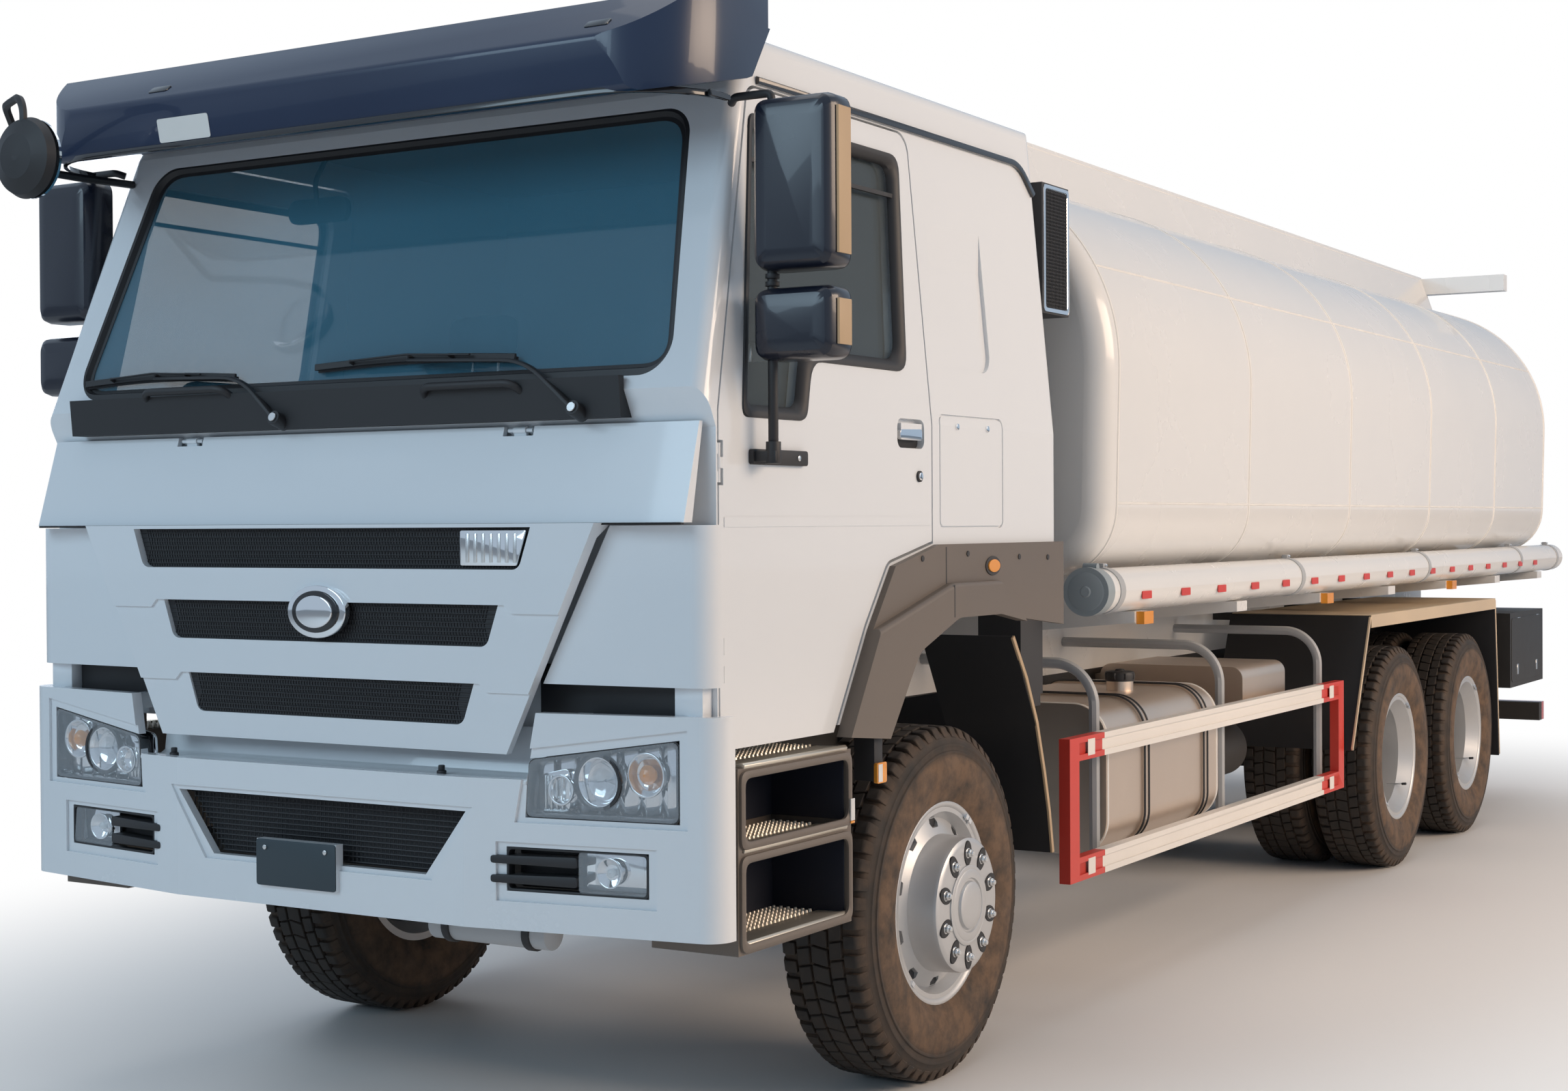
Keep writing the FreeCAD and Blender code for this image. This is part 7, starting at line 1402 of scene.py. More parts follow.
# %% Step treads and frames
STEP_LEVELS = (0.6205, 0.8605, 1.0755)
STUD_COUNT, STUD_ROWS = 25, 6
for side, sign in SIDES:
    treads = Shape()
    for level in STEP_LEVELS:
        treads.loft([[at(sign * x, y, z) for x, z in ((1.130, level), (1.196, level),
            (1.226, level - 0.004), (1.229, level + 0.006), (1.222, level + 0.012), (1.196, level + 0.008),
            (1.130, level + 0.006))] for y in (-1.262, -0.728)], tread_bright)
    treads.done("step_edges_" + side, "cab", bevel=0.002, segments=2)
    for number, level in enumerate(STEP_LEVELS, start=1):
        stud = Shape()
        spot = at(sign * 0.995, -1.250, level)
        stud.rod(spot, spot + Vector((0, 0, 0.009)), 0.0068, tread_bright, sides=8, end_radius=0.0045)
        studs = stud.done("step_%d_studs_%s" % (number, side), "cab", bevel=0)
        repeat(studs, GRID, count=STUD_COUNT, step=(0, 0.0213, 0), rows=STUD_ROWS,
            row_step=(sign * 0.0235, 0, 0), finish=tread_bright)
    # Dark plates inside each step recess are painted shade.
    recess_shade = Shape()
    for low, high in ((0.622, 0.838), (0.882, 1.053)):
        recess_shade.block(at(sign * 0.981, -1.268, low), at(sign * 0.985, -0.727, high), step_dark)
        recess_shade.block(at(sign * 0.985, -1.2695, low), at(sign * 1.215, -1.2655, high), step_dark)
        recess_shade.block(at(sign * 0.985, -0.7295, low), at(sign * 1.215, -0.7255, high), step_dark)
        recess_shade.block(at(sign * 0.985, -1.265, high - 0.003), at(sign * 1.215, -0.730, high + 0.001),
            step_dark)
    recess_shade.done("step_linings_" + side, "cab", bevel=0.001, segments=1)
    frames = Shape()
    for low, high in ((0.606, 0.852), (0.868, 1.068)):
        corners = [(-1.284, low), (-0.711, low), (-0.711, high), (-1.284, high)]
        ring = lambda inset, x: rounded_outline([at(sign * x, y, z) for y, z in inset_flat(corners, inset)],
                0.030, 5)
        frames.loft([ring(0.0, 1.2245), ring(0.0, 1.233), ring(0.006, 1.2365), ring(0.014, 1.2365),
            ring(0.019, 1.232), ring(0.019, 1.2245)], grey_cladding, caps=False)
    frames.done("step_frames_" + side, "cab", bevel=0)
    marks = Shape()
    plate = side_panel(sign * 1.2160, (-0.556, 0.962), (-0.500, 1.020), 0.008)
    marks.block(at(sign * 1.150, -0.552, 0.968), at(sign * 1.216, -0.504, 1.150), black_moulding)
    marks.plate(plate, (sign * 0.012, 0, 0), amber_lens)
    marks.block(at(sign * 1.2285, -0.552, 0.966), at(sign * 1.2300, -0.528, 1.016), white_lens)
    marks.block(at(sign * 1.236, -0.730, 0.880), at(sign * 1.240, -0.708, 0.940), white_lens)
    marks.block(at(sign * 1.2365, -0.730, 0.872), at(sign * 1.2395, -0.708, 0.879), amber_lens)
    marks.done("side_reflectors_" + side, "cab", bevel=0.0015, segments=2)
print("treads with", STUD_COUNT * STUD_ROWS * len(STEP_LEVELS), "studs a side")

# %% [markdown]
# ### Arch and flap
# The grey arch is pressed from two panels, so a dark seam crosses it. A small
# amber lamp lies in an oval recess, round screws hold the lining, and the flap behind
# the wheel has a rolled edge with a pale painted highlight, which stays with the chassis.

# %% Arch seams, recess lamp and flap edges
FLAP_EDGE = ((0.420, 1.328), (0.520, 1.190), (0.600, 1.040), (0.655, 0.880), (0.695, 0.740), (0.722, 0.600))


def lamp_oval(x, wide, tall):
    """An upright oval round the recess lamp."""
    return [at(x, 0.224 + wide * math.cos(a), 1.560 + tall * math.sin(a))
            for a in (i * math.tau / 28 for i in range(28))]


for side, sign in SIDES:
    arch = Shape()
    arch.block(at(sign * 1.214, -0.098, 1.420), at(sign * 1.2158, -0.092, 1.622), dark_trim)
    arch.block(at(sign * 1.2425, -0.098, 1.412), at(sign * 1.2436, -0.092, 1.510), dark_trim)
    arch.plate(lamp_oval(sign * 1.2145, 0.052, 0.030), (sign * 0.004, 0, 0), dark_trim)
    arch.plate(lamp_oval(sign * 1.2180, 0.040, 0.020), (sign * 0.005, 0, 0), amber_lens)
    for y, z in ((-0.250, 1.590), (0.050, 1.600), (0.420, 1.585), (0.640, 1.580), (-0.460, 1.300),
            (-0.520, 1.160)):
        arch.rod(at(sign * 1.212, y, z), at(sign * 1.218, y, z), 0.009, dark_trim, sides=12)
    arch.done("arch_trim_" + side, "cab", bevel=0.001, segments=1)
    # The pale strip along the flap's edge is a painted highlight.
    flap = Shape()
    flap.sweep([at(sign * 1.191, y, z) for y, z in FLAP_EDGE], flat_bar(0.004, 0.008), tan_edge)
    flap.done("front_flap_edge_" + side, "chassis", bevel=0.001, segments=1)
print("arch trim and flap edges")

# %% [markdown]
# ## Tank, tubes and guards
# The barrel is rolled from sheets that are welded edge to edge. The tank node is cut
# by a plane to get its outline, and a thin weld bead is laid along that outline. The
# same trick puts the straps round the fuel tank.

# %% Weld beads and clamp bands
def around(shape, node, station, half, rise, material, keep=None):
    """A raised band that follows a node's outline at a station."""
    line = girth(node, station)
    if keep:
        line = [p for p in line if keep(p)]
    middle = sum(line, Vector()) / len(line)
    rings = []
    for along, lift in ((-half, -0.001), (-half * 0.6, rise), (half * 0.6, rise), (half, -0.001)):
        ring = []
        for i, p in enumerate(line):
            ahead = line[(i + 1) % len(line)] - line[i - 1]
            out = Vector((ahead.z, 0, -ahead.x)).normalized()
            if out.dot(p - middle) < 0:
                out = -out
            ring.append(Vector((p.x, station + along, p.z)) + out * lift)
        rings.append(ring)
    shape.loft(rings, material, caps=False)


beads = Shape()
TANK_STATIONS = [at(0, y, 0).y for y in (1.250, 2.640, 4.030, 5.420, 6.810, 8.050)]
for station in TANK_STATIONS:
    around(beads, "tank", station, 0.009, 0.0035, sheet_weld)
for sign in (1, -1):
    for z in (2.600, 1.760):
        flat = [p for p in girth("tank", TANK_STATIONS[2]) if p.x * sign > 0]
        flat.sort(key=lambda p: p.z)
        low = max((p for p in flat if p.z <= z), key=lambda p: p.z)
        high = min((p for p in flat if p.z > z), key=lambda p: p.z)
        share = (z - low.z) / max(1e-6, high.z - low.z)
        x = low.x + (high.x - low.x) * share
        beads.sweep([(x, TANK_STATIONS[0], z), (x, TANK_STATIONS[-1], z)],
            [(-0.002, -0.006), (-0.002, 0.006), (0.0025, 0.003), (0.0025, -0.003)], sheet_weld)
beads.done("tank_welds", "chassis", bevel=0)
print("weld beads at", [round(s - FRONT_AXLE, 2) for s in TANK_STATIONS])

# %% [markdown]
# ### Hose tubes
# A long tube on each side keeps a hose. Steel bands clamp it, short red reflector
# dashes run along it, and its front is closed by a lid with a raised rim. One dash is
# modelled, and the grid tree steps it along the tube.

# %% Hose tube bands, dashes and lids
DASH_COUNT, DASH_STEP = 17, 0.391
for side, sign in SIDES:
    bands = Shape()
    for y in (1.224, 3.247, 5.300, 7.350, 8.330):
        middle = at(sign * 1.161, y, 1.452)
        bands.lathe([(-0.022, 0.0785), (-0.022, 0.0825), (0.022, 0.0825), (0.022, 0.0785)], middle,
            (0, 1, 0), hoop_grey, steps=40)
        bands.block(middle + Vector((-0.012, -0.016, 0.080)), middle + Vector((0.012, 0.016, 0.096)),
            hoop_grey)
        bands.rod(middle + Vector((-0.020, 0, 0.089)), middle + Vector((0.020, 0, 0.089)), 0.005,
            bright_steel, sides=8)
    bands.done("tube_bands_" + side, "chassis", bevel=0.001, segments=1)
    dash = Shape()
    dash.plate(side_panel(sign * 1.2395, (1.400, 1.418), (1.490, 1.446), 0.004, 3), (sign * 0.0030, 0, 0),
        guard_red)
    dashes = dash.done("tube_dashes_" + side, "chassis", bevel=0)
    repeat(dashes, GRID, count=DASH_COUNT, step=(0, DASH_STEP, 0), rows=1, row_step=(0, 0, 0),
        finish=guard_red)
    lid_node = "tube_lid_" + side
    lid_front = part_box(lid_node)[0].y
    caps = Shape()
    caps.lathe([(0.0, 0.0), (0.0, 0.066), (-0.002, 0.068), (-0.004, 0.062), (-0.004, 0.020),
        (-0.008, 0.016), (-0.008, 0.0)], Vector((sign * 1.161, lid_front + 0.0015, 1.452)), (0, 1, 0),
        tube_cap, steps=36)
    caps.done("tube_lid_face_" + side, lid_node, bevel=0)
paint(tube_cap, "tube_lid_left", "tube_lid_right")
print(DASH_COUNT, "dashes on each tube")

# %% [markdown]
# ### On the crown
# The picture shows only the coaming's edge, so what stands inside is what such a tank
# needs: bolted manhole lids, three valves under red caps, a rail along each side and
# round red lamps in the bar at the rear.

# %% Top fittings
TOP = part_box("coaming")[1].z
BOLT_CIRCLE = 0.262
top = Shape()
for node, y in (("manhole_lid_front", 3.000), ("manhole_lid_rear", 6.100)):
    lid = Shape()
    lid_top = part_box(node)[1].z
    centre = at(0, y, lid_top)
    lid.lathe([(-0.001, 0.060), (0.010, 0.058), (0.014, 0.050), (0.014, 0.0), (-0.001, 0.0)], centre,
        (0, 0, 1), bright_steel, steps=32)
    lid.lathe([(-0.001, 0.205), (0.004, 0.205), (0.004, 0.175), (-0.001, 0.175)], centre, (0, 0, 1),
        sheet_weld, steps=48)
    lid.done(node + "_fittings", BODY_OF[node], bevel=0.0015)
    for k in range(6):
        a = math.tau * (k + 0.5) / 6
        spot = at(BOLT_CIRCLE * math.cos(a), y + BOLT_CIRCLE * math.sin(a), lid_top - 0.030)
        top.rod(spot - Vector((0, 0, 0.02)), spot + Vector((0, 0, 0.022)), 0.010, bright_steel, sides=10)
        top.rod(spot + Vector((0, 0, 0.004)), spot + Vector((0, 0, 0.016)), 0.017, bright_steel, sides=6)
for y in (2.250, 4.500, 7.200):
    foot = at(0.26, y, TOP - 0.090)
    top.rod(foot, foot + Vector((0, 0, 0.060)), 0.040, bright_steel, sides=24)
    top.lathe([(0.050, 0.0), (0.050, 0.062), (0.056, 0.066), (0.072, 0.060), (0.080, 0.030), (0.082, 0.0)],
        foot, (0, 0, 1), guard_red, steps=28)
top.done("crown_valves", "chassis", bevel=0.001, segments=1)
walk = Shape()
for sign in (1, -1):
    walk.pipe([at(sign * 0.452, 1.300, TOP - 0.020), at(sign * 0.452, 8.000, TOP - 0.020)], 0.010,
        sheet_weld)
walk.done("coaming_rails", "chassis", bevel=0)
bar = Shape()
for x in (-0.90, -0.45, 0.45, 0.90):
    centre = Vector((x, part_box("coaming")[1].y - 0.001, 3.165))
    bar.lathe([(-0.010, 0.0), (-0.010, 0.038), (0.0006, 0.038), (0.0008, 0.033), (-0.0005, 0.031),
        (0.0006, 0.024), (0.0009, 0.0)], centre, (0, 1, 0), red_lens, steps=28)
bar.done("high_rear_lamps", "chassis", bevel=0)
print("crown fittings up to", round(TOP, 3))

# %% [markdown]
# ## Guards, tanks and the rear end
# The side guard is white with red ends, and stands on grey hoops. Its CAD mesh is
# split into three finishes by where each face lies, on a merged copy.

# %% Side guard colours
def sliced(node, stations, finishes, choose):
    """The node cut across at stations, so that a colour can change there, then split."""
    bm = bmesh.new()
    bm.from_mesh(frame["nodes"][node].data)
    bmesh.ops.remove_doubles(bm, verts=bm.verts, dist=0.00005)
    bmesh.ops.dissolve_limit(bm, angle_limit=math.radians(0.5), verts=bm.verts, edges=bm.edges)
    for station in stations:
        bmesh.ops.bisect_plane(bm, geom=list(bm.verts) + list(bm.edges) + list(bm.faces),
            plane_co=(0, station, 0), plane_no=(0, 1, 0))
    mesh = bpy.data.meshes.new(node + "_skin")
    bm.to_mesh(mesh)
    bm.free()
    mesh.materials.clear()
    for material in finishes:
        mesh.materials.append(material)
    for face in mesh.polygons:
        face.material_index = choose(face.center)
    made = bpy.data.objects.new(node + "_skin", mesh)
    bpy.context.scene.collection.objects.link(made)
    smooth(mesh, 30)
    return adopt(made, BODY_OF[node], (node,))


GUARD_FRONT, GUARD_REAR = at(0, 0.837, 0).y, at(0, 3.935, 0).y
RED_LONG = 0.300


def guard_colour(p):
    """White rails, red ends and posts, grey hoops."""
    if abs(p.x) < 1.163:
        return 2
    return 1 if p.y < GUARD_FRONT + RED_LONG or p.y > GUARD_REAR - RED_LONG else 0


guards = sliced("side_guards", [GUARD_FRONT + RED_LONG, GUARD_REAR - RED_LONG],
    (guard_white, guard_red, hoop_grey), guard_colour)
marks = Shape()
for sign in (1, -1):
    for low in (0.476, 0.884):
        for y in (0.990, 3.720):
            marks.block(at(sign * 1.2040, y, low + 0.012), at(sign * 1.2065, y + 0.060, low + 0.068),
                guard_white)
marks.done("guard_marks", "chassis", bevel=0.0008, segments=1)
print("guard faces", len(guards.data.polygons))

# %% [markdown]
# ### Fuel tank
# Two black steel straps hold the tank on its brackets. They follow its outline as the
# weld beads do. The filler cap is a lathe part with eight grip ridges round it.

# %% Fuel tank straps and filler
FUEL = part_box("fuel_tank")
straps = Shape()
for y in (1.698, 2.319):
    station = at(0, y, 0).y
    for edge in (-0.020, 0.020):
        around(straps, "fuel_tank", station + edge, 0.006, 0.0045, black_moulding)
    spot = at(1.139, y, 0.640)
    straps.rod(spot - Vector((0.010, 0, 0.05)), spot + Vector((-0.010, 0, 0.05)), 0.007, bright_steel,
        sides=10)
for y in (1.345, 2.465):
    around(straps, "fuel_tank", at(0, y, 0).y, 0.006, 0.003, sheet_weld)
neck = at(0.900, 2.020, 1.096)
straps.lathe([(-0.020, 0.0), (-0.020, 0.056), (0.004, 0.058), (0.016, 0.054), (0.018, 0.046),
    (0.018, 0.020), (0.026, 0.016), (0.026, 0.0)], neck, (0, 0, 1), black_moulding, steps=32)
for k in range(8):
    a = math.tau * k / 8
    ridge = neck + Vector((0.055 * math.cos(a), 0.055 * math.sin(a), -0.012))
    straps.rod(ridge, ridge + Vector((0, 0, 0.024)), 0.006, black_moulding, sides=8)
straps.done("fuel_straps", "chassis", bevel=0.001, segments=1)
print("fuel tank", [round(v, 3) for v in FUEL[1] - FUEL[0]])

# %% [markdown]
# ### Rear wheels' guards, boxes and tail
# Pale plates with folded edges lie over the twin wheels. Behind them hang equipment
# boxes with latched doors. The pale lines down the flaps' edges are a painted highlight.
# The underrun bar wears red and white tape, and each round tail lamp is a shallow lens
# with a ring pressed in it.

# %% Guard plates, box doors, tape and tail lamps
rear = Shape()
for sign in (1, -1):
    rear.block(at(sign * 0.565, 4.255, 1.2452), at(sign * 1.236, 6.675, 1.2500), tan_plate)
    rear.block(at(sign * 1.236, 4.250, 1.190), at(sign * 1.2435, 6.680, 1.2500), tan_plate)
    # The lines down each flap's front and rear edges are a painted highlight.
    for (y0, z0), (y1, z1) in (((4.244, 1.240), (3.951, 0.646)), ((6.686, 1.240), (6.780, 0.366))):
        rear.sweep([at(sign * 1.2380, y0, z0), at(sign * 1.2380, y1, z1)], flat_bar(0.005, 0.006),
            tan_plate)
rear.done("guard_plate_tops", "chassis", bevel=0.0015, segments=1)
boxes = Shape()
for sign in (1, -1):
    door = side_panel(sign * 1.2398, (7.080, 0.750), (7.870, 1.120), 0.03)
    boxes.plate(door, (sign * 0.0030, 0, 0), chassis_black)
    for y in (7.230, 7.720):
        boxes.block(at(sign * 1.2420, y - 0.018, 0.790), at(sign * 1.2440, y + 0.018, 0.850), bright_steel)
        boxes.rod(at(sign * 1.2410, y, 1.118), at(sign * 1.2410, y + 0.07, 1.118), 0.0025, bright_steel,
            sides=8)
boxes.done("box_doors", "chassis", bevel=0.001, segments=1)
tape = Shape()
bar_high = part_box("underrun_bar")[1]
for k in range(9):
    x = -1.125 + k * 0.25
    finish_now = guard_red if k % 2 == 0 else guard_white
    tape.block((x, bar_high.y - 0.0005, 0.478), (x + 0.240, bar_high.y + 0.0008, 0.532), finish_now)
tape.done("underrun_tape", "chassis", bevel=0)
tails = Shape()
lamp_low, lamp_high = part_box("tail_lamps")
for sign in (1, -1):
    for k, glass in enumerate((red_lens, red_lens, amber_lens, white_lens)):
        x = sign * (0.845 + k * 0.086)
        if abs(x) > lamp_high.x - 0.03:
            continue
        centre = Vector((x, lamp_high.y - 0.001, (lamp_low.z + lamp_high.z) / 2))
        tails.lathe([(-0.004, 0.0), (-0.004, 0.037), (0.0008, 0.037), (0.0012, 0.033), (0.0, 0.031),
            (0.0010, 0.020), (0.0014, 0.0)], centre, (0, 1, 0), glass, steps=28)
tails.done("tail_lamp_faces", "chassis", bevel=0)
print("rear end dressed to y", round(lamp_high.y, 3))

# %% [markdown]
# ### Bolts, lines and brake chambers
# Rails are bolted in rows. One bolt is modelled for each rail, and the grid tree
# steps it along and up. Air lines run inside the rails to the drums of the brakes.

# %% Frame bolts, lines and brake chambers
BOLT_COUNT, BOLT_ROWS = 40, 2
for side, sign in SIDES:
    bolt = Shape()
    spot = at(sign * 0.425, 1.450, 0.820)
    out = Vector((sign, 0, 0))
    bolt.rod(spot - out * 0.001, spot + out * 0.004, 0.012, bright_steel, sides=14)
    bolt.rod(spot, spot + out * 0.010, 0.0085, bright_steel, sides=6)
    bolts = bolt.done("rail_bolts_" + side, "chassis", bevel=0)
    repeat(bolts, GRID, count=BOLT_COUNT, step=(0, 0.160, 0), rows=BOLT_ROWS, row_step=(0, 0, 0.180),
        finish=chassis_black)
lines = Shape()
for x, z in ((0.330, 0.930), (0.315, 0.900), (-0.330, 0.930)):
    lines.pipe([at(x, 1.2, z), at(x, 7.6, z)], 0.007, dark_trim, sides=8)
for station in (AXLES["second"], AXLES["third"]):
    for x in (0.50, -0.50):
        for near, far, low, high, radius in ((0.10, 0.28, 0.02, 0.06, 0.070),
                (0.275, 0.36, 0.06, 0.08, 0.055)):
            lines.rod(at(x, station - near, TYRE_RADIUS + low), at(x, station - far, TYRE_RADIUS + high),
                radius, chassis_black, sides=28)
lines.done("brake_lines", "chassis", bevel=0.002, segments=1)
under = Shape()
under.rod(at(0.300, -1.350, 0.620), at(0.690, -1.350, 0.620), 0.044, hoop_grey, sides=28)
for x in (0.360, 0.630):
    under.rod(at(x - 0.012, -1.350, 0.620), at(x + 0.012, -1.350, 0.620), 0.050, black_moulding, sides=28)
    under.block(at(x - 0.012, -1.362, 0.655), at(x + 0.012, -1.338, 0.690), black_moulding)
under.done("under_bumper_drum", "cab", bevel=0.002, segments=2)
print("bolts:", BOLT_COUNT * BOLT_ROWS * 2)

# %% [markdown]
# ## Inside the cab
# Seats and bunk are stuffed, so they are never flat boxes. Each pad starts a little
# small as a rounded block. It is remeshed, blown up by a short cloth run with its
# underside pinned, held within a centimetre or two of its start, and subdivided once.


def rounded_block(name, low, high, lean, corner):
    """A block between two corners, sheared back by lean over its height, edges rounded."""
    bm = bmesh.new()
    bmesh.ops.create_cube(bm, size=1.0)
    for v in bm.verts:
        share = v.co.z + 0.5
        v.co = Vector((low[0] + (v.co.x + 0.5) * (high[0] - low[0]),
            low[1] + (v.co.y + 0.5) * (high[1] - low[1]) + lean * share,
            low[2] + share * (high[2] - low[2])))
    bmesh.ops.bevel(bm, geom=list(bm.edges), offset=corner, segments=4, profile=0.6, affect="EDGES")
    mesh = bpy.data.meshes.new(name)
    bm.to_mesh(mesh)
    bm.free()
    made = bpy.data.objects.new(name, mesh)
    bpy.context.scene.collection.objects.link(made)
    return made


def pad(name, low, high, material, lean=0.0, corner=0.040, voxel=0.014, cap=0.014):
    """A crowned pad in the space between two corners."""
    made = rounded_block(name, low, high, lean, corner)
    remesh = made.modifiers.new("remesh", "REMESH")
    remesh.mode = "VOXEL"
    remesh.voxel_size = voxel
    bake(made, name)
    start = [v.co.copy() for v in made.data.vertices]
    pins = made.vertex_groups.new(name="pins")
    pins.add([i for i, p in enumerate(start) if p.z < low[2] + 0.012], 1.0, "REPLACE")
    cloth = made.modifiers.new("cloth", "CLOTH")
    cloth.settings.use_pressure = True
    cloth.settings.uniform_pressure_force = 4.0
    cloth.settings.effector_weights.gravity = 0.0
    cloth.settings.vertex_group_mass = "pins"
    cloth.point_cache.frame_start, cloth.point_cache.frame_end = 1, 20
    for step in range(1, 21):
        bpy.context.scene.frame_set(step)
    bake(made, name)
    bpy.context.scene.frame_set(1)
    made.vertex_groups.clear()
    for v, home in zip(made.data.vertices, start):
        moved = v.co - home
        if moved.length > cap:
            v.co = home + moved * (cap / moved.length)
    finer = made.modifiers.new("finer", "SUBSURF")
    finer.levels = finer.render_levels = 1
    bake(made, name)
    made.data.materials.clear()
    made.data.materials.append(material)
    smooth(made.data, 80)
    return made


print("pad maker ready, cloth run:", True)

# %% [markdown]
# ### Seats and bunk
# A seat has a cushion, a back and a head pad on a metal stand. Piping lies along the
# seams between the panels of cloth. The bunk behind is a mattress on a plain bench.

# %% Seats and bunk
SEAT_X = 0.560
for side, sign in SIDES:
    x = sign * SEAT_X
    pieces = [("cushion", (x - 0.235, -0.500, 1.625), (x + 0.235, -0.075, 1.735), 0.0),
        ("backrest", (x - 0.225, -0.160, 1.740), (x + 0.225, -0.060, 2.220), 0.055),
        ("headrest", (x - 0.130, -0.108, 2.265), (x + 0.130, -0.020, 2.405), 0.012)]
    for part, low, high, lean in pieces:
        body_low, body_high = at(*low), at(*high)
        made = pad("seat_%s_%s" % (part, side), body_low, body_high, seat_cloth, lean, 0.036)
        adopt(made, "cab", ("seats",) if part == "cushion" else ())
    metal = Shape()
    metal.block(at(x - 0.200, -0.470, 1.4905), at(x + 0.200, -0.100, 1.525), dark_trim)
    stand = ((-0.17, -0.44), (0.17, -0.44), (0.17, -0.12), (-0.17, -0.12))
    metal.loft([rounded_outline([at(x + a, b, z) for a, b in stand], 0.03, 3)
        for z in (1.525, 1.545, 1.565, 1.585, 1.605)], black_moulding)
    metal.block(at(x - 0.235, -0.490, 1.600), at(x + 0.235, -0.080, 1.632), dark_trim)
    for reach in (-0.055, 0.055):
        metal.rod(at(x + reach, -0.055, 2.190), at(x + reach, -0.040, 2.290), 0.007, bright_steel)
    metal.done("seat_frame_" + side, "cab", bevel=0.006, segments=2)
    piping = Shape()
    for reach in (-0.145, 0.145):
        piping.pipe([at(x + reach, -0.492, 1.700), at(x + reach, -0.470, 1.7440),
            at(x + reach, -0.180, 1.7455)], 0.004, seat_edge, sides=8)
        piping.pipe([at(x + reach, -0.168, 1.790), at(x + reach, -0.118, 2.180)], 0.004, seat_edge, sides=8)
    piping.done("seat_piping_" + side, "cab", bevel=0)
made = pad("bunk_mattress", at(-1.060, 0.175, 1.720), at(1.060, 0.680, 1.820), seat_edge, 0.0, 0.040, 0.024,
    0.018)
adopt(made, "cab")
bench = Shape()
bench.block(at(-1.085, 0.155, 1.4915), at(1.085, 0.700, 1.722), dark_trim)
bench.done("bunk_bench", "cab", bevel=0.008, segments=2)
print("two seats and a bunk")

# %% [markdown]
# ### Dashboard and doors from inside
# All of this is seen only dimly, through dark glass. So it has the forms that break
# up the dark: a hooded pair of dials, vents, switches, a shift lever, a wheel boss,
# and arm rests on the doors.

# %% Dashboard, wheel boss and door cards
wheel_low, wheel_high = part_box("steering_wheel")
middle = (wheel_low + wheel_high) / 2
face_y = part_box("dashboard")[1].y
inside = Shape()
inside.loft([rounded_outline([at(0.330, y, 1.984), at(0.790, y, 1.984), at(0.770, y, z), at(0.350, y, z)],
    0.03, 4) for y, z in ((-1.080, 2.020), (-0.990, 2.050), (-0.945, 2.046))], dark_trim)
for x in (0.455, 0.665):
    inside.lathe([(0.0, 0.0), (0.0, 0.052), (0.006, 0.055), (0.006, 0.048), (0.002, 0.046), (0.002, 0.0)],
        at(x, -0.9445, 2.012), (0, 1, 0), mirror_silver, steps=28)
for x in (-0.860, -0.120, 0.140, 0.930):
    inside.plate(front_panel(-0.9290, (x - 0.075, 1.890), (x + 0.075, 1.960), 0.012, 3), (0, 0.006, 0),
        black_gloss)
    for k in range(4):
        inside.block(at(x - 0.066, -0.9235, 1.898 + k * 0.016), at(x + 0.066, -0.9200, 1.903 + k * 0.016),
            dark_trim)
inside.plate(front_panel(-0.9290, (-0.110, 1.700), (0.150, 1.870), 0.012, 3), (0, 0.006, 0), black_gloss)
for k in range(8):
    x, z = -0.080 + (k % 4) * 0.054, 1.735 + (k // 4) * 0.060
    inside.block(at(x, -0.9235, z), at(x + 0.034, -0.9190, z + 0.036), mirror_silver)
inside.rod(at(0.100, -0.420, 1.495), at(0.100, -0.440, 1.780), 0.011, black_moulding)
inside.rod(at(0.100, -0.440, 1.775), at(0.100, -0.442, 1.835), 0.026, black_moulding, end_radius=0.020)
inside.loft([rounded_outline([at(0.100 + a, -0.420 + b, z)
    for a, b in ((-r, -r), (r, -r), (r, r), (-r, r))], 0.02, 3)
    for r, z in ((0.070, 1.4920), (0.055, 1.520), (0.030, 1.570))], black_moulding)
inside.done("dash_details", "cab", bevel=0.003, segments=2)
hub = Shape()
hub.lathe([(-0.010, 0.0), (-0.010, 0.062), (0.014, 0.058), (0.024, 0.040), (0.026, 0.0)],
    middle + Vector((0, 0.004, 0.012)), (0, 0.50, 0.87), black_moulding, steps=32)
hub.done("wheel_boss", "cab", bevel=0.002)
for side, sign in SIDES:
    card = Shape()
    x = sign * 1.1365
    card.plate(side_panel(x, (-0.900, 1.850), (-0.320, 1.905), 0.02, 4), (sign * -0.060, 0, 0), dark_trim)
    card.plate(side_panel(x, (-0.420, 1.660), (-0.200, 1.820), 0.03, 4), (sign * -0.010, 0, 0),
        black_moulding)
    card.pipe([at(x, -0.620, 2.020), at(sign * 1.095, -0.620, 2.010), at(sign * 1.095, -0.460, 2.010),
        at(x, -0.460, 2.020)], 0.010, black_moulding, bend=0.03)
    card.done("door_card_" + side, "door_" + side, bevel=0.004, segments=2)
print("dashboard face y", round(face_y - FRONT_AXLE, 3))

# %% [markdown]
# ### Air intake's mouth
# The duct behind the cab breathes through a chrome-rimmed mouth. One tilted slat and
# one wire are modelled, and the grid tree steps them up and along.

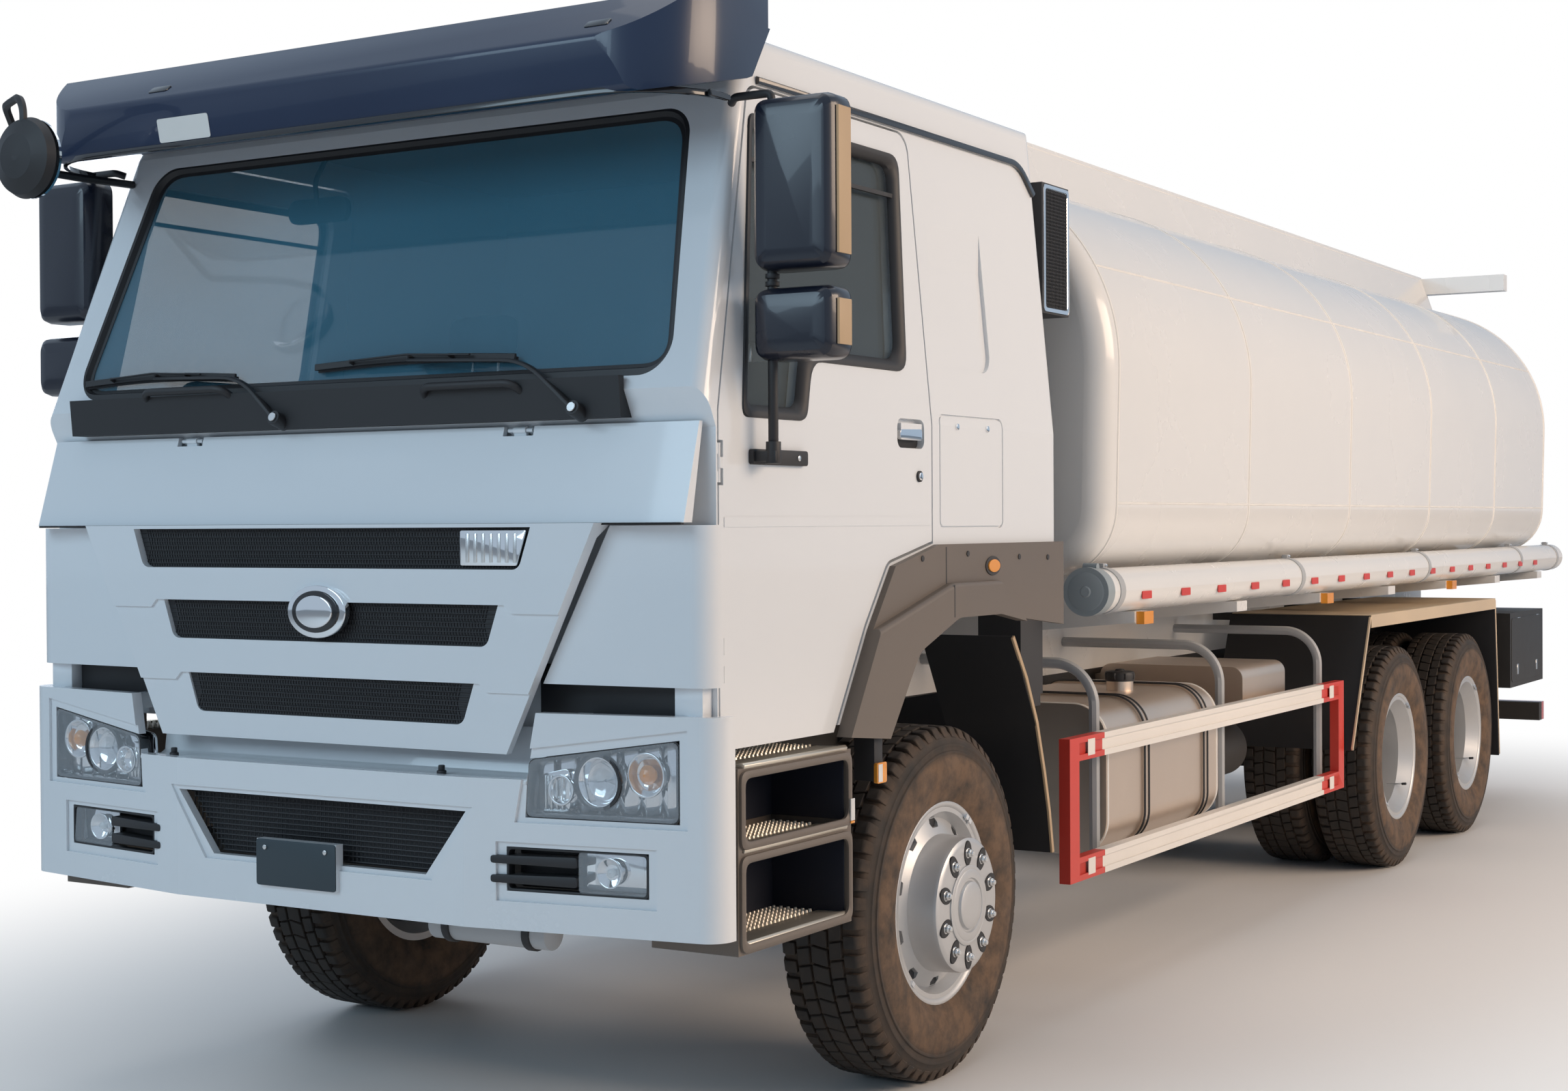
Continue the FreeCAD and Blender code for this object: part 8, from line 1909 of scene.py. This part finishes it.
# %% Intake mouth
SLAT_COUNT, WIRE_COUNT, MOUTH_STEP = 33, 15, 0.0118
snork = Shape()
corners = [(0.842, 2.412), (1.038, 2.412), (1.038, 2.828), (0.842, 2.828)]
ring = lambda inset, x: rounded_outline([at(x, y, z) for y, z in inset_flat(corners, inset)], 0.016, 4)
snork.loft([ring(-0.006, 1.1145), ring(-0.006, 1.1200), ring(0.004, 1.1215), ring(0.010, 1.1180),
    ring(0.010, 1.1145)], chrome, caps=False)
snork.done("snorkel_rim", "chassis", bevel=0)
slat = Shape()
slat.loft([[at(x, y, z) for x, z in ((1.1140, 2.426), (1.1140, 2.430), (1.1195, 2.437), (1.1195, 2.433))]
    for y in (0.852, 1.028)], black_moulding)
slats = slat.done("snorkel_slats", "chassis", bevel=0)
repeat(slats, GRID, count=1, step=(0, 0, 0), rows=SLAT_COUNT, row_step=(0, 0, MOUTH_STEP),
    finish=black_moulding)
wire = Shape()
wire.rod(at(1.1196, 0.858, 2.418), at(1.1196, 0.858, 2.822), 0.0013, bright_steel, sides=5)
wires = wire.done("snorkel_wires", "chassis", bevel=0)
repeat(wires, GRID, count=WIRE_COUNT, step=(0, MOUTH_STEP, 0), rows=1, row_step=(0, 0, 0),
    finish=black_moulding)
print("intake slats:", SLAT_COUNT)

# %% [markdown]
# ## Roof, cab back and tail
# The picture doesn't show these sides, so they carry only what such a truck needs:
# a roof hatch, pressed ribs that stiffen flat sheet, a discharge pipe with its lever,
# and a bare plate over the underrun bar.

# %% Roof hatch and ribs
CAB_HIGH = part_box("cab_shell")[1]
upper = Shape()
hatch = [(-0.300, -0.560), (0.300, -0.560), (0.300, -0.040), (-0.300, -0.040)]
for spread, levels, metal in ((0.022, (-0.010, 0.004, 0.008), black_moulding),
        (0.0, (0.002, 0.018, 0.026), cab_white)):
    rings = []
    for step, rise in enumerate(levels):
        shrink = spread - 0.010 * step
        rings.append(rounded_outline([at(x + math.copysign(shrink, x),
            y + (shrink if y > -0.3 else -shrink), CAB_HIGH.z + rise) for x, y in hatch], 0.07, 6))
    upper.loft(rings, metal)
upper.done("roof_hatch", "cab", bevel=0.002, segments=2)
ribs = Shape()


def pressed_rib(place, long_low, long_high, half, rise):
    """A long raised strip with rounded ends, from below the sheet up to its flat crown."""
    rings = []
    for shrink, height in ((0.0, -0.006), (0.0, 0.002), (0.008, rise * 0.7), (0.016, rise)):
        corners = [(-half + shrink, long_low + shrink), (half - shrink, long_low + shrink),
            (half - shrink, long_high - shrink), (-half + shrink, long_high - shrink)]
        rings.append(rounded_outline([place(a, b, height) for a, b in corners], half - shrink - 0.002, 6))
    ribs.loft(rings, cab_white)


for x in (-0.800, -0.520, 0.520, 0.800):
    pressed_rib(lambda a, b, h: at(x + a, b, CAB_HIGH.z + h), -0.550, 0.620, 0.035, 0.012)
for x in (-0.780, -0.400, 0.0, 0.400, 0.780):
    pressed_rib(lambda a, b, h: Vector((x + a, CAB_HIGH.y + h, b)), 1.720, 2.740, 0.040, 0.013)
ribs.done("cab_ribs", "cab", bevel=0)
print("roof at z", round(CAB_HIGH.z, 3), "back at y", round(CAB_HIGH.y - FRONT_AXLE, 3))

# %% [markdown]
# ### Discharge pipe and rear plate
# The tank empties through a bent pipe that ends in a bolted flange and a cap, with a
# red valve lever beside it. A second bare plate hangs near it on two brackets.

# %% Discharge pipe and rear plate
tail = Shape()
tail.pipe([at(-0.640, 8.030, 1.480), at(-0.640, 8.030, 1.240), at(-0.640, 8.190, 1.150)], 0.045, hoop_grey,
    sides=28, bend=0.12)
aim = Vector((0, 0.160, -0.090)).normalized()
mouth = at(-0.640, 8.190, 1.150)
for back, size, metal in ((-0.070, 0.066, hoop_grey), (-0.052, 0.066, bright_steel),
        (0.0, 0.060, bright_steel)):
    tail.rod(mouth + aim * back, mouth + aim * (back + 0.014), size, metal, sides=32)
tail.rod(mouth + aim * 0.014, mouth + aim * 0.044, 0.054, brushed_sheet, end_radius=0.046, sides=32)
for k in range(8):
    turn = math.tau * k / 8
    across = Vector((math.cos(turn), 0, 0)) + aim.cross(Vector((1, 0, 0))) * math.sin(turn)
    tail.rod(mouth + aim * -0.082 + across * 0.055, mouth + aim * -0.030 + across * 0.055, 0.006,
        bright_steel, sides=6)
tail.pipe([mouth + aim * -0.110, mouth + aim * -0.110 + Vector((0.080, 0.0, 0.030)),
    mouth + aim * -0.110 + Vector((0.180, 0.020, 0.030))], 0.008, guard_red, bend=0.03)
tail.done("discharge_pipe", "chassis", bevel=0.0015, segments=2)
bare = Shape()
bare.plate(front_panel(8.138, (-0.220, 0.585), (0.220, 0.725), 0.012, 4), (0, 0.004, 0), slate_plate)
for x in (-0.150, 0.150):
    bare.block(at(x - 0.015, 8.128, 0.540), at(x + 0.015, 8.138, 0.700), chassis_black)
    bare.rod(at(x, 8.142, 0.700), at(x, 8.147, 0.700), 0.007, bright_steel, sides=6)
bare.done("rear_plate_blank", "chassis", bevel=0.001, segments=1)
print("tail fittings placed")
